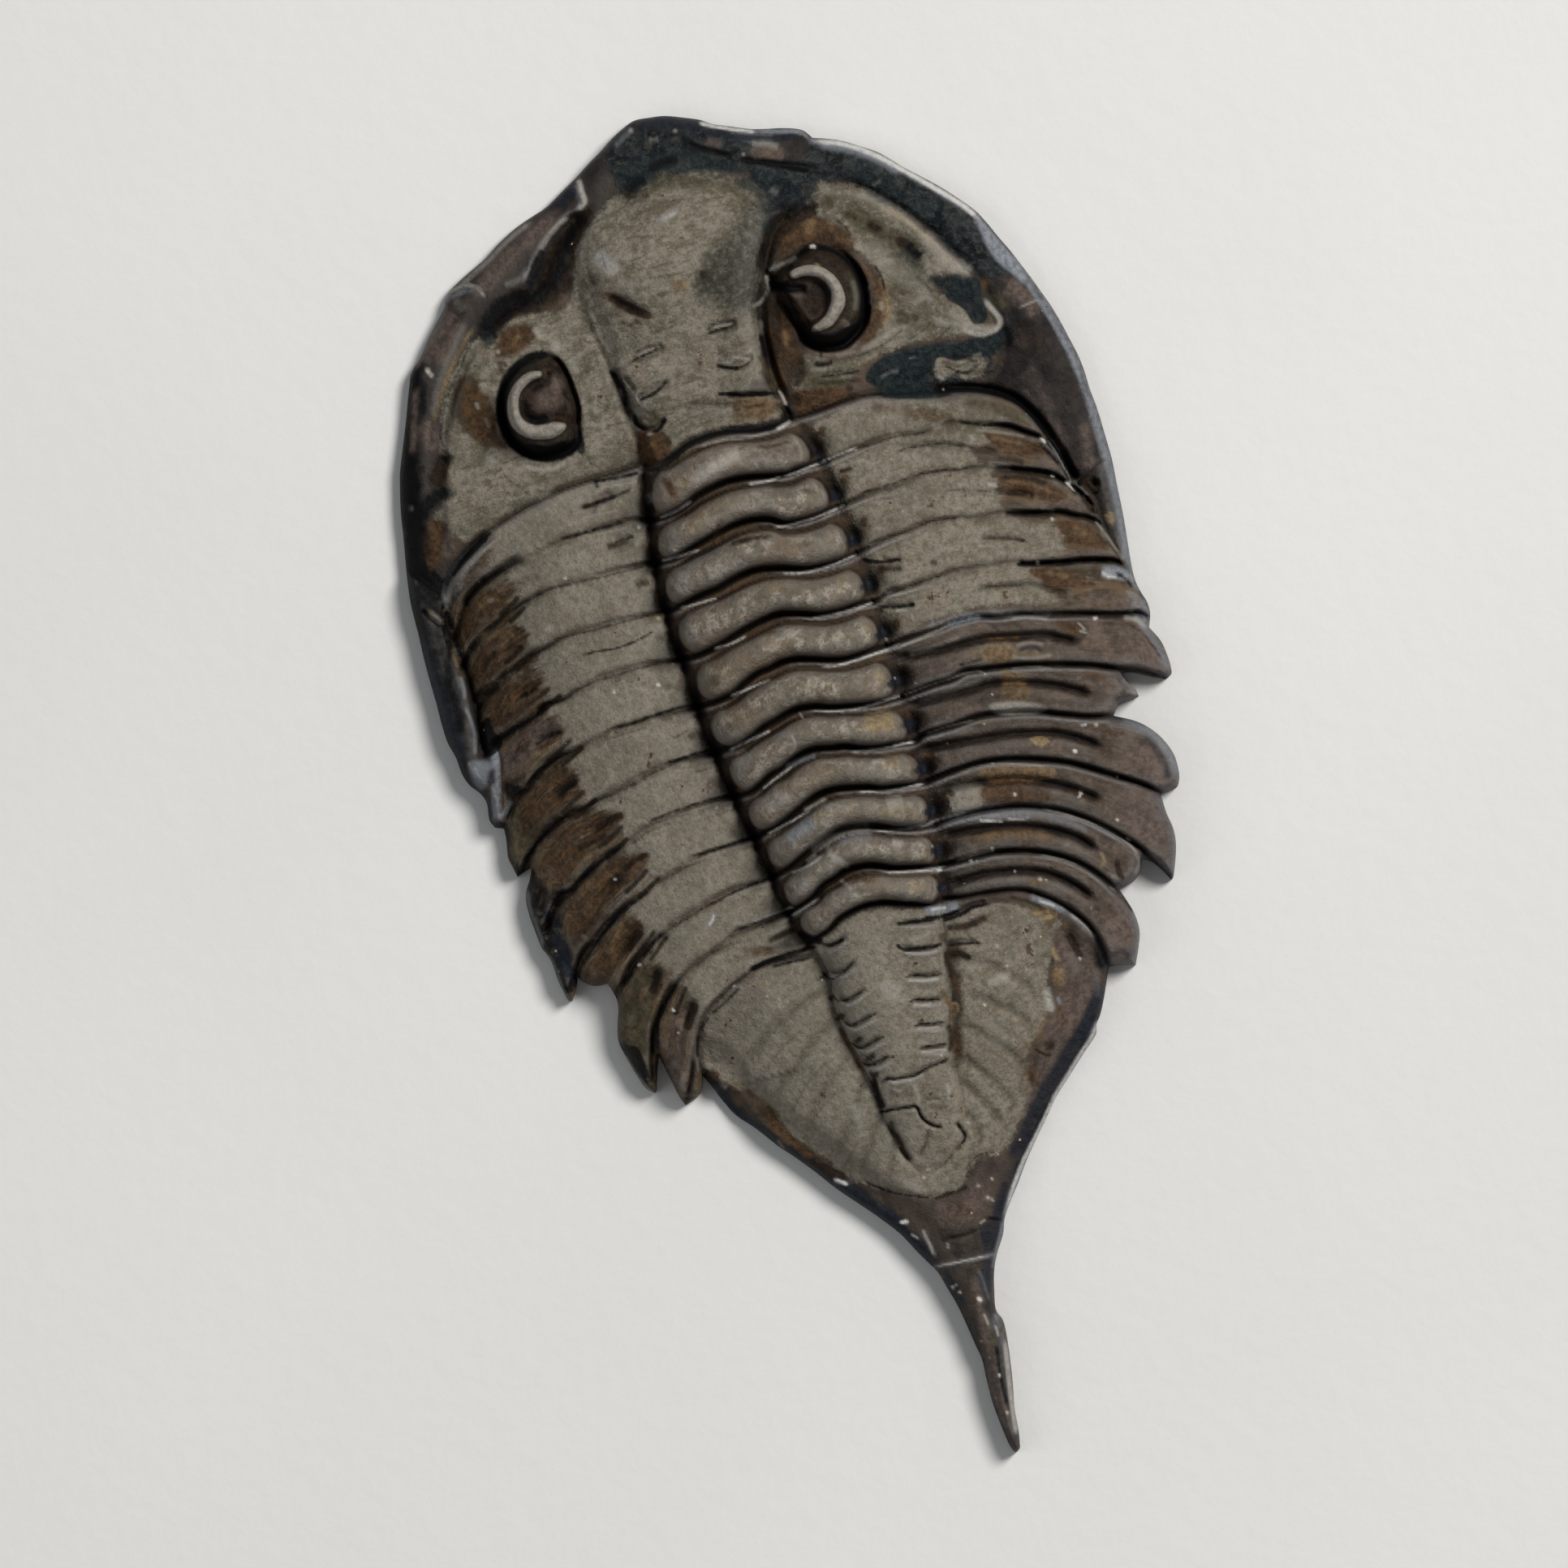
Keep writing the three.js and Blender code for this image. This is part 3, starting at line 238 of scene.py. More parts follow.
g([(1129,1362),(1131,1368),(1134.5,1375),(1140,1381),(1149,1386),(1161,1388)],2.3,.25,.05)
g([(1178,1382),(1182,1388),(1188.5,1396.5),(1188,1404),(1184,1409.5),(1177,1415)],2.5,.26,.06)
g([(1174,1420),(1167,1428.5),(1161,1436),(1150,1441)],2.3,.12,.1)
g([(1060,1453),(1080,1462),(1106,1468),(1139,1474),(1160,1472),(1178,1466)],2.8,.12,.1)
g([(1152,1560),(1175,1556),(1210,1549),(1226,1545)],2.8,-.10,.03)
g([(1208,1505),(1216,1502),(1226,1503),(1237,1502)],2.5,.14,.03)
g([(1164,1524),(1180,1524),(1192,1520),(1201,1516)],2.5,.12,.1)
g([(1226,1622),(1234,1640),(1238,1665),(1241,1700),(1245,1730)],4,.25,.12)
# tail plate: near-axis lines behind the front edge, right and left
g([(1160,1133),(1178,1127),(1195,1116),(1215,1110)],3.4,.28,.1)
g([(1163,1162),(1185,1160),(1206,1161)],3.2,.2,.2)
g([(1172,1182),(1190,1180),(1197,1179)],3.2,.15,.2)
g([(1242,1108),(1262,1112),(1285,1120)],3.2,.15,.1)
g([(1345,598),(1352,592)],5,.5,.2)
g([(1306,1140),(1318,1156),(1330,1180)],9,.38,.3)
g([(925,1165),(945,1170),(965,1165),(985,1160)],3,.15,.3)
g([(860,1180),(905,1166),(945,1152)],3,.10,.3)
g([(880,1195),(925,1178),(990,1166)],3,.12,.3)
g([(945,340),(958,351),(975,357),(995,357)], 5, .45, .1)
g([(988,398),(996,408),(1000,418)], 6, .35, .1)
g([(945,336),(958,328),(972,322),(984,318)], 4, -.25, .1)
# outer ends of the ribs, right side: short furrows behind the head
g([(1262,548),(1285,556),(1305,568)], 3.5, .2)
g([(1240,575),(1262,584),(1300,590),(1318,600)], 3, .16)
g([(1236,634),(1262,633),(1284,630)], 2.8, .2)
g([(1296,629),(1330,637)], 2.6, .12)
g([(1253,695),(1290,694),(1330,691),(1366,690)], 3, .3, .06)
# left side: gap between the cheek spine and the rib ends
g([(549,748),(556,775),(566,805),(575,830),(582,855),(588,885),(592,910),(598,935),(610,945)], 6, .70, .15)
g([(644,686),(622,696),(604,710),(588,724),(576,738),(572,752)], 4, .45, .12)
g([(520,752),(532,762),(545,772)], 2.5, .2, .1)
# tail plate: faint ribs
TAIL_RIBS = ([(1030,1215),(990,1235),(945,1275),(915,1315)], [(1040,1250),(1005,1280),(970,1325),(945,1362)],
            [(1055,1290),(1030,1320),(1005,1360),(988,1398)], [(1072,1325),(1055,1355),(1040,1395),(1028,1428)],
            [(1088,1365),(1075,1395),(1065,1425),(1060,1448)], [(1105,1400),(1098,1425),(1095,1450)],
            [(1180,1180),(1215,1188),(1250,1205),(1280,1232)], [(1180,1222),(1215,1232),(1256,1250),(1276,1275)],
            [(1180,1258),(1220,1280),(1250,1302),(1266,1325)], [(1180,1298),(1208,1318),(1236,1345),(1256,1368)],
            [(1184,1330),(1205,1350),(1225,1372),(1240,1392)], [(1192,1365),(1202,1390),(1210,1412)])
for rib in TAIL_RIBS:
    g(rib, 6, .14, .2)
# cracks on the tail axis
g([(1131,1361),(1137,1356),(1148,1354),(1157,1352)], 2.0, .10, .1)
g([(1192,1296),(1190,1320),(1178,1340),(1168,1352),(1150,1356)], 2.2, .12, .05)
g([(1096,1380),(1100,1393),(1108,1405),(1113,1418),(1122,1431)], 4.2, .20, .12)
g([(1130,1427),(1137,1416),(1141,1405),(1144,1390)], 3.4, .12, .15)
# edge of the worn patch beside the tail axis, and of the tail's border
g([(1190,1448),(1192,1430),(1206,1420),(1232,1418)], 2.5, .08, .05)

# parts of the shell
HEADP = [(440,100),(1500,100),(1500,800),(1440,800),(1414,757),(1395,712),(1380,690),(1365,665),(1355,640),(1345,612),(1325,592),(1315,575),
(1305,555),(1295,540),(1285,525),(1270,508),(1250,492),(1230,484),(1200,479),(1170,480),(1150,484),(1120,486),(1085,487),(1060,490),(1040,495),
(1020,502),(1000,510),(968,520),(950,527),(930,532),(900,533),(870,539),(845,550),(825,565),(800,575),(785,577),(760,585),(735,592),(690,607),
(640,633),(604,656),(590,668),(575,683),(560,700),(553,715),(549,735),(546,760),(551,790),(558,812),(566,830),(577,840),(584,860),(589,890),
(593,930),(602,924),(612,922),(617,940),(619,985),(622,1018),(614,1045),(440,1060)]
TAILP = [(866,1325),(862,1315),(859,1285),(865,1255),(885,1229),(912,1206),(945,1186),(981,1176),(1002,1158),(1020,1146),(1033,1132),(1047,1123),
(1065,1115),(1083,1111),(1102,1111),(1127,1113),(1148,1114),(1161,1108),(1192,1104),(1225,1098),(1258,1096),(1285,1103),(1312,1116),(1335,1133),
(1351,1152),(1361,1172),(1366,1191),(1375,1215),(1450,1260),(1450,1850),(800,1850),(871,1400),(869,1345)]
GENAL_L = [(470,700),(549,735),(546,760),(551,790),(558,812),(566,830),(577,840),(584,860),(589,890),(593,930),(602,924),(612,922),(617,940),
(619,985),(622,1018),(600,1040),(540,950),(480,800)]
GENAL_R = [(1325,592),(1345,612),(1355,640),(1365,665),(1380,690),(1395,712),(1414,757),(1440,790),(1440,700),(1400,600),(1380,560)]

# ------------------------------------------------------------ coloured areas
# Each entry is a closed outline, or an open stroke with its half-width.
FILM = [
 [(762,240),(785,218),(830,206),(880,206),(920,220),(944,240),(950,262),(944,300),(942,330),(940,350),(938,368),(937,372),(936,374),
  (935,375),(938,400),(936,440),(945,470),(960,492),(962,514),(930,522),(890,528),(862,538),(836,554),(812,568),(790,577),(785,590),(792,615),(797,655),(806,715),(822,775),
  (843,835),(861,893),(883,945),(908,1000),(933,1050),(955,1100),(978,1145),(1000,1175),(960,1200),(900,1240),(868,1262),(850,1235),(840,1215),
  (815,1195),(800,1185),(800,1165),(778,1128),(770,1105),(775,1075),(770,1045),(765,1020),(740,1000),(712,985),(715,950),(700,930),(690,890),
  (670,865),(670,830),(648,795),(634,762),(634,732),(624,704),(600,715),(598,655),(575,668),(560,660),(548,650),(535,640),(555,600),(545,560),
  (544,525),(548,485),(565,448),(584,420),(600,408),(618,400),(632,392),(660,388),(690,385),(700,372),(705,360),(708,330),(712,300),(728,275),(745,255)],
 [(866,1310),(880,1325),(905,1340),(925,1345),(950,1365),(975,1400),(1020,1430),(1050,1452),(1090,1465),(1140,1474),(1180,1465),(1195,1440),
  (1208,1424),(1235,1418),(1262,1370),(1270,1330),(1265,1300),(1280,1270),(1290,1245),(1290,1200),(1298,1170),(1308,1139),(1290,1130),(1262,1118),
  (1225,1112),(1190,1122),(1165,1120),(1127,1120),(1083,1118),(1047,1130),(1020,1150),(1000,1165),(960,1185),(912,1210),(885,1235),(865,1260),
  (862,1290)],
 [(1010,520),(1045,500),(1075,492),(1110,492),(1160,495),(1215,500),(1235,515),(1225,540),(1200,560),(1220,578),(1222,588),(1233,596),(1225,604),(1240,612),(1232,622),(1246,632),(1262,641),(1294,642),
  (1300,652),(1311,666),(1316,684),(1296,690),(1255,695),(1280,700),(1290,725),(1300,745),(1250,745),(1200,750),(1180,757),(1150,765),(1100,785),(1090,770),(1080,725),(1060,668),
  (1037,612),(1017,560),(1003,535)],
 [(992,226),(1045,228),(1060,232),(1085,250),(1112,262),(1130,278),(1155,300),(1172,322),(1192,336),(1160,340),(1150,350),(1165,365),(1190,385),
  (1210,402),(1228,408),(1195,412),(1150,418),(1110,428),(1080,440),(1060,455),(1045,470),(1000,484),(978,478),(974,452),(988,436),(1030,445),(1060,435),
  (1078,410),(1090,385),(1084,340),(1062,315),(1035,297),(1020,285),(1005,262),(988,250)],
 [(1172,964),(1208,964),(1207,1000),(1172,1000)],
 [(1150,440),(1180,436),(1212,440),(1214,462),(1190,470),(1160,468),(1150,455)],
]
SLATE = [
 [(1000,213),(1045,222),(1060,225),(1080,240),(1110,252),(1125,265),(1150,285),(1175,315),(1190,330),(1205,342),(1235,338),(1246,326),(1232,304),
  (1208,280),(1180,256),(1150,238),(1115,218),(1080,200),(1040,186),(1000,181)],
 [(1150,345),(1175,338),(1200,345),(1205,360),(1215,375),(1225,390),(1210,400),(1195,385),(1180,370),(1165,360)],
 [(1070,460),(1085,445),(1110,432),(1140,425),(1170,420),(1200,418),(1225,412),(1240,398),(1235,420),(1222,440),(1225,458),(1215,462),(1195,475),
  (1175,480),(1160,483),(1130,489),(1100,490),(1085,487)],
 [(760,178),(800,162),(860,160),(920,175),(960,195),(1000,205),(1004,232),(985,262),(955,262),(946,240),(935,228),(900,212),(850,211),(800,216),
  (785,238),(770,238),(755,220),(748,192)],
 [(600,400),(612,388),(622,398),(612,412),(602,425),(594,415)],
]
MOTTLE = [
 ([(772,238),(800,224),(850,217),(900,222),(938,246),(952,280),(944,330)], 9),
 ([(790,205),(840,196),(900,204)], 12),
 [(868,314),(892,298),(908,270),(924,244),(945,262),(950,292),(944,330),(937,378),(905,386),(880,382),(862,374),(856,345),(866,322)],
 [(1095,290),(1120,285),(1146,300),(1142,322),(1118,326),(1098,312)],
]
UMBER = [
 [(725,258),(714,275),(706,300),(697,325),(700,350),(690,372),(668,378),(640,384),(618,396),(604,414),(592,416),(592,398),(606,378),(628,364),
  (650,350),(660,330),(668,308),(682,290),(700,276)],
 [(944,282),(960,268),(978,262),(990,275),(984,300),(966,318),(952,332),(943,345),(940,320)],
 [(560,470),(578,462),(592,478),(600,500),(592,528),(578,540),(562,520),(556,495)],
 [(938,350),(948,348),(956,368),(968,388),(978,402),(985,420),(990,440),(985,465),(965,470),(952,450),(942,420),(937,385)],
 [(930,470),(955,465),(972,478),(968,498),(945,500),(925,492)],
 [(1163,1170),(1180,1165),(1182,1200),(1184,1250),(1186,1300),(1176,1306),(1172,1260),(1168,1215)],
]
RUST = [
 [(951,385),(962,380),(975,392),(985,410),(988,425),(980,442),(960,445),(948,420)],
 [(610,425),(618,408),(640,402),(656,405),(662,415),(645,428),(625,437),(612,440)],
 [(572,475),(582,478),(598,500),(612,520),(628,545),(612,553),(590,545),(575,520)],
 ([(748,367),(762,374),(778,384),(797,391)], 5),
 [(960,285),(975,272),(1000,268),(1015,278),(1030,290),(1045,305),(1030,304),(1010,297),(985,302),(966,314),(957,300)],
 [(905,490),(935,487),(960,492),(962,510),(940,514),(910,514)],
 [(785,532),(800,528),(815,545),(815,565),(800,574),(786,566)],
 [(1210,965),(1285,966),(1285,990),(1230,992),(1210,985)],
 [(1200,1022),(1240,1019),(1300,1024),(1298,1034),(1240,1034),(1200,1036)],
 [(1267,1082),(1287,1083),(1286,1093),(1267,1092)],
 [(1262,548),(1285,556),(1300,572),(1288,582),(1262,574),(1240,560)],
 [(1235,590),(1270,592),(1300,600),(1318,612),(1300,618),(1262,612),(1238,606)],
 [(1300,640),(1330,642),(1360,662),(1372,682),(1340,684),(1312,676)],
 [(1268,700),(1310,700),(1335,708),(1330,722),(1290,722)],
 [(1300,762),(1330,762),(1340,780),(1318,788),(1298,780)],
 [(1280,1105),(1300,1112),(1298,1130),(1270,1122)],
 [(1292,1140),(1308,1165),(1312,1200),(1300,1208),(1294,1180)],
 [(1262,1290),(1290,1280),(1292,1305),(1272,1330),(1262,1345)],
 [(925,1344),(950,1362),(975,1398),(990,1412),(968,1408),(940,1385),(920,1362)],
 [(535,640),(548,648),(552,670),(545,700),(535,700),(530,665)],
 ([(905,1350),(935,1375),(960,1398),(990,1418),(1020,1440)], 4),
 ([(925,1165),(935,1170),(945,1172)], 3),
]
TAN = [
 [(1213,793),(1245,793),(1246,815),(1213,817)],
 [(1235,826),(1265,835),(1267,862),(1236,862)],
 [(1214,945),(1292,945),(1290,961),(1214,962)],
 [(1275,908),(1292,908),(1290,918),(1275,919)],
 [(1080,364),(1092,364),(1093,386),(1080,386)],
 [(1078,345),(1094,348),(1100,380),(1094,400),(1078,402),(1080,375)],
 ([(1295,1165),(1303,1182),(1310,1200)], 3),
 [(1272,1120),(1300,1122),(1298,1132),(1280,1130)],
 [(962,275),(985,268),(1008,275),(1005,288),(985,292),(968,300)],
 [(790,548),(806,545),(812,560),(798,570),(788,562)],
 [(915,490),(945,489),(955,500),(935,506),(915,504)],
 [(832,347),(850,347),(848,363),(834,362)],
]
# painted highlight: pale blue-grey along the rims and ridges that face the lamp
EDGE_HIGHLIGHTS = [
 ([(866,152),(900,158),(940,162),(985,162)], 3),
 ([(1000,174),(1040,178),(1080,192),(1115,212),(1160,238),(1198,262)], 4),
 [(1196,262),(1216,280),(1236,304),(1256,328),(1262,345),(1250,338),(1228,312),(1210,290)],
 ([(1248,318),(1290,378),(1318,430),(1338,478),(1352,525),(1368,575)], 6),
 ([(1370,580),(1380,630),(1388,680),(1400,722)], 6),
 ([(813,273),(822,268),(834,263)], 3),
 ([(1100,1020),(1150,1014),(1200,1000),(1245,993),(1290,996),(1340,1012),(1385,1036)], 3),
 ([(1205,1010),(1235,1006),(1265,1008)], 3),
 [(1140,1118),(1160,1113),(1180,1110),(1178,1122),(1160,1128),(1146,1126)],
 ([(1272,1106),(1290,1112),(1312,1122)], 4),
 ([(1312,1122),(1335,1142),(1352,1165),(1362,1192)], 2.5),
 [(1388,728),(1412,742),(1416,772),(1404,768),(1392,750)],
 ([(1138,1518),(1145,1532),(1150,1546)], 2.2),
 ([(1243,1476),(1256,1448),(1270,1418),(1290,1380)], 4),
 ([(1225,1560),(1238,1500),(1244,1478)], 3),
 ([(1300,1352),(1325,1312),(1342,1285),(1350,1262)], 3.5),
 ([(1152,1560),(1175,1556),(1210,1549),(1220,1546)], .6),
 ([(1228,1622),(1238,1660),(1246,1710),(1252,1760)], 4),
 ([(600,664),(584,676),(568,692),(556,710),(550,730),(552,745)], 3.5),
 [(608,930),(614,926),(617,945),(617,995),(611,1012),(607,998),(608,960)],
 [(900,165),(925,165),(950,168),(948,176),(920,175)],
 ([(873,1140),(877,1134),(881,1128)], 2.5),
 ([(1032,1455),(1040,1457),(1046,1460)], 3),
 ([(709,232),(715,240),(717,256)], 3.5),
 ([(546,376),(556,366),(575,358),(588,358)], 3),
 ([(1145,772),(1180,762),(1215,757),(1260,757),(1290,757)], 3.5),
]
GLINT = [(812,762,4),(527,458,3),(1182,1592,2.5),(1174,1586,2.5),(1207,1601,4),(1231,1694,2.5),(1241,1740,2.5),(1217,1714,2.5),(1330,1181,2.5),
 (1003,305,3),(547,368,3),(1116,1505,4),(1296,640,3),(1284,541,4),(1320,595,4),(1278,693,3),(1348,762,3),(1350,893,3),(1323,926,3),(1250,979,3),
 (1331,977,3),(1376,1010,3),(1222,1046,3),(1281,1083,3),(1196,1061,3),(697,713,2.5),(757,853,2.5),(811,844,3),(832,679,2.5),(1240,1190,2.5),
 (1213,1238,2.5),(960,1230,2),(905,1215,2),(1205,1460,2.5),(1217,1475,3),(1222,1452,2.5),(1160,1300,2),(1292,1232,2.5),(1228,1165,2.5)]
BLACK = [
 ([(1150,482),(1200,481),(1232,487),(1262,503),(1285,528)], 2.4),
 ([(1285,528),(1300,552),(1322,592)], 1.2),
 # the next two outlines paint shade under the eyes
 [(1000,414),(1020,412),(1040,408),(1056,404),(1050,420),(1036,430),(1012,430),(1000,424)],
 [(650,548),(680,552),(700,546),(712,540),(706,555),(680,562),(660,560)],
 ([(1330,596),(1340,590),(1352,596),(1350,606)], 4),
 ([(604,658),(592,668),(580,680),(566,698)], 2.0),
]

# near-black at the left margin and the left blades' tips: partly the stone's own dark tone, partly painted shade on the
# left flanks, which face away from the lamp
DARK = [
 [(490,600),(510,590),(524,620),(530,660),(540,690),(552,720),(556,750),(554,800),(566,838),(576,885),(584,935),(596,975),(608,1014),(590,1005),(566,970),(532,900),(508,805),(488,700)],
 [(494,560),(506,540),(516,560),(520,600),(505,620),(490,610)],
 [(648,1085),(662,1078),(682,1118),(698,1160),(712,1200),(704,1236),(692,1224),(668,1174),(650,1140)],
 [(556,700),(575,684),(596,668),(590,690),(572,712),(560,740),(552,740)],
 [(604,1020),(625,1015),(632,1050),(642,1075),(630,1082),(615,1050)],
 [(768,1280),(780,1290),(790,1318),(806,1345),(795,1348),(776,1320),(764,1295)],
 [(497,470),(520,440),(530,450),(512,500),(506,560),(494,560)],
]
# dark blue margin of the tail plate, inside its edge
NAVY = [
 ([(876,1340),(910,1376),(955,1411),(1005,1446),(1055,1482),(1105,1520),(1140,1553)], 9),
 ([(1354,1225),(1348,1262),(1322,1312),(1292,1362),(1266,1415),(1250,1462),(1240,1500)], 5.5),
 ([(1215,1515),(1222,1545),(1212,1580),(1212,1610)], 8),
 ([(800,152),(830,150),(858,156)], 8),
 ([(680,1120),(694,1160),(706,1210)], 4),
]
# cleaner, lighter film, and an olive shade of it
CREAM = [
 [(1140,292),(1165,310),(1198,336),(1165,345),(1140,335),(1130,310)],
 [(1172,380),(1200,374),(1228,392),(1238,404),(1215,414),(1185,408)],
 [(1150,442),(1212,440),(1214,460),(1165,466)],
 [(640,395),(690,392),(700,420),(665,425)],
 [(718,470),(740,460),(752,520),(748,556),(722,548)],
 [(1060,1160),(1100,1160),(1104,1210),(1070,1205)],
 [(780,800),(800,796),(800,870),(790,905),(770,880)],
 [(690,690),(740,690),(735,745),(700,750)],
]
OLIVE = [
 [(1000,230),(1030,236),(1085,250),(1096,275),(1080,300),(1050,290),(1030,290),(1005,262)],
 [(1098,332),(1140,342),(1180,400),(1120,420),(1098,385)],
 [(988,440),(1060,438),(1055,480),(995,492)],
 [(1110,492),(1212,500),(1215,535),(1130,525)],
 [(760,560),(785,580),(795,640),(770,690),(745,640)],
]
# islands of film left standing in the dark patches
ISLAND = [
 [(1150,440),(1180,436),(1212,440),(1216,450),(1205,466),(1190,470),(1170,462),(1160,470),(1150,455)],
 [(1172,372),(1200,370),(1226,388),(1240,402),(1226,412),(1196,412),(1172,410)],
 ([(1168,446),(1190,458),(1204,450)], 4),
]

# ------------------------------------------------------------- small markings
# mark(colour, half-width, strength, points...): a soft stroke, or a spot.
# field(colour, softness, strength, points...): a closed outline.
# the white marks are painted highlights on edges, rims and glints
MARKS = {}


def mark(colour, w, s, *p):
    MARKS.setdefault(colour, []).append((list(p), w, s, False))


def field(colour, w, s, *p):
    MARKS.setdefault(colour, []).append((list(p), w, s, True))


# head: front border on the left
mark("chalk", 4, .80, (713,221), (716,236), (720,248), (713,259))
mark("chalk", 3.5, .60, (700,268), (688,278), (676,292), (668,306), (662,320))
mark("chalk", 6, .32, (655,330), (640,345), (622,352))
mark("chalk", 3.2, .55, (549,368), (558,358), (575,352), (590,356), (598,366))
mark("chalk", 4.5, .45, (560,359), (580,341), (601,322), (618,304), (638,286), (656,273))
mark("chalk", 5, .30, (512,455), (527,425), (540,400), (551,374))
mark("rose", 14, .55, (585,365), (610,335), (635,310), (665,285), (685,268))
mark("rose", 10, .50, (530,440), (545,410), (560,385))
field("navy", 5, .65, (676,257), (690,239), (706,228), (709,240), (693,254))
mark("sepia", 8, .95, (727,257), (714,269), (704,285), (695,292))
mark("rust", 5, .65, (708,290), (702,303), (698,312))
mark("sepia", 10, .90, (692,300), (684,318), (680,340), (672,356))
mark("ink", 7, .80, (670,308), (660,330), (654,350), (648,360))
mark("ink", 11, .92, (672,366), (650,366), (630,371), (612,382), (603,397), (600,410))
mark("olive", 7, .60, (685,305), (682,325))
mark("sepia", 7, .60, (692,332), (700,346), (692,362))
mark("teal", 7, .70, (606,392), (600,406), (598,415))
mark("ink", 4, .55, (612,418), (606,408))
# left cheek and margin
mark("chalk", 7, .28, (574,396), (562,424), (550,450), (540,480), (533,515))
mark("ink", 2.2, .45, (590,412), (577,430), (567,455), (557,475), (549,500), (544,530), (546,552))
mark("chalk", 3.6, .75, (526,454), (533,465))
mark("sand", 4.5, .40, (584,404), (568,430), (554,460), (543,490), (535,520))
mark("rose", 11, .62, (566,398), (553,424), (540,450))
mark("rose", 9, .50, (534,430), (524,448))
mark("chalk", 10, .22, (560,368), (572,384))
mark("chalk", 10, .16, (531,438), (524,470), (522,500))
mark("rose", 12, .55, (524,520), (530,535), (535,555))
mark("rose", 6, .45, (513,480), (510,520), (508,560))
mark("ink", 6, .60, (522,470), (521,500), (520,512))
mark("sepia", 9, .95, (549,562), (541,585), (534,596))
mark("ink", 8, .70, (556,560), (548,570))
mark("ink", 10, .80, (552,604), (538,612), (526,625), (518,640))
mark("teal", 10, .40, (548,605), (556,614))
mark("ink", 8, .85, (498,520), (497,560), (496,600), (499,640), (503,680))
mark("ink", 11, .75, (512,640), (513,680), (520,715), (530,740))
mark("chalk", 5, .28, (497,626), (510,627))
field("rust", 8, .60, (524,664), (531,646), (546,640), (551,650), (546,670), (540,695), (530,702), (522,682))
mark("sepia", 7, .7, (521,660), (524,690))
mark("rose", 10, .55, (556,655), (552,680), (560,672))
field("rust", 9, .60, (576,476), (590,480), (606,490), (612,510), (612,540), (600,552), (588,545), (575,525), (570,505), (572,486))
mark("chalk", 4, .38, (587,496), (590,505))
mark("chalk", 4, .30, (598,515), (604,528))
field("rust", 7, .66, (614,425), (620,408), (640,400), (658,404), (661,415), (646,430), (626,440), (612,440))
mark("ochre", 6, .60, (628,424), (642,415))
mark("chalk", 3.5, .6, (614,434))
mark("chalk", 4.5, .55, (658,405), (666,417))
mark("ink", 6, .45, (640,386), (655,382), (668,384))
mark("chalk", 9, .50, (680,424), (690,432))
mark("chalk", 7, .38, (704,440), (712,462))
mark("chalk", 4.5, .30, (716,470), (722,500), (723,530))
mark("chalk", 4, .55, (646,574), (665,579), (685,577), (698,568))
mark("ochre", 4, .35, (650,572), (668,578))
mark("chalk", 8, .38, (652,604), (662,601))
mark("chalk", 8, .42, (610,573), (602,562))
mark("chalk", 7, .30, (664,616), (680,608))
mark("rust", 6, .35, (625,552), (615,545), (612,553))
mark("ink", 1.6, .35, (616,575), (625,590), (640,600), (655,612))
mark("sepia", 5, .45, (620,462), (617,448), (625,452))
mark("olive", 9, .35, (600,440), (590,455), (575,470))
mark("olive", 8, .30, (560,500), (556,530))
mark("teal", 3.5, .6, (733,592), (737,602))
# left eye: the ink ring round it and along its bottom is painted shade in its moat
mark("ink", 6, .95, (680,436), (668,437), (650,443), (634,456), (623,476), (618,500), (621,525), (631,545), (648,557), (670,564), (692,562), (707,552), (714,537))
mark("ink", 7, .95, (640,556), (660,556), (680,556), (700,548))
mark("ink", 2.4, .75, (684,440), (695,452), (704,470), (711,490), (716,508))
mark("rose", 10, .70, (690,468), (680,485), (668,495), (690,495))
mark("ink", 6, .45, (660,478), (672,470), (680,474))
mark("ink", 6, .70, (652,516), (665,519), (676,514))
mark("sepia", 7, .85, (684,514), (698,516), (708,524))
mark("sepia", 4, .6, (660,455), (672,452), (684,455))
mark("teal", 4, .7, (712,548), (717,556), (716,540))
# left rib ends
mark("ink", 3, .55, (641,859), (653,856), (664,850))
mark("ink", 4, .55, (667,910), (679,907), (690,901))
mark("ink", 4, .55, (690,975), (702,970), (713,964))
mark("rust", 6, .38, (583,746), (596,740), (606,735))
mark("olive", 5, .35, (578,734), (590,728), (602,722))
mark("rose", 6, .35, (590,812), (605,801), (620,792))
mark("ink", 4, .40, (588,858), (597,850), (603,846))
mark("rust", 6, .38, (655,968), (668,962), (680,955))
mark("olive", 5, .35, (618,884), (632,876), (645,870))
mark("rose", 4, .40, (700,1039), (710,1030), (721,1021))
mark("rust", 4, .40, (730,1014), (738,1007), (746,1000))
mark("ink", 7, .40, (694,1112), (703,1100), (713,1090))
mark("ochre", 4, .30, (732,1096), (742,1086), (750,1078))
mark("rust", 6, .35, (758,1180), (768,1170), (776,1158))
mark("ink", 6, .30, (738,1186), (746,1178), (752,1168))
mark("rust", 6, .30, (780,1234), (788,1226), (794,1216))
mark("rose", 6, .30, (775,1275), (782,1266))
mark("rust", 6, .32, (826,1290), (830,1276), (836,1262))
mark("sand", 5, .28, (842,1335), (848,1320))
mark("ink", 8, .28, (600,895), (606,880), (612,868))
mark("ink", 8, .28, (632,942), (640,930), (652,920))
# first ribs on the right: darker and brighter brown
mark("sepia", 5, .40, (1228,566), (1244,567), (1262,571))
mark("rust", 5, .40, (1216,537), (1236,541), (1258,546))
mark("sepia", 5, .35, (1270,556), (1286,562))
mark("rust", 5, .35, (1262,592), (1280,600), (1294,610))
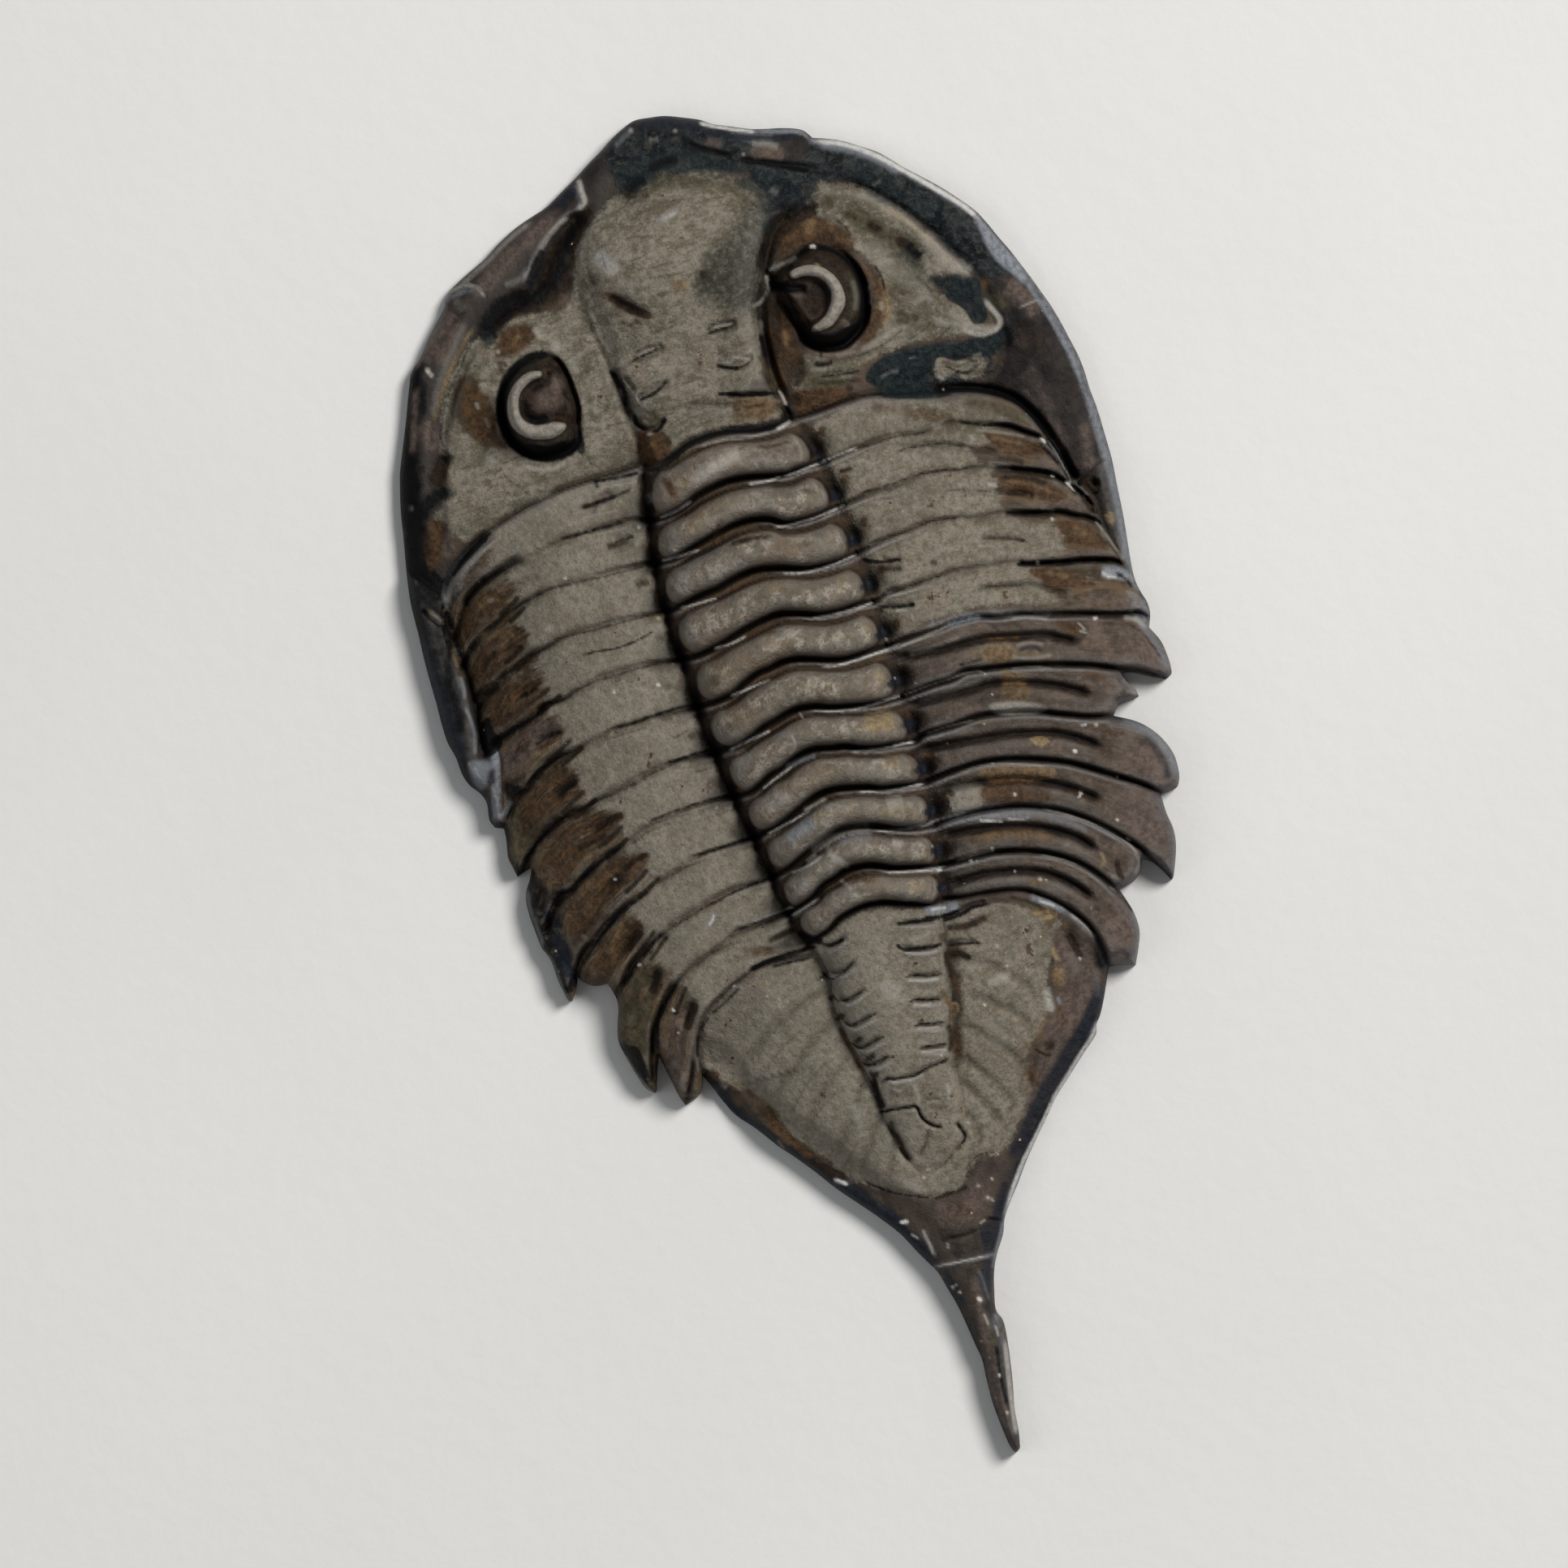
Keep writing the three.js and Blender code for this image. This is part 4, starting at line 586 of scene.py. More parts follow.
# front of the head
mark("teal", 10, .70, (776,196), (795,204), (812,202), (830,197))
mark("ink", 7, .70, (800,210), (818,200), (836,198))
mark("ink", 8, .65, (796,222), (782,228), (775,238))
mark("sepia", 6, .45, (770,240), (785,245), (800,240))
mark("ink", 5, .70, (838,168), (850,176), (866,184), (884,188), (902,192))
mark("ink", 4, .55, (818,170), (832,166))
mark("navy", 6, .70, (786,160), (800,154), (828,151), (850,156))
mark("blue", 5, .45, (758,182), (768,170), (780,160))
mark("chalk", 3.5, .70, (777,161))
mark("chalk", 3.5, .45, (832,162))
mark("chalk", 5, .28, (800,174), (812,172))
mark("white", 2.8, .75, (862,152), (880,156), (905,160), (930,163))
mark("blue", 3, .6, (935,163), (960,162), (985,163), (997,171))
mark("navy", 4, .85, (872,164), (900,168), (930,171), (955,172), (980,168))
mark("chalk", 6, .40, (925,178), (945,178), (960,182))
mark("chalk", 3, .55, (916,191))
mark("rose", 8, .70, (925,190), (950,190), (966,192))
mark("ochre", 6, .35, (935,192), (955,190))
mark("rose", 9, .40, (870,175), (890,180))
mark("ink", 3.5, .90, (910,197), (935,200), (955,202), (975,207), (998,212))
mark("teal", 14, .60, (950,222), (968,236), (958,256))
mark("ink", 9, .60, (962,248), (975,262), (990,256), (1010,250))
mark("teal", 9, .45, (860,206), (880,204), (905,206))
mark("teal", 6, .40, (820,215), (850,212))
mark("rose", 6, .35, (885,216), (905,218), (925,214))
mark("chalk", 8, .28, (950,232), (958,240))
mark("chalk", 3.2, .70, (816,272), (824,268), (833,263))
mark("chalk", 11, .80, (734,314), (748,326), (758,340))
mark("blue", 8, .40, (738,312), (750,326))
mark("chalk", 8, .35, (762,345), (775,352), (790,350))
mark("chalk", 7, .25, (850,330), (860,318), (872,305))
mark("ochre", 5, .45, (840,347), (842,360))
mark("ink", 5, .35, (722,336), (728,345))
mark("olive", 7, .55, (718,350), (728,352))
mark("sepia", 4.5, .45, (864,335), (868,345))
mark("sepia", 5, .60, (938,315), (936,330))
mark("sepia", 4, .5, (936,348), (938,362))
mark("chalk", 3, .55, (944,338), (946,355), (940,370), (926,380))
mark("chalk", 6, .28, (938,395), (936,415))
mark("chalk", 4, .30, (922,403), (915,410))
mark("ink", 3.8, .70, (937,412), (941,428), (944,442))
mark("olive", 6, .6, (945,455), (955,470), (950,482))
mark("sepia", 7, .75, (952,375), (957,400), (955,430), (948,452))
mark("rust", 8, .65, (966,400), (972,425), (975,445))
mark("ochre", 5, .45, (966,408), (970,428))
mark("sepia", 6, .55, (985,440), (990,460), (980,478))
mark("chalk", 3.5, .50, (764,446), (768,452))
mark("chalk", 8, .25, (840,430), (832,440))
mark("rust", 4, .45, (775,404), (768,398), (780,406))
mark("rose", 6, .30, (860,412), (850,440), (868,468))
# slits on the middle of the head
mark("sepia", 5.5, .90, (751,367), (768,376), (785,385), (803,391))
mark("rust", 4, .5, (745,362), (756,366), (766,372))
mark("navy", 4, .45, (782,396), (792,397))
for top, low in (([(872,402), (885,399), (904,396)], [(872,413), (884,407), (897,405), (906,400)]),
                 ([(782,436), (795,429), (807,427)], [(778,447), (788,441), (800,436), (812,430)])):
    mark("ink", 1.7, .48, *top)
    mark("ink", 2.0, .75, *low)
mark("chalk", 2.4, .50, (879,405), (892,402), (903,400))
mark("chalk", 2.4, .50, (785,440), (798,433), (808,430))
mark("ink", 2.6, .85, (882,451), (895,454), (911,455))
mark("ink", 2.0, .55, (911,455), (925,447))
mark("chalk", 2.8, .55, (886,446), (900,447), (906,442), (925,444))
mark("ink", 2.5, .80, (788,494), (802,488), (813,480), (821,471))
mark("ink", 1.6, .40, (784,487), (798,484), (810,476))
mark("ink", 3, .85, (781,512), (786,524), (797,530))
mark("ink", 2.6, .80, (803,535), (815,527), (821,515))
mark("olive", 7, .60, (800,512), (810,518), (802,526))
mark("chalk", 4, .40, (782,503), (789,514))
mark("chalk", 2.6, .50, (797,537), (807,533))
mark("ink", 4.2, .70, (751,456), (760,466), (768,479), (772,492), (770,502))
mark("chalk", 3.6, .35, (764,480), (767,490))
mark("sepia", 4, .45, (776,400), (790,398))
# hind ring of the head
field("rust", 4, .75, (787,536), (800,529), (822,536), (828,550), (818,566), (800,574), (788,560))
mark("ochre", 5, .45, (798,552), (806,546))
mark("ink", 4, .45, (788,545), (788,562))
mark("ink", 2.3, .92, (884,487), (900,486), (920,488), (945,486), (956,485))
field("ochre", 6, .50, (891,491), (905,495), (912,505), (907,515), (930,520), (955,513), (962,497), (940,490))
mark("rust", 5, .55, (903,500), (912,508))
mark("chalk", 8, .30, (850,512), (872,505), (895,508))
mark("chalk", 2.4, .75, (960,481), (965,491), (969,500))
mark("white", 2.6, .80, (957,530), (966,525), (974,520))
mark("ink", 4.2, .90, (792,580), (812,578), (831,566), (846,552), (865,543), (886,536), (912,532), (940,530), (962,524))
mark("chalk", 2, .50, (862,552), (890,544), (920,541), (948,533))
mark("olive", 6, .5, (832,572), (845,562), (858,556))
# right cheek
mark("white", 4, .78, (1003,174), (1040,178), (1075,190), (1110,208), (1150,231), (1186,253), (1206,270))
mark("blue", 6, .55, (1008,180), (1040,184), (1075,195), (1110,214))
field("blue", 5, .85, (1204,266), (1222,286), (1244,312), (1262,336), (1262,350), (1248,338), (1228,322), (1214,300))
mark("blue", 4, .5, (1262,345), (1280,372), (1300,402), (1318,435), (1332,470))
mark("teal", 9, .6, (1060,215), (1090,225), (1115,245))
mark("chalk", 5, .22, (1085,222), (1075,230))
mark("chalk", 11, .45, (1136,286), (1152,305), (1175,325), (1197,338))
mark("chalk", 9, .35, (1056,236), (1084,250), (1110,266), (1136,286))
mark("chalk", 16, .28, (1060,302), (1080,320), (1105,338), (1130,352), (1148,365))
mark("olive", 8, .50, (1046,250), (1060,262), (1072,268))
mark("olive", 7, .60, (1075,275), (1095,285), (1112,298))
mark("ink", 7, .62, (1118,303), (1128,311), (1134,318))
mark("teal", 7, .35, (1112,300), (1125,322), (1140,330))
mark("teal", 8, .45, (1144,342), (1156,348), (1168,354))
field("teal", 4, .92, (1166,352), (1176,340), (1190,342), (1206,345), (1208,365), (1216,385), (1214,396), (1200,400), (1192,386), (1180,375), (1168,368))
mark("chalk", 4, .72, (1213,370), (1221,380), (1232,394), (1228,405), (1208,412), (1186,406))
mark("chalk", 7, .35, (1168,384), (1186,396), (1200,404))
mark("ink", 3.5, .55, (1208,384), (1214,392))
mark("rust", 8, .60, (1208,346), (1216,354))
mark("ochre", 6, .35, (1210,348), (1216,356))
mark("olive", 8, .50, (1226,362), (1238,380))
mark("rose", 13, .60, (1240,350), (1262,365), (1275,390))
mark("chalk", 1.8, .50, (1255,380), (1268,374), (1281,369))
mark("ink", 8, .70, (1236,402), (1244,414), (1240,428))
mark("rose", 12, .30, (1268,450), (1290,500), (1312,560))
mark("rose", 8, .30, (1262,480), (1280,505))
# round the right eye
field("rust", 6, .70, (960,285), (975,272), (1000,268), (1012,280), (1040,288), (1052,303), (1044,314), (1020,302), (1000,298), (985,304), (966,315))
mark("ochre", 6, .65, (1000,272), (996,284), (1008,282))
mark("ochre", 6, .40, (1026,292), (1044,304))
mark("sepia", 9, .85, (946,296), (955,280), (972,284))
mark("ink", 7, .55, (941,300), (940,318))
mark("ink", 1.7, .55, (1028,271), (1040,279), (1050,291))
mark("chalk", 6, .30, (1010,234), (1022,232))
mark("rust", 6, .22, (1064,318), (1076,344), (1082,364))
mark("chalk", 4.5, .40, (1085,371), (1087,383))
mark("chalk", 5, .20, (1062,322), (1071,338), (1077,354))
mark("rose", 5, .35, (1090,358), (1102,366), (1110,374))
mark("ink", 8, .50, (974,263), (990,257), (1008,251))
mark("ink", 5, .30, (1012,262), (1020,267))
field("sand", 2.5, .85, (1080,368), (1092,368), (1094,385), (1082,387))
mark("sand", 4, .40, (1086,392), (1080,402), (1072,412))
mark("ochre", 7, .40, (1095,360), (1106,366))
mark("ink", 1.8, .55, (1077,327), (1086,342), (1090,358))
mark("olive", 6, .70, (1108,388), (1113,392))
mark("olive", 7, .60, (1126,388), (1130,396))
mark("rose", 4, .50, (1143,384), (1143,396))
mark("chalk", 5, .40, (1060,432), (1080,421), (1100,408), (1118,402))
mark("chalk", 6, .38, (1124,376), (1138,366), (1150,371))
mark("chalk", 5, .34, (1110,424), (1130,416), (1142,410))
mark("ink", 1.8, .45, (1062,437), (1085,427), (1106,412), (1112,402))
mark("ink", 1.8, .45, (1112,424), (1134,410), (1148,396))
mark("ink", 1.8, .35, (1098,402), (1118,386))
mark("ink", 1.8, .40, (1152,422), (1168,406), (1174,398))
mark("rust", 4, .40, (1060,428), (1074,422), (1088,412))
mark("ink", 4, .75, (1003,448), (1014,450), (1026,446))
mark("ink", 2.3, .62, (1010,465), (1035,462), (1060,458))
mark("ink", 2.6, .60, (1011,434), (1012,441))
mark("chalk", 4, .35, (998,456), (1020,456))
mark("chalk", 4.5, .35, (1030,440), (1055,434))
mark("olive", 7, .40, (990,450), (1002,462))
field("rust", 5, .62, (978,486), (1000,479), (1030,478), (1050,485), (1040,495), (1012,505), (985,510))
mark("sepia", 6, .70, (978,486), (984,500))
mark("sepia", 6, .50, (1042,476), (1050,482))
mark("sepia", 2.6, .80, (998,508), (1024,500), (1044,492), (1056,486))
field("teal", 4, .92, (1068,470), (1075,452), (1090,442), (1115,435), (1145,428), (1180,425), (1200,418), (1225,412), (1238,404), (1233,425), (1222,438),
     (1196,440), (1180,444), (1156,440), (1150,454), (1140,461), (1146,480), (1170,485), (1158,490), (1112,492), (1086,488), (1090,478))
mark("chalk", 4, .30, (1084,466), (1096,459), (1108,458))
mark("chalk", 2, .35, (1120,442), (1128,440))
mark("ink", 2.6, .60, (1166,452), (1188,460), (1206,450))
mark("ink", 4, .55, (1172,438), (1190,442), (1206,446))
mark("rose", 5, .45, (1160,446), (1176,448))
mark("chalk", 4, .42, (1153,462), (1163,468))
mark("chalk", 4, .42, (1184,462), (1192,468))
mark("chalk", 4, .30, (1198,440), (1210,436))
mark("white", 2, .7, (1162,480))
# right eye: the ink ring round it and the ink field under it are painted shade in its moat
mark("ink", 3.8, .95, (980,320), (990,311), (1003,306), (1018,307), (1034,313), (1049,325), (1060,342), (1066,362), (1067,382), (1062,402), (1050,418), (1032,428), (1012,430), (996,420), (986,404))
field("ink", 3, .98, (1000,414), (1020,412), (1040,405), (1058,400), (1052,418), (1036,430), (1012,431), (996,422), (986,406))
mark("chalk", 5, .30, (1050,345), (1055,365), (1054,385))
mark("olive", 6, .35, (1044,334), (1051,352), (1053,372), (1048,388))
mark("sepia", 6, .85, (1000,318), (1020,320), (1040,332))
mark("rose", 5, .60, (1036,396), (1046,404))
mark("sepia", 8, .60, (990,375), (1005,372), (1005,390))
mark("rose", 6, .40, (975,362), (990,366))
mark("ink", 5, .95, (947,348), (960,354), (975,357), (992,354))
mark("chalk", 4, .40, (951,334), (962,327), (974,322), (982,317))
mark("ink", 3, .75, (968,334), (978,328))
mark("white", 2.6, .85, (998,305), (1004,304))
mark("white", 1.8, .70, (1069,352), (1072,364), (1072,376))
mark("sand", 2.4, .5, (1004,325), (1010,330))
# rings, left to right ends
mark("chalk", 11, .55, (852,598), (872,584), (896,568), (914,562))
mark("rose", 9, .50, (930,566), (955,560), (985,556))
mark("rust", 4, .45, (930,552), (950,552), (975,545))
mark("chalk", 10, .32, (800,608), (805,620))
mark("rust", 6, .60, (818,590), (826,602), (832,612))
mark("chalk", 9, .28, (870,646), (900,630), (925,618))
mark("rose", 8, .35, (818,662), (830,672))
mark("rose", 8, .35, (945,680), (975,675), (1000,668))
mark("olive", 8, .35, (990,605), (1010,612))
mark("sand", 9, .30, (1030,720), (1045,716))
mark("sand", 10, .35, (1062,775), (1072,772))
mark("sand", 10, .35, (1075,835), (1088,832))
mark("sand", 13, .62, (1078,888), (1095,886))
mark("sand", 11, .40, (1085,942), (1108,938))
mark("chalk", 4, .55, (1074,940), (1086,938), (1088,942))
mark("chalk", 10, .48, (1092,992), (1112,984))
mark("sand", 9, .30, (1080,1000), (1120,1000))
mark("chalk", 6.5, .62, (1098,1038), (1112,1040))
mark("rose", 8, .40, (1125,1045), (1080,1035))
mark("sand", 10, .36, (1118,1092), (1134,1088))
mark("ochre", 2, .3, (1122,1086), (1130,1084), (1134,1092), (1126,1096))
mark("olive", 10, .38, (872,835), (885,845))
mark("olive", 10, .30, (895,892), (905,900))
mark("chalk", 11, .35, (905,945), (918,936), (925,930))
mark("chalk", 11, .38, (945,998), (960,988), (972,978))
mark("blue", 10, .62, (970,1034), (985,1024), (1002,1010))
mark("sand", 5, .5, (1004,1010), (1014,1002))
mark("blue", 8, .42, (1030,1036), (1048,1032), (1075,1030))
mark("chalk", 4.5, .60, (1019,1040), (1024,1052), (1036,1062), (1046,1068))
mark("chalk", 6, .35, (1005,1078), (990,1092), (978,1105))
mark("rust", 7, .45, (1042,1090), (1060,1082), (1080,1082))
mark("chalk", 2, .55, (975,905), (980,920), (972,930))
mark("chalk", 2, .40, (935,925), (945,935))
mark("chalk", 2, .5, (985,878), (990,886))
mark("rust", 5, .40, (875,640), (892,632), (880,668), (900,660))
mark("sepia", 4, .50, (900,672), (925,665), (950,662))
mark("rust", 4, .50, (900,728), (918,722), (940,716))
mark("rust", 4, .40, (918,790), (935,782), (955,778))
# painted highlights on the edges just behind the lines on the rings
for p in ([(813,639), (834,630), (853,618)], [(922,598), (946,594), (962,588)], [(966,588), (985,582), (1004,574), (1030,562), (1056,552)],
          [(815,692), (838,686), (862,678)], [(952,652), (975,647), (1000,640), (1024,631), (1042,622)],
          [(838,750), (862,744), (884,738)], [(962,708), (985,707), (1010,702), (1036,693), (1056,684)],
          [(880,800), (905,792), (920,784)], [(1000,762), (1025,758), (1050,752), (1076,743)],
          [(900,858), (930,846), (950,838)], [(1012,822), (1035,820), (1065,810), (1090,802), (1110,793)],
          [(898,925), (920,914), (950,900)], [(1000,876), (1030,876), (1062,872), (1090,863), (1112,856)],
          [(940,972), (960,956), (976,944)], [(1050,926), (1082,923), (1110,917), (1128,914)],
          [(945,1028), (975,1012), (1000,998)], [(1058,976), (1090,974), (1118,970), (1138,966)],
          [(975,1076), (1000,1064), (1012,1054)], [(1080,1024), (1110,1022), (1140,1016), (1166,1007), (1192,1000)],
          [(975,1128), (995,1116), (1010,1106)], [(1090,1075), (1120,1073), (1148,1071), (1165,1066)]):
    mark("white", 2.1, .62, *p)
mark("blue", 4.5, .5, (968,946), (985,938), (1006,930))
mark("chalk", 3.5, .55, (1018,984), (1005,992), (990,998))
mark("chalk", 3.5, .55, (994,1062), (1006,1052))
mark("chalk", 3.5, .45, (1035,1084), (1044,1090), (1050,1096))
# dark hollows beside the rings on the right
for x, y, r in ((1008,532,12), (1036,590,9), (1060,642,9), (1080,700,10), (1100,768,9), (1118,880,8), (1140,930,8)):
    mark("rust", r, .55, (x, y), (x + 8, y + 3))
for x, y, r in ((1010,568,9), (1030,612,10), (1050,668,11), (1069,722,12), (1086,782,11), (1100,842,11), (1118,892,11), (1132,948,12), (1143,1000,9), (1152,1048,9), (1158,1094,7)):
    mark("navy", r, .72, (x, y - 4), (x + 3, y + 3))
mark("ochre", 3, .55, (1069,645), (1070,654))
mark("ink", 2.6, .88, (1062,690), (1085,693), (1110,690))
mark("sepia", 6, .50, (1084,702), (1112,702))
mark("ink", 2.6, .85, (1085,748), (1108,748), (1128,745))
mark("chalk", 2.6, .62, (1103,753), (1117,752))
mark("sepia", 5, .45, (1146,692), (1154,694))
mark("sepia", 3.5, .60, (1034,582), (1042,580), (1050,578))
mark("chalk", 3.5, .35, (1062,568), (1072,571))
# right side fields
for p in ([(1048,556), (1080,546), (1110,538), (1145,533)], [(1058,609), (1100,597), (1130,586), (1165,580), (1200,578)],
          [(1060,680), (1090,666), (1120,654), (1150,642), (1185,638)], [(1084,736), (1110,727), (1140,716), (1170,705)]):
    mark("ink", 2.2, .55, *p)
mark("ink", 2.0, .50, (1104,558), (1130,551), (1160,548), (1190,551), (1205,556))
mark("ink", 2.2, .45, (1196,551), (1200,560))
mark("ink", 2.0, .42, (1160,606), (1190,604), (1220,607), (1236,610))
mark("sepia", 2.4, .45, (1210,664), (1240,664), (1264,667))
mark("sepia", 2.4, .45, (1210,724), (1240,722), (1262,721))
mark("chalk", 2.2, .42, (1070,674), (1100,664), (1116,660))
mark("chalk", 2.2, .42, (1096,736), (1130,727), (1150,722))
mark("chalk", 5, .22, (1105,668), (1125,672))
mark("chalk", 6, .35, (1148,527), (1160,526))
mark("chalk", 2, .30, (1163,525), (1166,545))
mark("ochre", 3, .45, (1181,588), (1184,594))
mark("white", 2, .4, (1112,631))
# right ends behind the head
mark("olive", 9, .55, (1188,494), (1214,500), (1240,508), (1262,522))
field("rust", 4, .85, (1212,534), (1238,537), (1265,544), (1284,552), (1278,561), (1250,560), (1230,552))
mark("rust", 4, .5, (1228,545), (1240,552), (1254,558))
mark("chalk", 3, .35, (1200,530), (1222,533), (1250,536), (1264,540))
field("rust", 4, .85, (1228,588), (1260,590), (1290,596), (1314,612), (1292,618), (1260,605))
mark("sepia", 3.5, .80, (1240,608), (1264,609))
mark("sepia", 4, .55, (1235,588), (1265,590), (1290,596))
field("rust", 4, .72, (1304,644), (1330,644), (1350,655), (1368,674), (1345,675), (1315,670), (1308,660))
mark("ochre", 6, .45, (1318,655), (1335,660))
field("rust", 4, .80, (1268,703), (1300,703), (1330,712), (1348,722), (1310,724), (1285,717))
mark("rust", 3, .8, (1268,704), (1278,705))
mark("ink", 3.4, .95, (1150,485), (1180,481), (1215,483), (1245,492), (1268,508), (1284,528), (1293,542))
mark("ink", 3.0, .92, (1290,540), (1304,558), (1317,578), (1325,592))
mark("ink", 2.8, .70, (1280,546), (1294,561), (1305,573))
mark("chalk", 1.6, .40, (1296,552), (1306,568), (1312,580))
mark("ink", 2.0, .80, (1180,521), (1210,524), (1240,526), (1262,532), (1282,540))
mark("ink", 2.2, .82, (1226,576), (1260,578), (1290,581), (1306,590))
mark("ink", 2.2, .75, (1238,633), (1270,633), (1292,629))
mark("sepia", 2.0, .50, (1308,633), (1330,637), (1346,641))
mark("ink", 2.6, .90, (1252,696), (1285,694))
mark("ink", 2.0, .85, (1280,694), (1330,691), (1364,689))
mark("white", 1.9, .95, (1283,541), (1288,546))
mark("white", 1.7, .95, (1294,586), (1299,587))
mark("white", 2.0, .85, (1312,593), (1319,600), (1325,605))
mark("white", 1.5, .34, (1289,541), (1301,558), (1313,580), (1320,594))
mark("sepia", 9, .80, (1338,595), (1347,599))
mark("ink", 3, .60, (1352,589), (1355,596))
mark("sand", 6, .62, (1366,632), (1370,645))
mark("rose", 7, .50, (1286,566), (1300,574))
mark("rose", 7, .55, (1296,620), (1320,624), (1338,630))
mark("rose", 6, .50, (1300,684), (1330,682), (1352,682))
mark("rose", 9, .45, (1330,740), (1370,738), (1396,742))
mark("chalk", 9, .20, (1352,560), (1362,600), (1370,640), (1380,680))
mark("white", 5, .40, (1356,706), (1370,712))
mark("white", 2.2, .90, (1278,693))
mark("chalk", 3.5, .60, (1216,597), (1228,599))
mark("chalk", 4, .42, (1216,572), (1236,574), (1246,577))
mark("chalk", 5, .35, (1200,540), (1188,556))
mark("chalk", 2.6, .48, (1348,640), (1360,656), (1374,675), (1386,692))
mark("sand", 2.2, .5, (1312,652), (1310,662))
mark("chalk", 5, .30, (1300,672), (1312,678))
mark("ochre", 7, .35, (1364,632), (1370,648))
field("sepia", 3, .9, (1334,590), (1350,588), (1356,596), (1348,606), (1340,602))
mark("rust", 3, .55, (1340,596), (1346,596))
mark("sepia", 4, .6, (1340,610), (1346,625), (1352,634))
field("blue", 5, .80, (1358,700), (1376,698), (1392,706), (1394,716), (1374,714), (1362,712))
mark("white", 2.6, .55, (1362,710), (1376,712))
mark("ink", 3.2, .60, (1374,706), (1384,712), (1396,724))
mark("blue", 6, .45, (1338,480), (1349,515), (1360,555), (1368,590), (1377,630), (1386,670), (1392,700))
# ribs on the right
mark("blue", 5.5, .70, (1166,771), (1185,765), (1208,760))
mark("chalk", 2.4, .60, (1095,803), (1122,792), (1150,780), (1172,770))
mark("chalk", 3, .40, (1244,763), (1270,761), (1292,764))
mark("chalk", 2, .50, (1112,857), (1140,846), (1170,836), (1200,827), (1214,830))
mark("chalk", 2, .40, (1140,904), (1170,894), (1200,888))
mark("chalk", 2, .45, (1180,953), (1204,945), (1230,941), (1256,942), (1290,944))
mark("chalk", 2, .40, (1245,824), (1270,822), (1296,824))
field("chalk", 5, .58, (1218,869), (1248,864), (1276,867), (1290,874), (1268,881), (1232,881))
field("ochre", 2, .72, (1214,800), (1244,799), (1246,815), (1218,816))
field("ochre", 3, .66, (1235,828), (1250,829), (1262,838), (1267,860), (1240,861))
field("sand", 2, .35, (1238,832), (1256,836), (1258,842), (1240,842))
field("ochre", 2, .72, (1213,947), (1291,947), (1289,960), (1215,960))
field("rust", 3, .45, (1211,968), (1255,967), (1290,975), (1284,990), (1218,990))
field("sand", 1.8, .95, (1268,910), (1284,908), (1293,914), (1280,919), (1272,914))
mark("rust", 2.6, .80, (1215,787), (1240,788), (1256,785))
mark("rust", 2.4, .75, (1214,963), (1245,963), (1282,962))
mark("rust", 5, .55, (1300,768), (1320,774), (1330,778))
mark("rust", 5, .45, (1335,830), (1350,834), (1362,838))
mark("rust", 5, .40, (1360,900), (1375,905), (1385,902))
mark("chalk", 4.5, .38, (1118,806), (1150,797), (1184,785))
mark("chalk", 4.5, .36, (1130,863), (1160,854), (1196,843), (1212,838))
mark("chalk", 4.5, .25, (1140,912), (1170,905), (1200,897))
mark("chalk", 3.5, .40, (1246,810), (1270,812), (1296,807))
mark("chalk", 3.5, .36, (1250,796), (1268,792), (1286,795))
mark("navy", 3, .5, (1254,802), (1272,797), (1284,803))
mark("ink", 2.4, .5, (1180,820), (1200,815), (1212,812))
mark("rose", 7, .40, (1140,830), (1170,822), (1200,812))
mark("rose", 7, .40, (1150,940), (1190,932), (1230,926))
mark("rose", 7, .35, (1160,884), (1190,876), (1210,872))
mark("rose", 14, .50, (1380,795), (1405,805), (1420,815))
mark("rose", 14, .55, (1390,920), (1410,935), (1425,950))
mark("rose", 12, .50, (1385,1000), (1400,1020), (1420,1040))
mark("rose", 9, .50, (1375,1100), (1385,1130), (1392,1160))
mark("chalk", 2, .50, (1327,767), (1336,776), (1330,778), (1340,780))
mark("white", 2.2, .8, (1347,763), (1352,761))
mark("white", 2.0, .7, (1330,894), (1338,893))
mark("white", 2.2, .8, (1322,925), (1326,926))
mark("white", 1.8, .8, (1250,979))
mark("white", 1.8, .7, (1332,977), (1328,983))
mark("white", 1.8, .6, (1376,957))
mark("white", 1.6, .6, (1166,916))
mark("white", 1.8, .6, (1222,856))
mark("white", 1.8, .7, (1102,836))
mark("white", 1.8, .6, (1128,842))
mark("white", 2.0, .6, (1092,788))
mark("white", 1.8, .6, (1213,831))
mark("white", 1.8, .6, (1212,892))
mark("white", 1.8, .7, (1223,941))
mark("white", 2.4, .95, (1154,1072), (1160,1070))
mark("white", 2.2, .85, (1222,1046))
mark("white", 1.8, .6, (1148,1042))
mark("white", 1.8, .6, (1203,1061))
mark("white", 1.8, .8, (1250,1073))
mark("white", 1.8, .6, (1288,1084))
mark("white", 1.8, .6, (1344,1119))
mark("white", 1.8, .7, (1387,1032), (1392,1036))
mark("blue", 7, .55, (1380,887), (1402,894), (1426,911), (1441,932), (1450,956))
mark("blue", 6, .40, (1404,768), (1420,788), (1432,808), (1440,826))
mark("chalk", 4, .55, (1384,761), (1400,764), (1411,774))
mark("ink", 2.2, .45, (1384,766), (1405,778), (1420,796), (1430,812))
mark("navy", 7, .40, (1412,905), (1425,925), (1436,940), (1440,960))
mark("chalk", 7, .50, (1384,834), (1394,844), (1400,856))
mark("olive", 4, .5, (1386,850), (1380,856))
mark("blue", 5, .40, (1436,985), (1446,1015), (1449,1045), (1445,1075))
mark("blue", 5, .42, (1396,1120), (1404,1146), (1402,1170), (1398,1188))
mark("navy", 7, .45, (1368,1178), (1382,1172), (1392,1180))
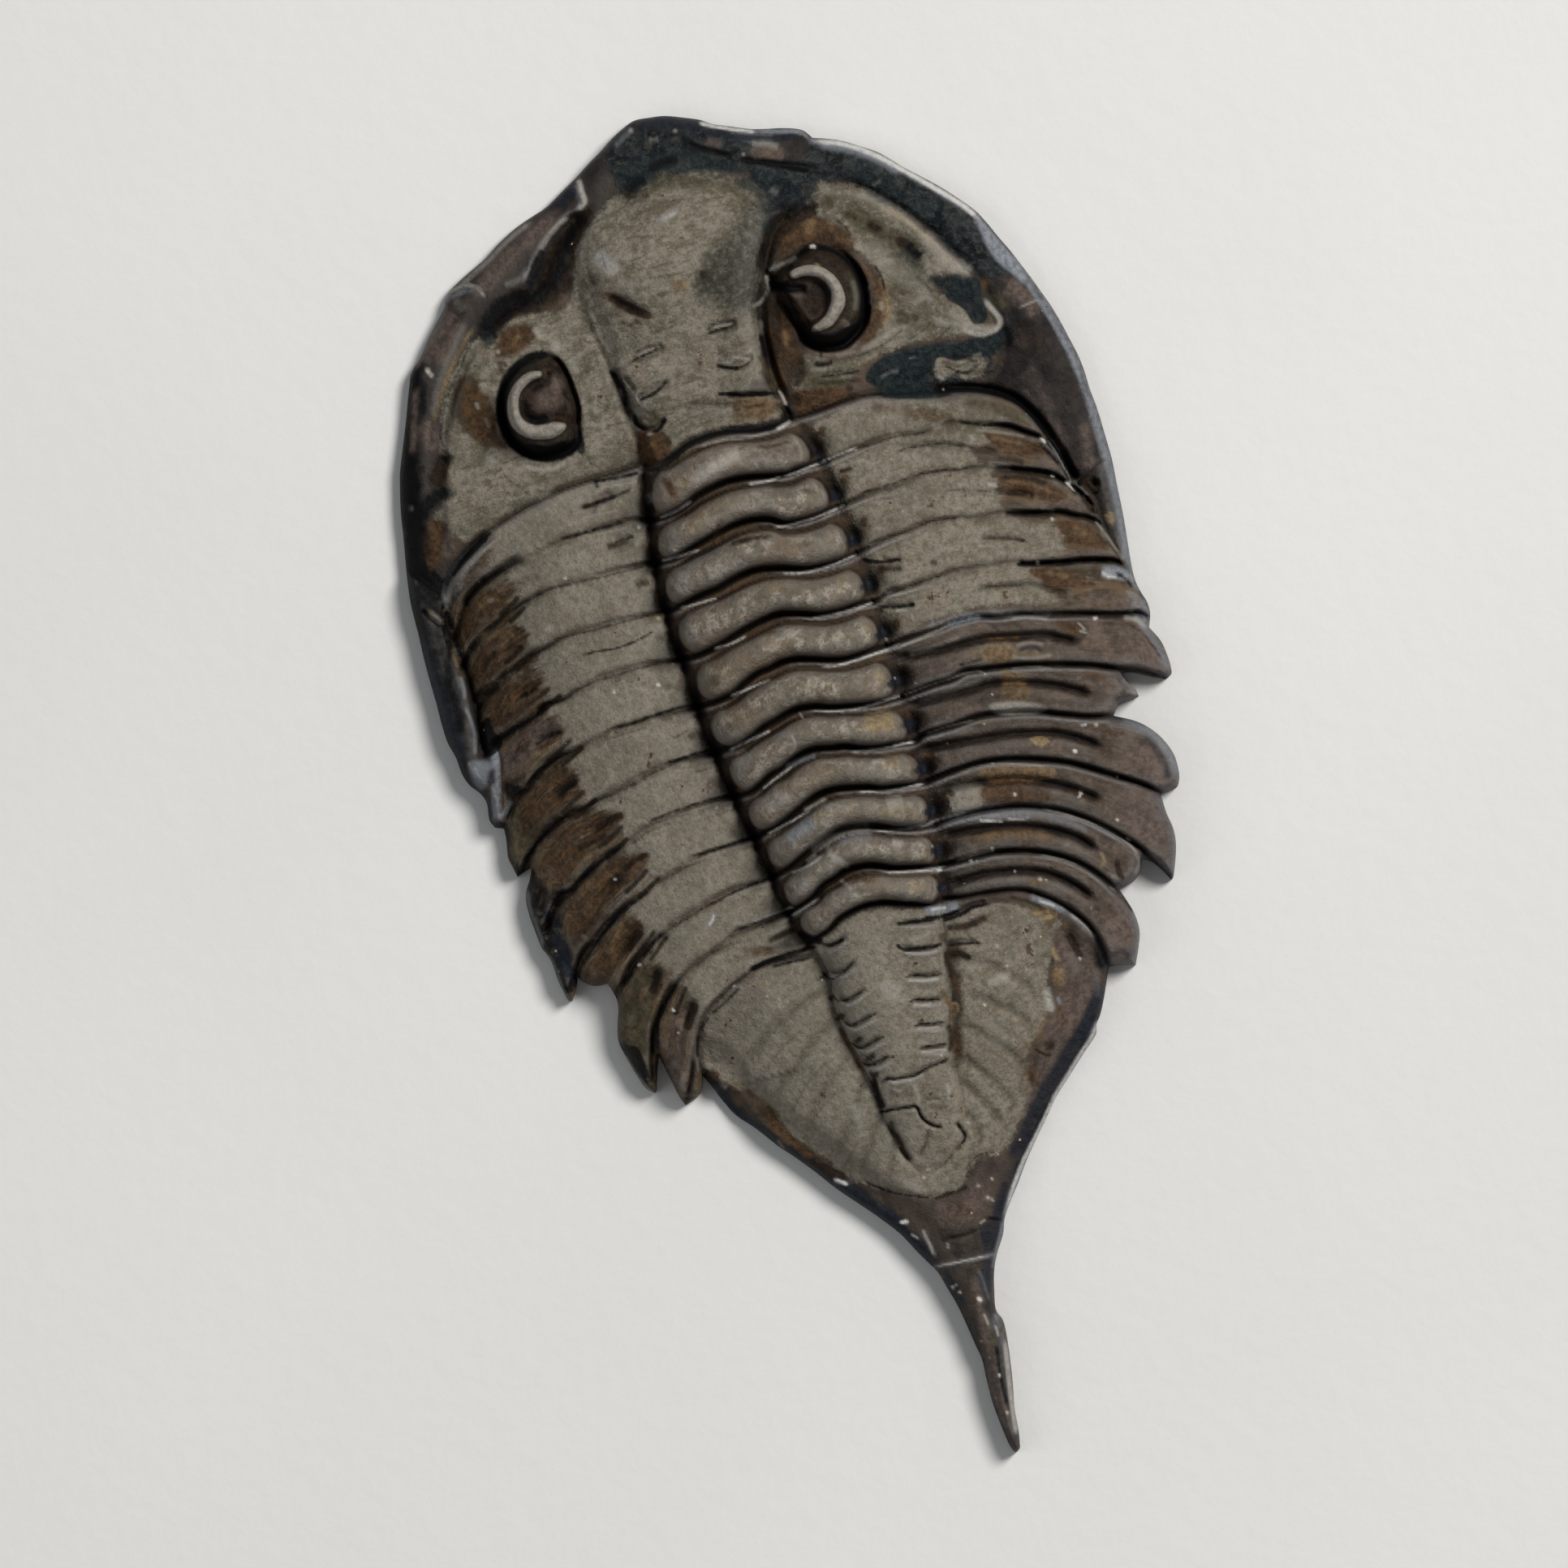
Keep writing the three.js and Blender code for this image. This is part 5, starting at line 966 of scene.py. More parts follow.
mark("white", 1.8, .90, (1206,1011), (1235,1012))
mark("white", 1.8, .80, (1240,1009), (1262,1010))
mark("blue", 7, .42, (1164,1018), (1200,1008), (1240,1002), (1280,1003), (1312,1012), (1342,1026))
mark("chalk", 2.2, .58, (1284,996), (1310,1002), (1335,1010), (1362,1021), (1386,1036), (1402,1052))
mark("chalk", 2.2, .45, (1280,1053), (1310,1059), (1335,1068), (1358,1083), (1376,1100))
mark("chalk", 2.2, .50, (1178,1060), (1200,1053), (1225,1047))
mark("ochre", 5, .66, (1210,1031), (1245,1026), (1290,1028))
mark("ochre", 6, .50, (1266,1086), (1284,1088))
mark("rust", 4, .40, (1190,1036), (1205,1036))
mark("sepia", 3.4, .90, (1376,1060), (1377,1070), (1382,1084))
mark("chalk", 4, .45, (1398,1050), (1404,1062), (1398,1078))
mark("sand", 3, .45, (1356,1050), (1360,1062), (1354,1068))
mark("chalk", 4, .35, (1368,1078), (1385,1088))
field("chalk", 4, .22, (1174,966), (1206,968), (1208,992), (1190,1000), (1172,996))
mark("sepia", 4.5, .80, (1160,978), (1168,974), (1174,980))
mark("blue", 6, .22, (1170,1095), (1200,1088))
# front of the tail
mark("blue", 4.5, .85, (1140,1122), (1160,1120), (1180,1116))
mark("white", 2.4, .60, (1146,1120), (1166,1118))
mark("ink", 3, .85, (1138,1131), (1160,1129), (1182,1122))
mark("blue", 4.0, .85, (1275,1108), (1294,1113), (1310,1122))
mark("white", 2.0, .6, (1280,1110), (1300,1116))
mark("chalk", 2.6, .60, (1318,1126), (1338,1141), (1350,1156))
mark("sand", 2.6, .80, (1270,1125), (1282,1127))
mark("sand", 4.5, .70, (1288,1129), (1296,1132))
mark("ochre", 4, .6, (1300,1134), (1286,1136))
mark("sepia", 4.5, .80, (1314,1150), (1322,1163), (1331,1179))
mark("white", 1.8, .7, (1331,1181))
mark("sand", 3, .55, (1297,1166), (1302,1184))
mark("ochre", 8, .60, (1300,1196), (1308,1215))
mark("ochre", 5, .45, (1308,1138), (1316,1144))
mark("olive", 4, .45, (1240,1109), (1262,1113), (1285,1121))
mark("ink", 2.4, .90, (1104,1138), (1130,1135), (1152,1132))
mark("ink", 2.6, .90, (1104,1163), (1112,1169), (1130,1169), (1150,1166), (1161,1162))
mark("chalk", 2, .50, (1114,1173), (1135,1174), (1156,1171))
mark("ink", 2.8, .80, (1160,1134), (1180,1128), (1200,1117), (1218,1113))
mark("sepia", 5.5, .60, (1166,1142), (1190,1141), (1216,1129))
mark("ink", 2.4, .78, (1166,1164), (1190,1162), (1208,1161))
mark("sepia", 4, .70, (1166,1178), (1180,1174), (1196,1181))
mark("chalk", 5, .35, (1118,1158), (1140,1152), (1142,1142))
mark("rose", 8, .30, (1150,1150), (1146,1160))
# tail: slits and scallops beside its axis, each slit's lower lip with a painted highlight
for dark_, lit in (([(1114,1204), (1125,1201), (1145,1202), (1161,1199)], [(1118,1207), (1140,1207), (1156,1205)]),
                 ([(1120,1234), (1128,1231), (1145,1231), (1159,1230)], [(1125,1237), (1142,1237), (1148,1235)]),
                 ([(1125,1264), (1135,1261), (1150,1260), (1163,1258)], [(1130,1267), (1150,1266), (1158,1264)]),
                 ([(1130,1292), (1140,1289), (1155,1287), (1166,1285)], [(1134,1296), (1150,1294), (1166,1292)])):
    mark("ink", 1.6, .70, *dark_)
    mark("chalk", 2.0, .78, *lit)
mark("sepia", 4.5, .58, (1165,1172), (1168,1190), (1172,1205))
mark("rust", 5, .50, (1173,1200), (1180,1217))
mark("sepia", 4.5, .58, (1168,1262), (1172,1280), (1170,1296))
mark("rust", 5, .40, (1176,1268), (1180,1284))
mark("ochre", 3.6, .75, (1160,1217), (1166,1232), (1176,1246), (1168,1256))
mark("sand", 2.2, .55, (1164,1238), (1178,1236), (1180,1246))
mark("rust", 6.5, .55, (1181,1284), (1178,1300))
mark("sepia", 7, .40, (1160,1148), (1163,1162))
for p in ([(1012,1196), (1024,1206), (1038,1198), (1052,1184)], [(1024,1224), (1034,1233), (1050,1228), (1068,1217)],
          [(1038,1256), (1048,1263), (1062,1256), (1081,1247)], [(1049,1284), (1060,1291), (1075,1283), (1090,1275)],
          [(1060,1307), (1070,1312), (1085,1305), (1098,1300)]):
    mark("ink", 1.9, .62, *p)
mark("chalk", 2, .42, (1046,1198), (1034,1212), (1040,1206))
mark("chalk", 2.2, .48, (1072,1222), (1056,1232), (1042,1240))
mark("chalk", 2.2, .48, (1084,1254), (1064,1263), (1052,1270))
mark("chalk", 2.2, .48, (1092,1284), (1076,1292), (1062,1299))
mark("chalk", 2.2, .40, (1102,1306), (1088,1314), (1072,1320))
for x, y, r, s in ((1014,1200,7,.55), (1022,1226,5,.55), (1034,1250,7,.75), (1040,1232,6,.35), (1056,1278,9,.55), (1070,1300,10,.6), (1076,1322,7,.6), (1062,1296,7,.4)):
    mark("sepia", r, s, (x, y), (x + 3, y + 5))
mark("rust", 4.5, .55, (1034,1264), (1044,1284), (1055,1304), (1064,1324))
mark("ink", 5.2, .80, (1074,1328), (1081,1348), (1088,1366))
mark("ink", 3, .85, (922,1195), (950,1182), (980,1172), (1006,1166))
mark("ink", 2.4, .65, (950,1191), (975,1185), (998,1180))
mark("rust", 6, .38, (915,1168), (935,1172), (955,1172))
mark("sepia", 5, .55, (946,1160), (962,1152), (980,1144))
mark("ink", 5, .85, (984,1148), (1000,1156), (1014,1160))
mark("ink", 2.6, .80, (1006,1160), (1024,1164), (1040,1156))
mark("chalk", 3, .65, (1010,1164), (1012,1174))
mark("chalk", 2.2, .60, (925,1137), (950,1127), (978,1117))
mark("ink", 2.2, .60, (902,1148), (930,1137), (960,1126), (980,1120))
mark("ink", 1.9, .80, (1086,1333), (1093,1328.5), (1101,1329), (1113,1327), (1127,1324), (1136,1318.5), (1144,1314), (1160,1308), (1168,1303))
mark("chalk", 2.0, .72, (1095,1332.5), (1112,1330.5), (1127,1327.5), (1138,1321.5))
mark("sepia", 4, .55, (1072,1318), (1078,1332), (1082,1348), (1086,1364))
mark("ink", 1.8, .85, (1085,1369.5), (1106,1365.5), (1129,1362))
mark("ink", 1.9, .88, (1129,1362), (1134.5,1375), (1140,1381), (1149,1386), (1160,1388))
mark("ink", 2.0, .85, (1179,1383), (1184,1391), (1188.5,1397), (1188,1404), (1184,1409))
mark("olive", 3.4, .7, (1184,1411), (1178,1416))
mark("sepia", 4.2, .62, (1097,1380), (1100,1393), (1108,1405), (1113,1418), (1122,1431))
mark("sepia", 3.0, .36, (1144,1390), (1141,1406), (1132,1424))
mark("ink", 1.6, .42, (1174,1421), (1167,1429), (1161,1436), (1151,1441))
mark("ink", 1.8, .62, (1064,1454), (1080,1462), (1100,1469), (1125,1473), (1146,1475))
mark("sepia", 2.8, .55, (1150,1477), (1180,1467), (1192,1461))
mark("ink", 1.9, .52, (1190,1452), (1194,1434), (1207,1422), (1227,1419))
mark("ink", 1.5, .45, (1157,1352), (1148,1354), (1137,1357))
mark("chalk", 2.6, .60, (1167,1334), (1169,1346), (1168,1354))
mark("rose", 9, .40, (1095,1350), (1112,1345), (1125,1350))
mark("rose", 8, .34, (1145,1366), (1165,1360))
mark("ink", 1.5, .40, (1192,1297), (1186,1310), (1168,1314))
mark("chalk", 2.4, .50, (1125,1336), (1132,1350), (1131,1358))
mark("chalk", 2.6, .50, (1100,1340), (1110,1345))
mark("white", 2, .55, (1190,1383), (1196,1382))
mark("white", 2, .50, (1166,1381))
mark("white", 1.8, .5, (1140,1441), (1148,1439))
mark("white", 2, .6, (1135,1451), (1140,1450))
for p, r, s in (([(1216,1212), (1234,1206), (1242,1201)], 7, .50), ([(1086,1218), (1104,1217)], 8, .45), ([(1052,1358), (1056,1380)], 8.5, .45),
                ([(1291,1216), (1294,1240)], 4.5, .55), ([(1112,1456), (1134,1466)], 7, .40), ([(972,1232), (958,1240)], 4, .40), ([(1195,1252), (1208,1262)], 6, .22)):
    mark("chalk", r, s, *p)
mark("blue", 3, .60, (1302,1228), (1306,1236))
mark("sand", 2.4, .80, (943,1212), (947,1212))
mark("ochre", 5, .50, (1292,1250), (1284,1262), (1276,1278))
mark("sepia", 8, .55, (1290,1282), (1296,1292))
mark("sepia", 2.4, .55, (1274,1292), (1290,1300), (1296,1298))
mark("rust", 7, .50, (1270,1318), (1276,1338))
mark("rust", 9, .35, (1300,1240), (1312,1262))
mark("rose", 10, .40, (1320,1200), (1326,1230))
mark("rose", 9, .40, (1322,1160), (1338,1185))
mark("navy", 9, .70, (1352,1215), (1349,1235), (1338,1262), (1318,1292), (1300,1322), (1280,1356), (1262,1396), (1246,1432))
mark("white", 3, .72, (1352,1258), (1346,1276), (1333,1296), (1316,1324), (1300,1350), (1287,1378), (1273,1406), (1260,1432), (1248,1464), (1240,1494))
mark("blue", 3, .5, (1237,1505), (1229,1535), (1226,1560))
mark("rust", 5, .50, (876,1318), (886,1328))
mark("sand", 4, .45, (900,1330), (916,1342))
mark("olive", 5, .45, (918,1342), (930,1352))
mark("rust", 4.5, .60, (944,1366), (958,1384))
mark("navy", 7.5, .80, (874,1338), (880,1346), (905,1370), (930,1391), (960,1411))
mark("rust", 5.5, .62, (944,1374), (965,1394), (985,1412), (1000,1424))
mark("sepia", 6, .70, (998,1428), (1020,1441), (1042,1452))
mark("navy", 8, .80, (1040,1462), (1060,1472), (1082,1488), (1104,1503), (1130,1530), (1150,1552))
mark("olive", 5, .35, (925,1345), (950,1368), (962,1380))
mark("chalk", 2.6, .55, (1137,1514), (1141,1524), (1147,1536), (1150,1546))
mark("rose", 5, .40, (1112,1488), (1126,1500), (1136,1512))
mark("white", 2.6, .95, (1028,1453), (1044,1459))
mark("white", 2.4, .85, (1109,1506), (1119,1504))
mark("chalk", 2.2, .55, (1122,1520), (1132,1526))
mark("chalk", 2.6, .35, (958,1404), (966,1416))
mark("rose", 20, .55, (1150,1495), (1180,1498), (1200,1485), (1215,1455))
mark("rust", 10, .32, (1165,1490), (1195,1492))
mark("sepia", 2, .70, (1164,1526), (1180,1523), (1195,1519), (1204,1514))
mark("chalk", 2.4, .60, (1167,1530), (1168,1538))
mark("chalk", 2, .60, (1207,1507), (1214,1502))
mark("ink", 1.8, .80, (1217,1501), (1234,1502))
mark("chalk", 2.2, .55, (1220,1475), (1224,1480))
mark("navy", 7, .60, (1240,1455), (1230,1488), (1226,1530))
mark("white", 1.5, .50, (1154,1560), (1175,1556), (1200,1550), (1213,1547))
mark("blue", 3, .35, (1205,1563), (1212,1580), (1219,1602))
# spine: the dark ink and navy down its left edge are painted shade
mark("navy", 6, .70, (1166,1572), (1176,1592), (1184,1610))
mark("ink", 6, .70, (1168,1588), (1184,1620), (1199,1650), (1208,1680), (1214,1705))
mark("ink", 5, .55, (1222,1728), (1232,1755), (1243,1780))
mark("rust", 5, .45, (1198,1590), (1202,1610), (1200,1630))
mark("rose", 8, .45, (1200,1570), (1208,1610), (1216,1650), (1222,1690), (1232,1730), (1244,1770))
mark("white", 2.4, .80, (1204,1598), (1209,1602))
mark("chalk", 2, .70, (1182,1591), (1184,1592))
mark("chalk", 1.8, .55, (1171,1586), (1180,1582))
mark("chalk", 2, .60, (1212,1618), (1218,1632))
mark("chalk", 2, .60, (1226,1632), (1230,1646))
mark("rose", 4, .6, (1234,1634), (1236,1648))
mark("chalk", 2, .70, (1209,1652))
mark("chalk", 2, .60, (1219,1672))
mark("white", 1.8, .70, (1231,1694))
mark("chalk", 1.8, .60, (1218,1714))
mark("chalk", 1.8, .55, (1227,1722))
mark("chalk", 1.8, .60, (1241,1740))
mark("chalk", 3.2, .80, (1238,1652), (1241,1680), (1244,1710), (1248,1738), (1252,1766))
mark("ink", 3, .78, (1227,1655), (1232,1688), (1236,1710), (1241,1732))
mark("olive", 4, .5, (1222,1640), (1224,1660))
# left side: gap, margin spine and its pale edges
mark("ink", 3.2, .78, (602,662), (592,672), (579,684), (567,697), (557,711))
mark("chalk", 5, .50, (598,674), (584,689), (570,703), (560,716), (554,730), (552,745))
mark("ink", 2.1, .44, (645,687), (632,693), (618,701), (604,711), (590,723), (575,737))
mark("sepia", 5, .60, (600,712), (588,724), (575,738))
mark("ochre", 5, .45, (528,752), (537,763))
mark("chalk", 5, .35, (530,754), (545,768))
mark("ink", 5.2, .64, (545,772), (555,785), (552,830), (562,870), (570,905))
mark("navy", 10, .55, (520,790), (535,840), (555,890), (570,935))
mark("blue", 5, .42, (562,798), (568,806))
mark("blue", 2.8, .60, (568,833), (572,848), (573,862))
mark("blue", 2.8, .62, (574,872), (580,886), (585,905), (586,930))
field("blue", 5, .55, (577,938), (600,935), (612,922), (617,945), (604,950), (600,970), (590,973), (580,958))
mark("chalk", 4, .5, (584,945), (592,958))
mark("navy", 4.5, .50, (607,946), (608,966))
mark("blue", 4, .50, (607,975), (612,1005), (622,1001), (631,986))
# left rib ends
field("rust", 6, .62, (566,757), (580,741), (600,728), (618,734), (626,745), (612,760), (590,776), (572,797), (564,782))
mark("ochre", 6, .55, (588,748), (604,740), (616,738))
mark("chalk", 4, .30, (600,742), (610,738))
field("rust", 5, .72, (592,800), (610,783), (630,772), (646,775), (650,790), (640,801), (620,820), (600,838), (586,842), (582,822))
mark("ochre", 5, .45, (620,786), (634,780))
mark("sepia", 4, .55, (594,830), (604,812), (612,802))
mark("sepia", 2.6, .45, (620,804), (640,790), (655,780))
mark("rose", 8, .45, (612,812), (628,806))
field("rust", 5, .62, (600,872), (620,848), (645,838), (664,844), (668,858), (652,870), (630,886), (610,896))
mark("sepia", 5, .85, (586,860), (598,850), (612,842))
mark("ink", 2.2, .68, (640,860), (651,853), (663,848))
mark("ink", 2.7, .64, (666,874), (673,867), (680,866))
mark("sand", 4, .38, (640,878), (654,870), (662,878))
mark("ink", 2.7, .74, (612,916), (630,901), (648,890), (662,880), (676,869))
field("rose", 5, .60, (620,926), (640,906), (660,892), (678,892), (693,902), (690,914), (670,926), (650,941), (630,956), (618,950))
mark("rust", 6, .50, (640,905), (650,912), (636,925))
mark("ink", 2.6, .68, (660,918), (672,909), (684,902), (693,904))
mark("sand", 3.4, .48, (654,932), (672,924), (690,914))
field("ink", 3, .95, (592,896), (602,884), (608,900), (620,916), (606,931), (595,926))
field("ink", 7, .70, (622,962), (638,965), (650,974), (640,982), (624,983))
mark("ink", 2.7, .74, (650,968), (662,952), (676,942), (690,932), (703,928))
field("rust", 5, .66, (638,1000), (650,976), (668,958), (690,944), (706,950), (714,965), (712,980), (695,992), (675,1006), (660,1016), (646,1030))
mark("sepia", 4.6, .82, (688,980), (700,969), (711,961))
mark("sand", 3.6, .50, (676,976), (690,962), (702,952))
mark("rose", 5, .5, (662,985), (676,974))
field("olive", 5, .70, (632,1060), (632,1010), (645,1000), (664,1018), (660,1035), (650,1052))
mark("ink", 2.7, .74, (645,1060), (656,1048), (664,1036), (676,1024), (690,1011), (706,1002))
field("rust", 5, .62, (664,1076), (672,1050), (686,1030), (705,1015), (725,1006), (746,1000), (768,1003), (766,1012), (750,1026), (730,1046), (710,1066), (696,1086), (680,1092))
mark("sepia", 4.4, .80, (734,1022), (750,1012), (768,1003))
mark("sepia", 5, .58, (712,1046), (730,1038), (748,1028))
mark("olive", 8, .60, (684,1048), (694,1036))
mark("sand", 3.4, .42, (704,1042), (722,1026), (738,1013))
mark("sand", 3.4, .32, (700,1070), (725,1056), (746,1042))
mark("ink", 2.8, .74, (700,1100), (716,1083), (736,1065), (751,1053), (767,1043))
field("rust", 5, .60, (700,1132), (708,1110), (722,1090), (740,1070), (756,1062), (776,1055), (797,1050), (801,1058), (790,1076), (770,1096), (750,1116), (735,1136), (720,1152), (704,1152))
mark("ochre", 6.5, .55, (714,1104), (726,1086))
mark("sand", 3.6, .38, (738,1092), (752,1078), (764,1066))
mark("sepia", 3.6, .75, (768,1072), (784,1060), (799,1052))
mark("sepia", 6.5, .80, (757,1088), (766,1078))
mark("white", 2.0, .8, (757,1084), (760,1082))
field("ink", 7, .62, (680,1097), (700,1096), (699,1112), (690,1120), (680,1114))
mark("navy", 9, .60, (684,1150), (694,1175), (701,1205))
mark("rose", 4, .40, (700,1150), (708,1176))
mark("chalk", 4, .30, (716,1152), (724,1156))
mark("rust", 5, .45, (686,1126), (698,1130))
mark("blue", 3.4, .45, (650,1096), (653,1118), (662,1142), (670,1165))
mark("blue", 3.4, .40, (676,1176), (686,1198), (694,1222), (702,1234))
mark("ink", 2.9, .72, (717,1192), (728,1172), (742,1152), (756,1135), (770,1120), (786,1108), (802,1097))
field("rust", 4, .66, (720,1202), (728,1186), (745,1161), (760,1141), (778,1131), (793,1140), (790,1153), (775,1176), (760,1196), (746,1209), (730,1211))
mark("ochre", 4.6, .62, (768,1136), (760,1156), (750,1176))
mark("sepia", 6, .88, (790,1146), (779,1160), (771,1170))
mark("ink", 3.5, .68, (767,1217), (780,1196), (795,1175), (808,1158), (822,1147))
mark("white", 2, .8, (786,1189), (790,1188))
field("olive", 6, .52, (764,1236), (774,1216), (790,1196), (806,1186), (819,1196), (815,1212), (801,1240), (796,1266), (800,1292), (790,1302), (774,1286), (764,1262))
mark("sepia", 5.4, .78, (812,1196), (808,1210), (804,1223))
mark("ochre", 5, .35, (796,1216), (790,1232))
field("ink", 3, .95, (771,1292), (784,1289), (793,1305), (800,1326), (790,1327), (779,1311))
mark("chalk", 4, .40, (770,1300), (782,1322), (796,1340), (804,1346))
mark("ink", 3.4, .74, (811,1296), (810,1266), (815,1246), (825,1226), (836,1211))
field("rose", 6, .52, (818,1302), (822,1270), (830,1250), (845,1235), (859,1230), (861,1240), (850,1266), (846,1291), (852,1330), (838,1342), (822,1322))
mark("sepia", 5.4, .88, (856,1235), (852,1251), (846,1268))
mark("rust", 3.4, .6, (850,1246), (846,1262))
mark("ochre", 6, .42, (830,1262), (824,1276))
mark("white", 2.2, .85, (828,1243), (831,1245))
mark("white", 1.9, .70, (836,1272))
mark("chalk", 5, .38, (845,1345), (840,1335), (845,1320))
mark("ink", 2.0, .60, (860,1304), (860,1282), (866,1264), (875,1252))
mark("ink", 3, .60, (864,1316), (870,1332))
mark("ink", 2.6, .55, (876,1250), (892,1236), (912,1216))
# thin lines on the left fields
for p, w, s in (([(692,665), (715,659), (740,652), (770,644)], 2.8, .70), ([(718,627), (740,619), (760,612), (780,602)], 2.8, .62),
                ([(732,594), (760,590), (788,583)], 2.6, .78), ([(748,673), (765,667), (782,661)], 2.6, .55),
                ([(655,738), (680,726), (712,718), (745,711), (800,697)], 2.4, .45), ([(718,808), (736,803), (760,799), (785,790), (806,778)], 1.9, .68),
                ([(680,790), (705,783), (735,776), (775,765), (812,756)], 2.3, .50), ([(700,856), (730,842), (770,829), (812,818), (850,811)], 2.3, .50),
                ([(756,896), (775,893), (800,884), (822,877), (846,870), (866,868)], 2.7, .72), ([(740,914), (765,906), (800,896)], 2.0, .40),
                ([(821,940), (840,935), (860,928), (880,923), (897,919)], 2.7, .72), ([(760,975), (785,963), (810,950), (835,940)], 2.2, .48),
                ([(800,1012), (830,1000), (860,990), (888,982), (908,978)], 2.4, .66), ([(712,1000), (740,985), (765,975), (800,958)], 2.4, .45),
                ([(852,1055), (880,1047), (910,1037), (932,1030), (946,1025)], 2.4, .72), ([(775,1040), (800,1025), (830,1012)], 2.2, .40),
                ([(868,1118), (895,1104), (920,1092), (946,1083), (968,1075)], 2.4, .66), ([(806,1092), (835,1074), (870,1058)], 2.2, .40),
                ([(822,1146), (845,1132), (868,1118)], 2.6, .50), ([(856,1192), (875,1176), (905,1160)], 2.2, .42), ([(800,1076), (815,1086)], 2.0, .3),
                ([(752,1052), (775,1040), (795,1032)], 2.2, .42), ([(750,832), (765,838), (752,842)], 1.8, .38), ([(905,1100), (925,1108), (940,1104)], 2.0, .30),
                ([(822,912), (838,906), (850,900)], 2.2, .42), ([(850,952), (870,948), (888,942)], 2.0, .35), ([(870,1008), (890,1002), (908,996)], 2.0, .35)):
    mark("ink", w, s, *p)
for p in ([(840,1066), (870,1056), (900,1046), (930,1036)], [(890,1108), (920,1097), (950,1087)], [(830,1006), (862,996), (890,988)],
          [(740,602), (765,598), (785,594)], [(715,640), (740,634), (762,630)], [(735,660), (755,655), (775,651)]):
    mark("chalk", 2.2, .38, *p)
mark("sand", 9, .34, (592,786), (612,782), (636,778))
mark("rose", 6, .34, (600,796), (630,784))
mark("sepia", 9, .38, (612,890), (634,880), (656,872))
mark("sepia", 9, .42, (652,1034), (668,1018), (692,1006))
mark("ink", 8, .36, (640,1030), (656,1012))
mark("sepia", 9, .34, (704,1166), (720,1146), (736,1130))
mark("sand", 9, .26, (1190,806), (1240,803), (1300,810))
mark("sepia", 10, .30, (1185,862), (1235,858), (1290,864))
mark("chalk", 18, .26, (1214,1250), (1238,1290))
mark("chalk", 14, .14, (1090,1190), (1110,1240), (1126,1280))
mark("sand", 7, .50, (1303,1192), (1306,1214))
mark("chalk", 6, .75, (1288,1218), (1295,1246))
mark("rose", 13, .66, (1334,1162), (1344,1200), (1340,1232))
mark("blue", 6, .26, (1352,1190), (1353,1230))
mark("chalk", 9, .24, (1318,1172), (1328,1200))
mark("sepia", 4, .60, (1316,1148), (1326,1166))
mark("rose", 8, .45, (1310,1262), (1304,1300))
# painted light: a broad pale wash that lifts ring 9 out of its shade
mark("chalk", 13, .40, (996,1042), (1036,1030), (1074,1020))
mark("chalk", 6, .42, (1222,1212), (1236,1202), (1246,1198))
field("chalk", 4, .42, (1084,1212), (1092,1206), (1110,1216), (1108,1230), (1086,1228))
mark("chalk", 8, .30, (1058,1368), (1062,1390))
mark("ochre", 3.4, .45, (1218,540), (1240,543), (1262,549))
mark("ochre", 3.4, .50, (1238,593), (1268,597), (1296,607))
mark("ochre", 6, .50, (1322,650), (1344,662))
mark("ochre", 4, .50, (1286,705), (1318,712))
mark("rust", 5, .55, (1236,556), (1270,560))
mark("rust", 5, .50, (1262,604), (1300,614))
mark("sepia", 8, .42, (784,722), (800,716))
mark("sepia", 8, .42, (808,788), (826,780))
mark("rose", 8, .50, (836,852), (844,832))
mark("sepia", 4, .50, (748,676), (764,671), (775,668))
mark("sepia", 4.5, .50, (716,626), (740,620), (758,612))
mark("sepia", 8, .40, (848,908), (862,902))
mark("rose", 8, .40, (870,968), (884,962))
mark("rose", 12, .42, (1388,776), (1410,800), (1422,822))
mark("ochre", 7, .30, (1330,790), (1370,796))
mark("ochre", 6, .30, (1140,880), (1190,866))
mark("sepia", 7, .40, (1120,928), (1150,920), (1180,914))
mark("ochre", 6, .28, (1300,1060), (1340,1080))
mark("sand", 13, .62, (1066,894), (1084,890), (1100,888))
mark("sand", 9, .36, (1078,840), (1090,834))
mark("blue", 3.5, .60, (1276,1402), (1268,1422), (1256,1447), (1243,1480), (1237,1500))
mark("rose", 9, .42, (1334,520), (1340,556), (1344,580))
mark("sand", 8, .30, (1206,808), (1250,806), (1290,810))
mark("rose", 9, .40, (755,640), (775,632))
mark("rose", 7, .35, (730,636), (750,600))
mark("sand", 3.6, .95, (806,763), (812,761), (818,758))
mark("white", 2.6, .75, (788,650))
mark("white", 2.4, .5, (806,694))
mark("white", 2.4, .75, (811,843), (813,846))
mark("white", 1.9, .5, (817,852))
mark("white", 2.4, .55, (757,853))
mark("white", 2.0, .45, (832,809))
mark("chalk", 8, .48, (674,772), (680,778))
mark("ochre", 2.4, .6, (697,716), (700,714))
mark("sand", 2.2, .55, (709,936))
mark("white", 2.4, .62, (874,1140), (878,1133), (880,1126))
mark("white", 2, .45, (884,992), (882,998))
mark("rose", 7, .35, (888,1002), (895,1012))
mark("sepia", 8, .28, (790,670), (800,690), (792,715))
mark("sepia", 7, .30, (826,850), (818,842))
mark("sepia", 7, .35, (900,1022), (920,1040), (935,1048))
mark("sepia", 6, .35, (885,945), (900,965))
mark("rust", 3, .4, (862,1120), (880,1112), (868,1118))

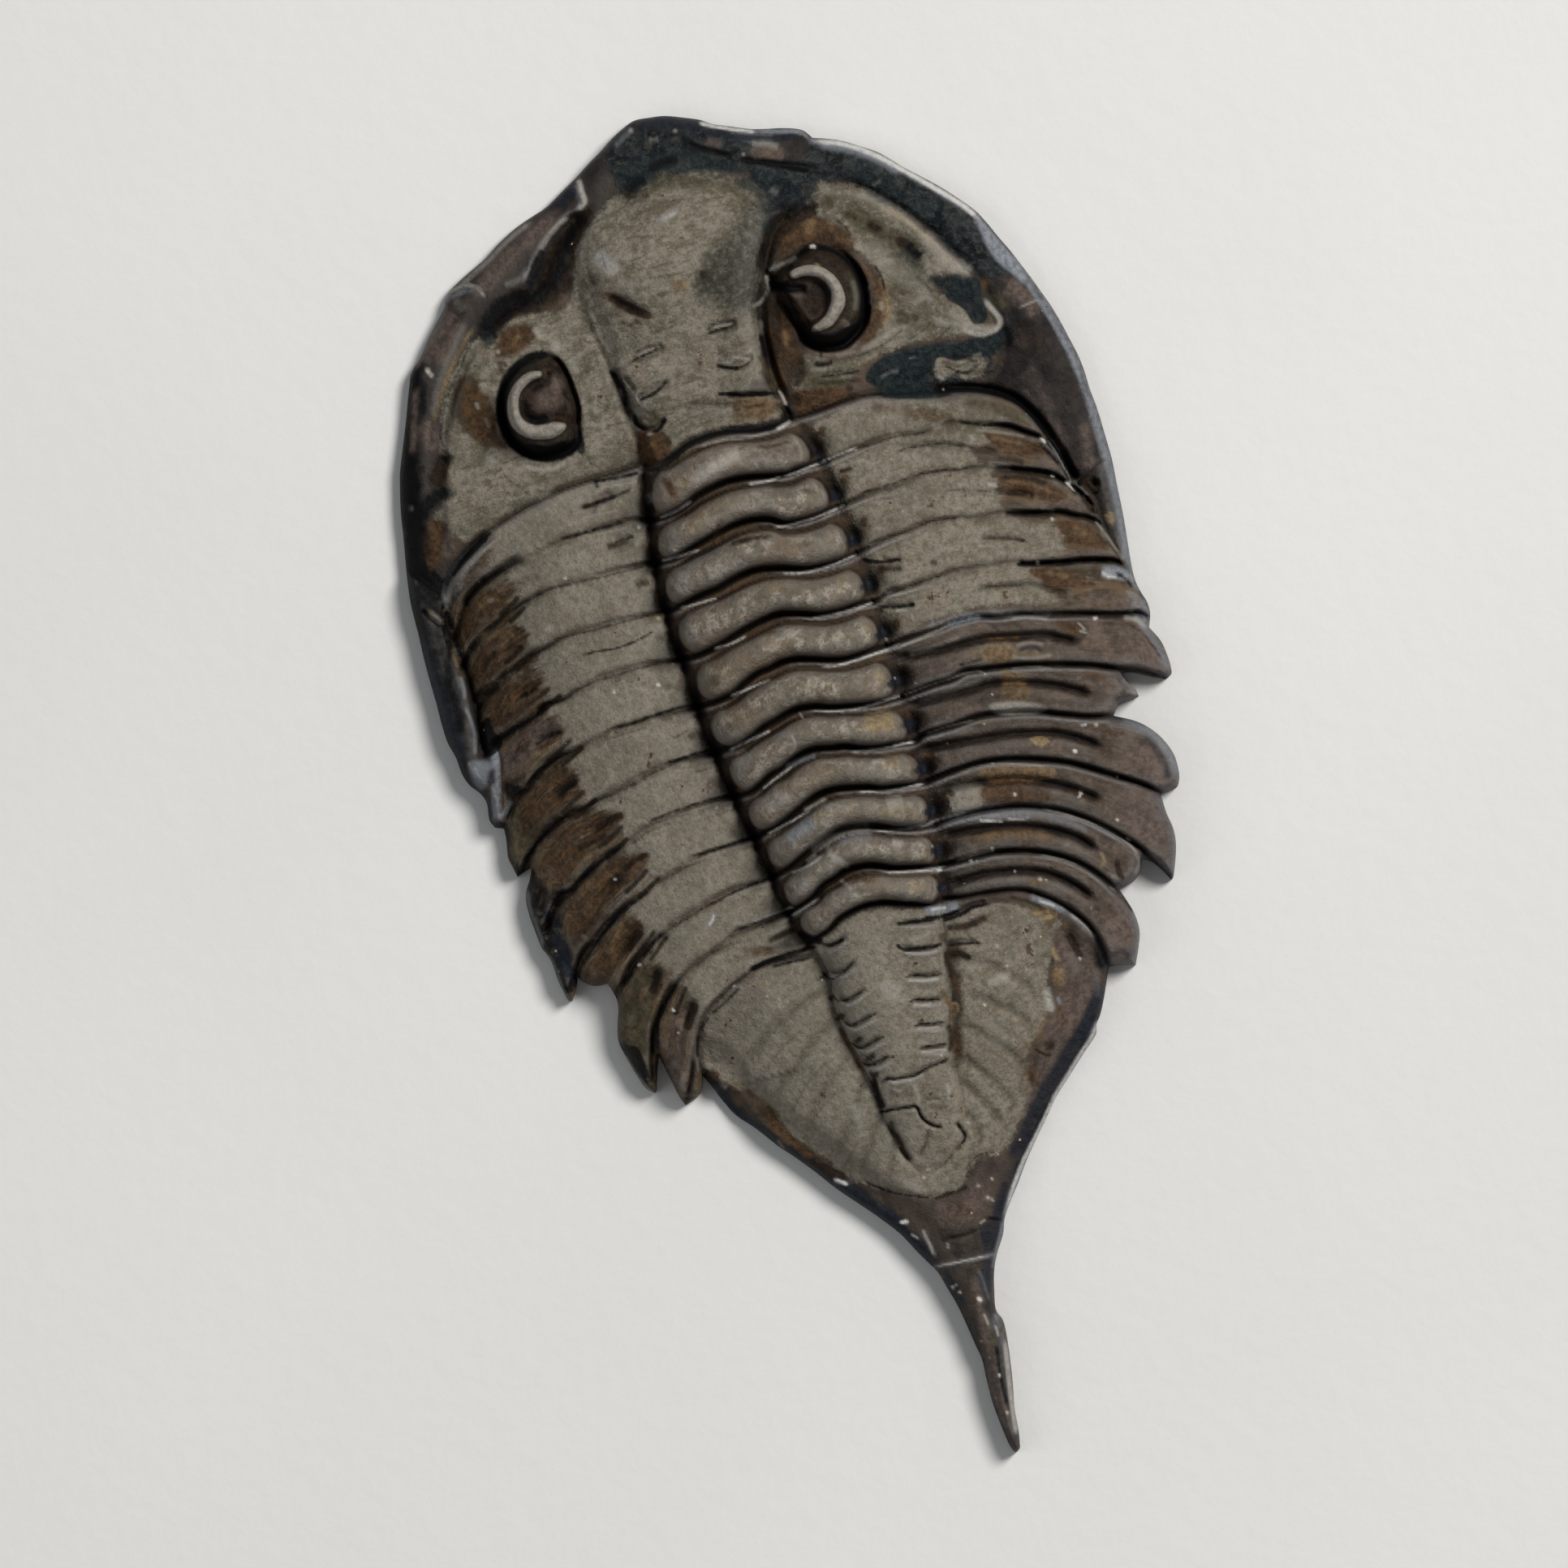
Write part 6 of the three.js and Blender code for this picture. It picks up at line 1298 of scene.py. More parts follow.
# mottling of the right cheek and round its eye
mark("olive", 10, .75, (1040,258), (1062,272), (1085,285), (1108,298), (1130,312))
mark("sepia", 6, .55, (1070,276), (1085,284))
mark("sepia", 7, .60, (1104,296), (1122,306), (1132,318))
mark("sepia", 5, .45, (1044,262), (1056,270))
mark("sand", 6, .40, (1088,256), (1115,272), (1140,292), (1165,316), (1182,330))
mark("olive", 9, .50, (1012,246), (1030,252))
mark("sepia", 10, .80, (948,292), (956,276), (972,268), (990,262))
mark("sepia", 8, .70, (942,318), (948,300))
mark("rust", 12, .80, (975,282), (1000,280), (1024,286), (1046,300))
mark("ochre", 5, .75, (992,270), (998,278), (1004,272))
mark("sepia", 6, .5, (1010,292), (1030,298), (1048,312))
mark("rust", 9, .60, (1070,330), (1080,355), (1082,385), (1074,408), (1062,424))
mark("sand", 6, .55, (1084,372), (1086,384))
mark("olive", 9, .55, (1108,384), (1118,400))
mark("olive", 8, .45, (1100,350), (1120,362))
mark("sepia", 4, .40, (1128,340), (1140,352), (1150,360))
mark("chalk", 6, .40, (1150,395), (1180,400), (1210,405), (1228,402))
mark("rust", 8, .55, (952,400), (956,430), (960,460), (966,482))
mark("olive", 10, .50, (986,470), (1010,472), (1040,470))
mark("rust", 10, .40, (1070,500), (1105,505), (1140,512), (1180,520))
# grey-green mottling on the front of the middle
field("teal", 14, .20, (866,322), (890,300), (925,296), (944,310), (942,345), (934,372), (905,380), (880,376), (862,366), (858,345))
mark("olive", 9, .40, (800,232), (830,226), (860,226), (895,232), (925,250))
mark("teal", 10, .45, (770,214), (790,222), (812,216))
mark("teal", 12, .40, (912,220), (935,236), (945,262), (946,290))
mark("sepia", 6, .30, (866,336), (880,350))
# dark brown inside the head's left border
mark("sepia", 13, .95, (722,262), (708,280), (698,304), (692,330), (682,352), (660,366), (634,376), (612,392), (602,410))
mark("ink", 8, .75, (700,318), (688,340), (672,356), (645,368), (620,384), (606,400))
mark("rust", 4, .75, (716,276), (708,290), (702,306))

field("olive", 6, .40, (574,490), (596,486), (610,505), (606,535), (590,548), (572,520))
mark("ink", 11, .70, (722,264), (708,282), (698,304), (690,330), (680,352), (656,368), (630,380), (608,398))
# brown fingers between the streaks of film on the left rib ends
mark("sepia", 3.2, 0.72, (648,748), (638,758), (628,768))
mark("ochre", 3.0, 0.55, (636,752), (624,763), (612,775))
mark("sepia", 3.6, 0.66, (640,736), (628,748), (616,760))
mark("sand", 2.6, 0.42, (633,736), (617,750), (601,765))
mark("rust", 4.0, 0.70, (632,726), (622,735), (611,746))
mark("sepia", 3.2, 0.72, (656,806), (647,815), (636,826))
mark("ochre", 3.0, 0.55, (646,803), (636,814), (624,827))
mark("sepia", 3.6, 0.66, (645,796), (634,807), (622,818))
mark("sand", 2.6, 0.42, (644,788), (628,803), (612,817))
mark("rust", 4.0, 0.70, (644,780), (630,791), (617,803))
mark("sepia", 3.2, 0.72, (692,856), (678,868), (664,881))
mark("ochre", 3.0, 0.50, (674,860), (658,874), (643,888))
mark("sepia", 3.6, 0.66, (679,847), (663,860), (647,874))
mark("sand", 2.6, 0.42, (660,851), (644,865), (627,880))
mark("rust", 4.0, 0.70, (667,837), (654,848), (640,860))
mark("sepia", 3.2, 0.72, (719,920), (705,933), (692,945))
mark("ochre", 3.0, 0.50, (701,925), (686,939), (670,953))
mark("sepia", 3.6, 0.66, (705,911), (690,925), (674,939))
mark("sand", 2.6, 0.42, (687,916), (671,930), (655,945))
mark("rust", 4.0, 0.70, (693,901), (680,913), (667,925))
mark("sepia", 3.2, 0.72, (736,983), (722,996), (708,1009))
mark("ochre", 3.0, 0.50, (724,982), (709,997), (694,1011))
mark("sepia", 3.6, 0.66, (721,974), (706,988), (691,1003))
mark("sand", 2.6, 0.42, (710,973), (694,988), (678,1003))
mark("rust", 4.0, 0.70, (709,965), (696,977), (684,989))
mark("sepia", 3.2, 0.72, (775,1032), (762,1045), (748,1058))
mark("ochre", 3.0, 0.50, (764,1031), (749,1045), (734,1060))
mark("sepia", 3.6, 0.66, (768,1017), (753,1032), (737,1046))
mark("sand", 2.6, 0.42, (750,1022), (734,1037), (718,1052))
mark("rust", 4.0, 0.70, (756,1008), (743,1020), (730,1032))
mark("sepia", 3.2, 0.72, (814,1080), (801,1093), (787,1106))
mark("ochre", 3.0, 0.50, (803,1079), (788,1094), (773,1109))
mark("sepia", 3.6, 0.66, (799,1071), (785,1086), (770,1101))
mark("sand", 2.6, 0.42, (788,1071), (773,1086), (757,1102))
mark("rust", 4.0, 0.70, (787,1062), (774,1075), (762,1087))
mark("sepia", 3.2, 0.72, (823,1153), (812,1168), (801,1184))
mark("ochre", 3.0, 0.50, (806,1161), (794,1179), (782,1196))
mark("sepia", 3.6, 0.66, (807,1147), (795,1164), (783,1181))
mark("sand", 2.6, 0.42, (790,1156), (778,1174), (765,1192))
mark("rust", 4.0, 0.70, (793,1140), (783,1155), (773,1170))
mark("sepia", 3.2, 0.72, (846,1215), (839,1232), (832,1250))
mark("ochre", 3.0, 0.50, (832,1227), (824,1247), (816,1266))
mark("sepia", 3.6, 0.66, (829,1213), (821,1233), (813,1252))
mark("sand", 2.6, 0.42, (815,1226), (807,1246), (799,1267))
mark("rust", 4.0, 0.70, (814,1210), (807,1227), (801,1243))

# dark brown above the right eye, light brown tail margin
field("sepia", 7, .85, (944,300), (950,276), (966,262), (990,256), (1006,262), (990,272), (970,286), (958,304), (946,326))
field("rose", 8, .62, (1300,1142), (1328,1160), (1346,1195), (1342,1235), (1320,1282), (1292,1335), (1266,1384), (1252,1412), (1262,1370), (1274,1330), (1284,1290), (1296,1245), (1300,1195))
# painted light: a faint pale wash over the shaded slope at the tail's front left corner
mark("chalk", 18, .14, (878,1300), (906,1324))
for rib in TAIL_RIBS:
    mark("olive", 6, .24, *rib)
for p in ([(905,1310),(930,1270),(965,1235)], [(922,1335),(950,1295),(990,1255)], [(960,1385),(985,1335),(1015,1300)], [(980,1405),(1005,1360),(1030,1335)],
          [(1010,1428),(1030,1395),(1045,1365)], [(1030,1440),(1045,1412),(1055,1395)], [(1200,1205),(1235,1218),(1262,1235)], [(1190,1245),(1230,1262),(1262,1285)],
          [(1195,1278),(1225,1298),(1252,1322)], [(1196,1318),(1222,1342),(1242,1368)], [(1192,1345),(1214,1368),(1230,1396)]):
    mark("chalk", 4, .18, *p)
    mark("olive", 3, .26, (p[0][0] + 7, p[0][1] + 4), (p[1][0] + 7, p[1][1] + 4), (p[2][0] + 7, p[2][1] + 4))

# -------------------------------------------------------------------- curves
CA, SA = 0.9684, 0.2493          # the animal's axis is turned 14.4 degrees
MM = 0.04                        # one plan unit


def body(u, v):
    """Plan units along (Y) and across (X) the animal."""
    du, dv = u - 966.0, 966.0 - v
    return CA * du + SA * dv, -SA * du + CA * dv


def spline(p, step=5.0, closed=False):
    p = np.array(p, float)
    n = len(p)
    if closed:
        q, m = np.vstack([p[-1], p, p[0], p[1]]), n
    else:
        q, m = np.vstack([2 * p[0] - p[1], p, 2 * p[-1] - p[-2]]), n - 1
    out = []
    for i in range(m):
        a, b, c, d = q[i:i + 4]
        k = max(1, int(np.ceil(np.hypot(*(c - b)) / step)))
        t = (np.arange(k) / k)[:, None]
        out.append(0.5 * (2 * b + (c - a) * t + (2 * a - 5 * b + 4 * c - d) * t * t + (3 * b - a - 3 * c + d) * t ** 3))
    out = np.vstack(out)
    return out if closed else np.vstack([out, p[-1]])


def cornered(p, step=4.0, turn=38.0):
    """A closed outline, smooth except where it turns sharply."""
    p = np.array(p, float)
    a, b = p - np.roll(p, 1, 0), np.roll(p, -1, 0) - p
    ang = np.degrees(np.abs(np.angle(np.exp(1j * (np.arctan2(b[:, 1], b[:, 0]) - np.arctan2(a[:, 1], a[:, 0]))))))
    k = np.nonzero(ang > turn)[0]
    p = np.roll(p, -k[0], 0)
    k = np.append(k - k[0], len(p))
    p = np.vstack([p, p[0]])
    return np.vstack([spline(p[i:j + 1], step)[:-1] for i, j in zip(k[:-1], k[1:])])


def stroke(u, v, pts, pad, step=5.0):
    """(which points lie within pad, their distance, their place 0..1 along)."""
    c = spline(pts, step) if len(pts) > 2 else np.array(pts, float)
    lo, hi = c.min(0) - pad, c.max(0) + pad
    idx = np.nonzero((u > lo[0]) & (u < hi[0]) & (v > lo[1]) & (v < hi[1]))[0]
    if not len(idx):
        return idx, np.zeros(0), np.zeros(0)
    x, y = u[idx], v[idx]
    best, place = np.full(len(idx), 1e9), np.zeros(len(idx))
    seg = np.hypot(*np.diff(c, axis=0).T)
    cum = np.concatenate([[0], np.cumsum(seg)])
    for i in range(len(c) - 1):
        a, b = c[i], c[i + 1]
        j = np.nonzero((x > min(a[0], b[0]) - pad) & (x < max(a[0], b[0]) + pad) &
                       (y > min(a[1], b[1]) - pad) & (y < max(a[1], b[1]) + pad))[0]
        if not len(j):
            continue
        d = b - a
        t = np.clip(((x[j] - a[0]) * d[0] + (y[j] - a[1]) * d[1]) / max(d @ d, 1e-9), 0, 1)
        r = np.hypot(x[j] - a[0] - t * d[0], y[j] - a[1] - t * d[1])
        m = r < best[j]
        best[j[m]] = r[m]
        place[j[m]] = (cum[i] + t[m] * seg[i]) / cum[-1]
    k = best < pad
    return idx[k], best[k], place[k]


def inside(u, v, c, cap=200.0):
    """Signed distance to a closed polygon, positive inside, capped."""
    out = np.full(u.shape, -cap)
    lo, hi = c.min(0) - cap, c.max(0) + cap
    idx = np.nonzero((u > lo[0]) & (u < hi[0]) & (v > lo[1]) & (v < hi[1]))[0]
    if not len(idx):
        return out
    x, y = u[idx], v[idx]
    best, ins = np.full(len(idx), cap * cap), np.zeros(len(idx), bool)
    order = np.argsort(y, kind="stable")
    ys = y[order]
    for i in range(len(c)):
        a, b = c[i], c[(i + 1) % len(c)]
        lo_y, hi_y = min(a[1], b[1]), max(a[1], b[1])
        rows = order[np.searchsorted(ys, lo_y - cap):np.searchsorted(ys, hi_y + cap, "right")]
        j = rows[(x[rows] > min(a[0], b[0]) - cap) & (x[rows] < max(a[0], b[0]) + cap)]
        if len(j):
            d = b - a
            t = np.clip(((x[j] - a[0]) * d[0] + (y[j] - a[1]) * d[1]) / max(d @ d, 1e-9), 0, 1)
            best[j] = np.minimum(best[j], (x[j] - a[0] - t * d[0]) ** 2 + (y[j] - a[1] - t * d[1]) ** 2)
        if a[1] != b[1]:
            rows = order[np.searchsorted(ys, lo_y):np.searchsorted(ys, hi_y)]
            xs = (b[0] - a[0]) * (y[rows] - a[1]) / (b[1] - a[1]) + a[0]
            ins[rows] ^= x[rows] < xs
    d = np.sqrt(best)
    out[idx] = np.where(ins, d, -d)
    return out


def ss(x, a, b):
    t = np.clip((x - a) / (b - a), 0, 1)
    return t * t * (3 - 2 * t)


def dome(t):
    return np.sqrt(np.maximum(0, 1 - (1 - np.clip(t, 0, 1)) ** 2))


def bump(x, c, w):
    return np.exp(-((x - c) / w) ** 2)


def smax(a, b, k):
    h = np.clip(0.5 + 0.5 * (a - b) / k, 0, 1)
    return b + (a - b) * h + k * h * (1 - h)


def along_y(pts):
    X, Y = body(*spline(pts).T)
    o = np.argsort(Y)
    return Y[o], X[o]


def along_x(pts):
    X, Y = body(*spline(pts).T)
    o = np.argsort(X)
    return X[o], Y[o]


def noise(u, v, size, seed):
    """Smooth value noise, -1..1, from a seeded table."""
    table = np.random.default_rng(seed).uniform(-1, 1, (64, 64))
    x, y = u / size, v / size
    i, j = np.floor(x).astype(int), np.floor(y).astype(int)
    fx, fy = x - i, y - j
    fx, fy = fx * fx * (3 - 2 * fx), fy * fy * (3 - 2 * fy)
    at = lambda a, b: table[a % 64, b % 64]
    return ((at(i, j) * (1 - fx) + at(i + 1, j) * fx) * (1 - fy) +
            (at(i, j + 1) * (1 - fx) + at(i + 1, j + 1) * fx) * fy)


OUTLINE = cornered(OUT)
HEAD_EDGE, TAIL_EDGE = spline(HEADP, 5, True), spline(TAILP, 5, True)
LINES = [along_x(b) for b in B]
YL, XL = along_y(AXL)
YR, XR = along_y(AXR)
YML, XML = along_y(MGL)
YMR, XMR = along_y(MGR)
# height of the inner side fields along the body, in plan units and mm
FIELD = ([-870, -780, -700, -600, -520, -400, -300, -200, -60, 100, 250, 400, 520, 620, 700, 760, 830],
         [1.0, 1.35, 1.7, 2.3, 2.9, 3.7, 4.3, 4.8, 5.2, 5.4, 5.3, 5.0, 4.6, 4.0, 3.2, 2.4, 1.8])
AXIS = ([-560, -505, -470, -420, -300, -200, 0, 250, 500], [0.0, 0.12, 0.60, 1.15, 1.75, 2.0, 2.1, 2.1, 1.9])


# -------------------------------------------------------------------- relief
def relief(u, v):
    """Height in mm over the flat base, and what the materials need."""
    X, Y = body(u, v)
    sd = inside(u, v, OUTLINE, 60.0)
    s_head, s_tail = inside(u, v, HEAD_EDGE, 30.0), inside(u, v, TAIL_EDGE, 30.0)
    head, tail = ss(s_head, -3, 3), ss(s_tail, -3, 3)
    xl, xr = np.interp(Y, YL, XL), np.interp(Y, YR, XR)
    ml, mr = np.interp(Y, YML, XML), np.interp(Y, YMR, XMR)
    xc, a = (xl + xr) / 2, np.maximum((xr - xl) / 2, 2.0)
    q = (X - xc) / a
    aq = np.abs(q)
    right = ss(q, -0.1, 0.1)
    pl = np.where(q < 0, np.clip((xl - X) / np.maximum(xl - ml, 4), 0, 1.3), np.clip((X - xr) / np.maximum(mr - xr, 4), 0, 1.3))
    # segments
    yb = np.stack([np.interp(X, bx, by) for bx, by in LINES], 1)
    slope = np.stack([np.interp(X, bx, np.gradient(by, bx + np.arange(len(bx)) * 1e-6)) for bx, by in LINES], 1)
    dd = (yb - Y[:, None]) / np.sqrt(1 + np.clip(slope, -3, 3) ** 2)      # > 0 behind a line
    F = np.clip(dd[:, :-1] / np.maximum(dd[:, :-1] - dd[:, 1:], 1e-3), 0, 1).sum(1)
    k = np.clip(np.floor(F), 0, 10)
    f = F - k
    th = ss(s_head, 3, -3) * ss(s_tail, 3, -3)
    near = np.full(len(u), 40.0)
    which = np.zeros(len(u), int)
    for i, b in enumerate(B):
        j, d, _ = stroke(u, v, b, 24.0)
        m = d < near[j]
        near[j[m]] = d[m]
        which[j[m]] = i
    genal = np.maximum(inside(u, v, spline(GENAL_L, 5, True), 30.0), inside(u, v, spline(GENAL_R, 5, True), 30.0))
    on_line = ss(genal, 2, -3) * np.where(which == 0, ss(s_tail, 3, -3), np.where(which == 11, ss(s_head, 3, -3), th))
    # vault
    zin = np.interp(Y, *FIELD)
    vault = 1.5 + (zin - 1.5) * (1 - np.clip(pl, 0, 1) ** 2.1)
    axis = np.interp(Y, *AXIS) * np.sqrt(np.clip(1 - q * q, 0, 1))
    inax = ss(aq, 1.03, 0.93)
    z = vault + axis

    # ---- thorax: a rounded bar on each ring, steep behind and softer in front
    front = 0.42 + 0.05 * ss(q, -0.3, -0.75)
    g1 = np.where(f < 0.64, (0.64 - f) / front, (f - 0.64) / 0.335)
    g2 = np.maximum(0, aq - np.where(q < 0, 0.79, 0.82)) / 0.17
    D = np.sqrt(g1 ** 2 + g2 ** 2)
    bar = np.clip(1 - D ** 2.1, 0, 1) ** 0.62 * th
    z = z + 1.12 * bar - 0.30 * inax * th * (1 - ss(bar, 0, .5))
    # articulating edge just behind each line, clear on the right half
    back = np.where(dd[np.arange(len(u)), which] > 0, near, -near)
    edge = bump(back, 6.5, 2.6) * th
    strong = ss(q, 0.0, 0.35) * ss(pl, .42, .05) * np.where(which >= 8, 1.0, 0.75)
    strong = np.maximum(strong, 0.8 * right * ss(F, 5.0, 5.1) * ss(pl, .95, .6) * (0.55 + 0.45 * noise(u, v, 60, 5)))
    weak = ss(q, -0.62, -0.8) * ss(pl, .10, .02) * 0.5
    crest = edge * np.clip(strong + weak, 0, 1) * np.where(which == 11, 0, 1)
    z = z + 0.30 * crest
    # axial furrows, with a pit at each end of a bar
    zf = np.interp(Y, [-505, -460, -400, -160, -100, 380, 460], [0, 0.25, .5, .7, 1.0, 1.0, .5])
    mid = bump(f, 0.66, 0.27)
    fr = (0.30 * bump(X - xr, 2, 10) + 0.62 * bump(X - xr, 8, 14) * mid * th) * zf
    joint = 0.5 + 0.5 * np.cos(2 * np.pi * (f - 0.97))
    fl = (0.32 * bump(X - xl, -1, 8) + 0.45 * bump(X - xl, -1, 8) * (0.35 + 0.65 * joint) * th) * zf
    fr, fl = fr * (1 - head), fl * (1 - head)
    z = z - (fr + fl) * (1 - 0.35 * tail)
    # side ribs
    late = right * ss(F, 4.93, 5.05)
    outer = np.where(q > 0, ss(pl, .50, .72), ss(pl, .46, .68))
    out = (1 - inax) * th
    bands = out * np.maximum(late, outer * np.where(q > 0, .8, .85))
    furrow_d = np.full(len(u), 60.0)
    for p, w, d, e in FURROWS[:29]:
        j, r, pc = stroke(u, v, p, 40.0)
        furrow_d[j] = np.minimum(furrow_d[j], r + 26 * (1 - ss(pc, 0, .10) * ss(pc, 1, .90)))
    crease = np.minimum(near, np.where(late > .5, furrow_d, furrow_d + 4))
    rounded = dome((np.hypot(crease, 2.6) - 1.2) / 15.0)
    z = z + bands * np.where(q < 0, 0.24, 0.44) * (rounded - 0.75)
    z = z + (f - 0.5) * ss(near, 0, 5) * out * np.where(q > 0, 0.22 + 0.10 * late, 0.24)
    # lines between the segments
    inner_l = 0.15 + 0.14 * ss(pl, .32, .02)
    depth = np.where(aq < 1.03, 0.62, np.where(q > 0, np.maximum(0.18 + 0.28 * ss(pl, .25, 0.0), 0.58 * np.maximum(late, outer)),
                                              np.maximum(inner_l, 0.44 * outer)))
    fade = np.where(q < 0, ss(pl, .30, .12) + ss(pl, .55, .75), ss(pl, .34, .20) + ss(pl, .40, .55))
    depth = np.where((aq > 1.03) & (which > 0) & (which < 3) & (outer < .5), depth * np.clip(0.35 + 0.65 * fade, 0, 1), depth)
    depth = np.where(which == 11, np.where(q < -1, 0.20, np.where(q < 1, .45, .40)), depth)
    depth = np.where(which == 0, np.where(q < -1, 0.18, np.where(q < 1, .9, .25)), depth)
    width = np.where(aq < 1.03, 3.1, np.where(q > 0, 2.7 + 0.3 * late, 2.5 + 0.3 * outer))
    depth = depth * (1 + 0.25 * noise(u, v, 21, 11) * (aq > 1.03))
    line = np.exp(-(near / width) ** 2) * on_line
    z = z - depth * line

    # ---- head: low flanks, a softly raised middle, two turret eyes
    cl, cr = inside(u, v, spline(CHL, 6, True), 120.0), inside(u, v, spline(CHR, 6, True), 120.0)
    gl, fro = inside(u, v, spline(GLAB, 6, True), 110.0), inside(u, v, spline(FRONTAL, 6, True), 110.0)
    oc = inside(u, v, spline(OCC, 6, True), 30.0)
    flat = 34 + 22 * ss(u, 1000, 1150) + 22 * bump(u, 880, 130) * ss(v, 330, 240)
    mass = ss(sd - flat, -6, 74)
    border = 1.15 + 0.35 * ss(sd, 4, 30)
    hv = np.maximum(1.5 + (zin - 1.5) * (1 - np.clip(pl, 0, 1) ** 2.1), border + 0.3)
    zh = border + (hv - border) * mass
    zh = zh + 0.20 * ss(np.maximum(np.maximum(cl, cr), gl), -3, 4) * ss(s_head, 12, 36)
    zh = zh - 0.16 * bump(np.maximum(cl, cr), -7, 5) * ss(s_head, 12, 36) * ss(gl, 0, -10) * ss(u, 800, 900)
    lobe = np.clip(1 - ((u - 838) / 150.0) ** 2 - ((v - 318) / 128.0) ** 2, 0, 1)
    lefty = ss(u, 900, 790)
    zh = zh + 0.50 * ss(gl, -8 - 34 * lefty, 30 + 30 * lefty) + 0.45 * ss(fro, -4 - 20 * lefty, 60) + 1.05 * lobe * ss(gl, -10 - 24 * lefty, 30 + 20 * lefty)
    # right of the middle the furrow by the eye is a clear step, left it is soft
    zh = zh + 0.55 * ss(gl, -2, 14) * ss(u, 880, 925) * ss(v, 250, 300)
    zh = zh + 0.45 * ss(gl, -2, 24) * ss(v, 430, 500) * ss(v, 575, 540) + 0.40 * dome(oc / 13.0) * ss(oc, 0, 3)
    # the middle carries on into the rings behind it
    zh = zh + (vault + axis - zh) * ss(s_head, 46, 6) * ss(aq, 1.0, 0.8) * 0.45
    spine = inside(u, v, spline(GENAL_L, 5, True), 60.0)
    spine = np.maximum(spine, inside(u, v, spline(GENAL_R, 5, True), 60.0))
    zs = 1.15 + 0.75 * dome(np.minimum(spine + 4, sd) / 24.0)
    zh = zh + (zs - zh) * ss(spine, -4, 4) * 0.9
    # ring: where the shader paints shade in the moat round each eye, heavier on one side of it
    ring = np.zeros(len(u))
    for EY, CR, LO, (cx, cy), (wx, wy), w0 in ((EYEL, CREL, LOBL, (668, 503), (-.50, .55), .50), (EYER, CRER, LOBR, (1012, 368), (.55, .44), .52)):
        e, c = inside(u, v, spline(EY, 4, True), 60.0), inside(u, v, spline(CR, 3, True), 40.0)
        lo = inside(u, v, spline(LO, 4, True), 40.0)
        side = np.clip(w0 + (wx * (u - cx) + wy * (v - cy)) / 55.0, 0.12, 1.1)
        zh = zh - 0.85 * bump(e, 5, 5.5) * ss(e, -4, 2) * side
        zh = zh + 1.45 * ss(e, 4, 20)
        zh = zh + 0.50 * np.sqrt(np.clip(np.clip(c + 1.5, 0, 9) / 8.0, 0, 1)) * ss(c, -2.5, 1.5)
        zh = zh - 0.55 * ss(lo, -1, 7) + 0.50 * dome((lo - 4) / 22.0)
        ring = np.maximum(ring, ss(e, -1.5, 3) * ss(e, 17, 8) * side)
    z = z * (1 - head) + zh * head

    # ---- tail plate
    zt = vault - 0.25 + axis - (fr + fl) * 0.65
    # the front left corner lies low, behind the last rib
    zt = zt - 1.0 * np.exp(-(((u - 874) / 74.0) ** 2 + ((v - 1306) / 84.0) ** 2))
    bdr = ss(sd, 10, 54)
    zt = np.where(zt > 1.4, 1.4 + bdr * (zt - 1.4), zt)
    spike = ss(Y, -560, -640)
    zt = zt * (1 - spike) + (1.0 + 0.9 * dome(sd / 26.0)) * spike
    zt = zt - depth * np.where(which == 11, line, 0)
    z = z * (1 - tail) + zt * tail

    # ---- furrows, slits and cracks
    groove = np.zeros(len(u))
    for p, w, d, e in FURROWS:
        j, r, pc = stroke(u, v, p, w * 2.6)
        s = np.exp(-(r / w) ** 2) * ss(pc, 0, e) * ss(pc, 1, 1 - e)
        z[j] -= d * s
        if d > 0:
            groove[j] = np.maximum(groove[j], s * min(1, d / .42))
        else:
            crest[j] = np.maximum(crest[j], s * min(1, -d / .14))
    # natural unevenness
    z = z + 0.045 * noise(u, v, 34, 1) + 0.028 * noise(u, v, 13, 2) + 0.014 * noise(u, v, 6, 3)
    # rounded rim
    rim = np.interp(Y, [-870, -600, 0, 830], [9, 12, 13, 12])
    z = np.maximum(0.45 + (z - 0.45) * dome(sd / rim), 0.3)
    groove = np.where((q < -1) & (th > .5), 0.6 * groove, groove) * (1 - 0.45 * tail)
    masks = dict(line=line * np.clip(depth / np.where(q < -1, .42, .55), np.where(q < -1, .32, .22), 1), groove=groove, bar=bar, crest=crest,
                 pit=np.clip(bump(X - xr, 7, 12) * (ss(f, .34, .64) * .92 + 0.30 * ss(f, .02, .40) * ss(f, .62, .30)) * ss(f, 1.0, .78) * th + bump(X - xl, -1, 6.5) * (0.30 + 0.70 * joint) * th + np.where(q < 0, 0.60, 0.45) * ss(aq, .86, .98) * (1 - ss(bar, 0, .45)) * inax * th, 0, 1) * zf * (1 - head),
                 chan=inax * th * (1 - ss(bar, 0, .6)), late=late * out, outer=outer * out * (1 - late), inax=inax * th,
                 head=head, tail=tail, border=ss(np.maximum(np.maximum(cl, cr), gl), 6, -10) * head,
                 ring=ring, seg=F, f=f, near=near, pl=pl, left=1 - right, tailrim=tail * ss(sd, 30, 10), q=q)
    return z, sd, s_head, s_tail, masks


def zones(u, v, shapes, cap=14.0):
    """Signed distance to the nearest of some drawn areas, in plan units."""
    out = np.full(len(u), -cap)
    for s in shapes:
        if isinstance(s, tuple):
            j, r, _ = stroke(u, v, s[0], s[1] + cap, 4.0)
            out[j] = np.maximum(out[j], s[1] - r)
        else:
            out = np.maximum(out, inside(u, v, spline(s, 5, True), cap))
    return out


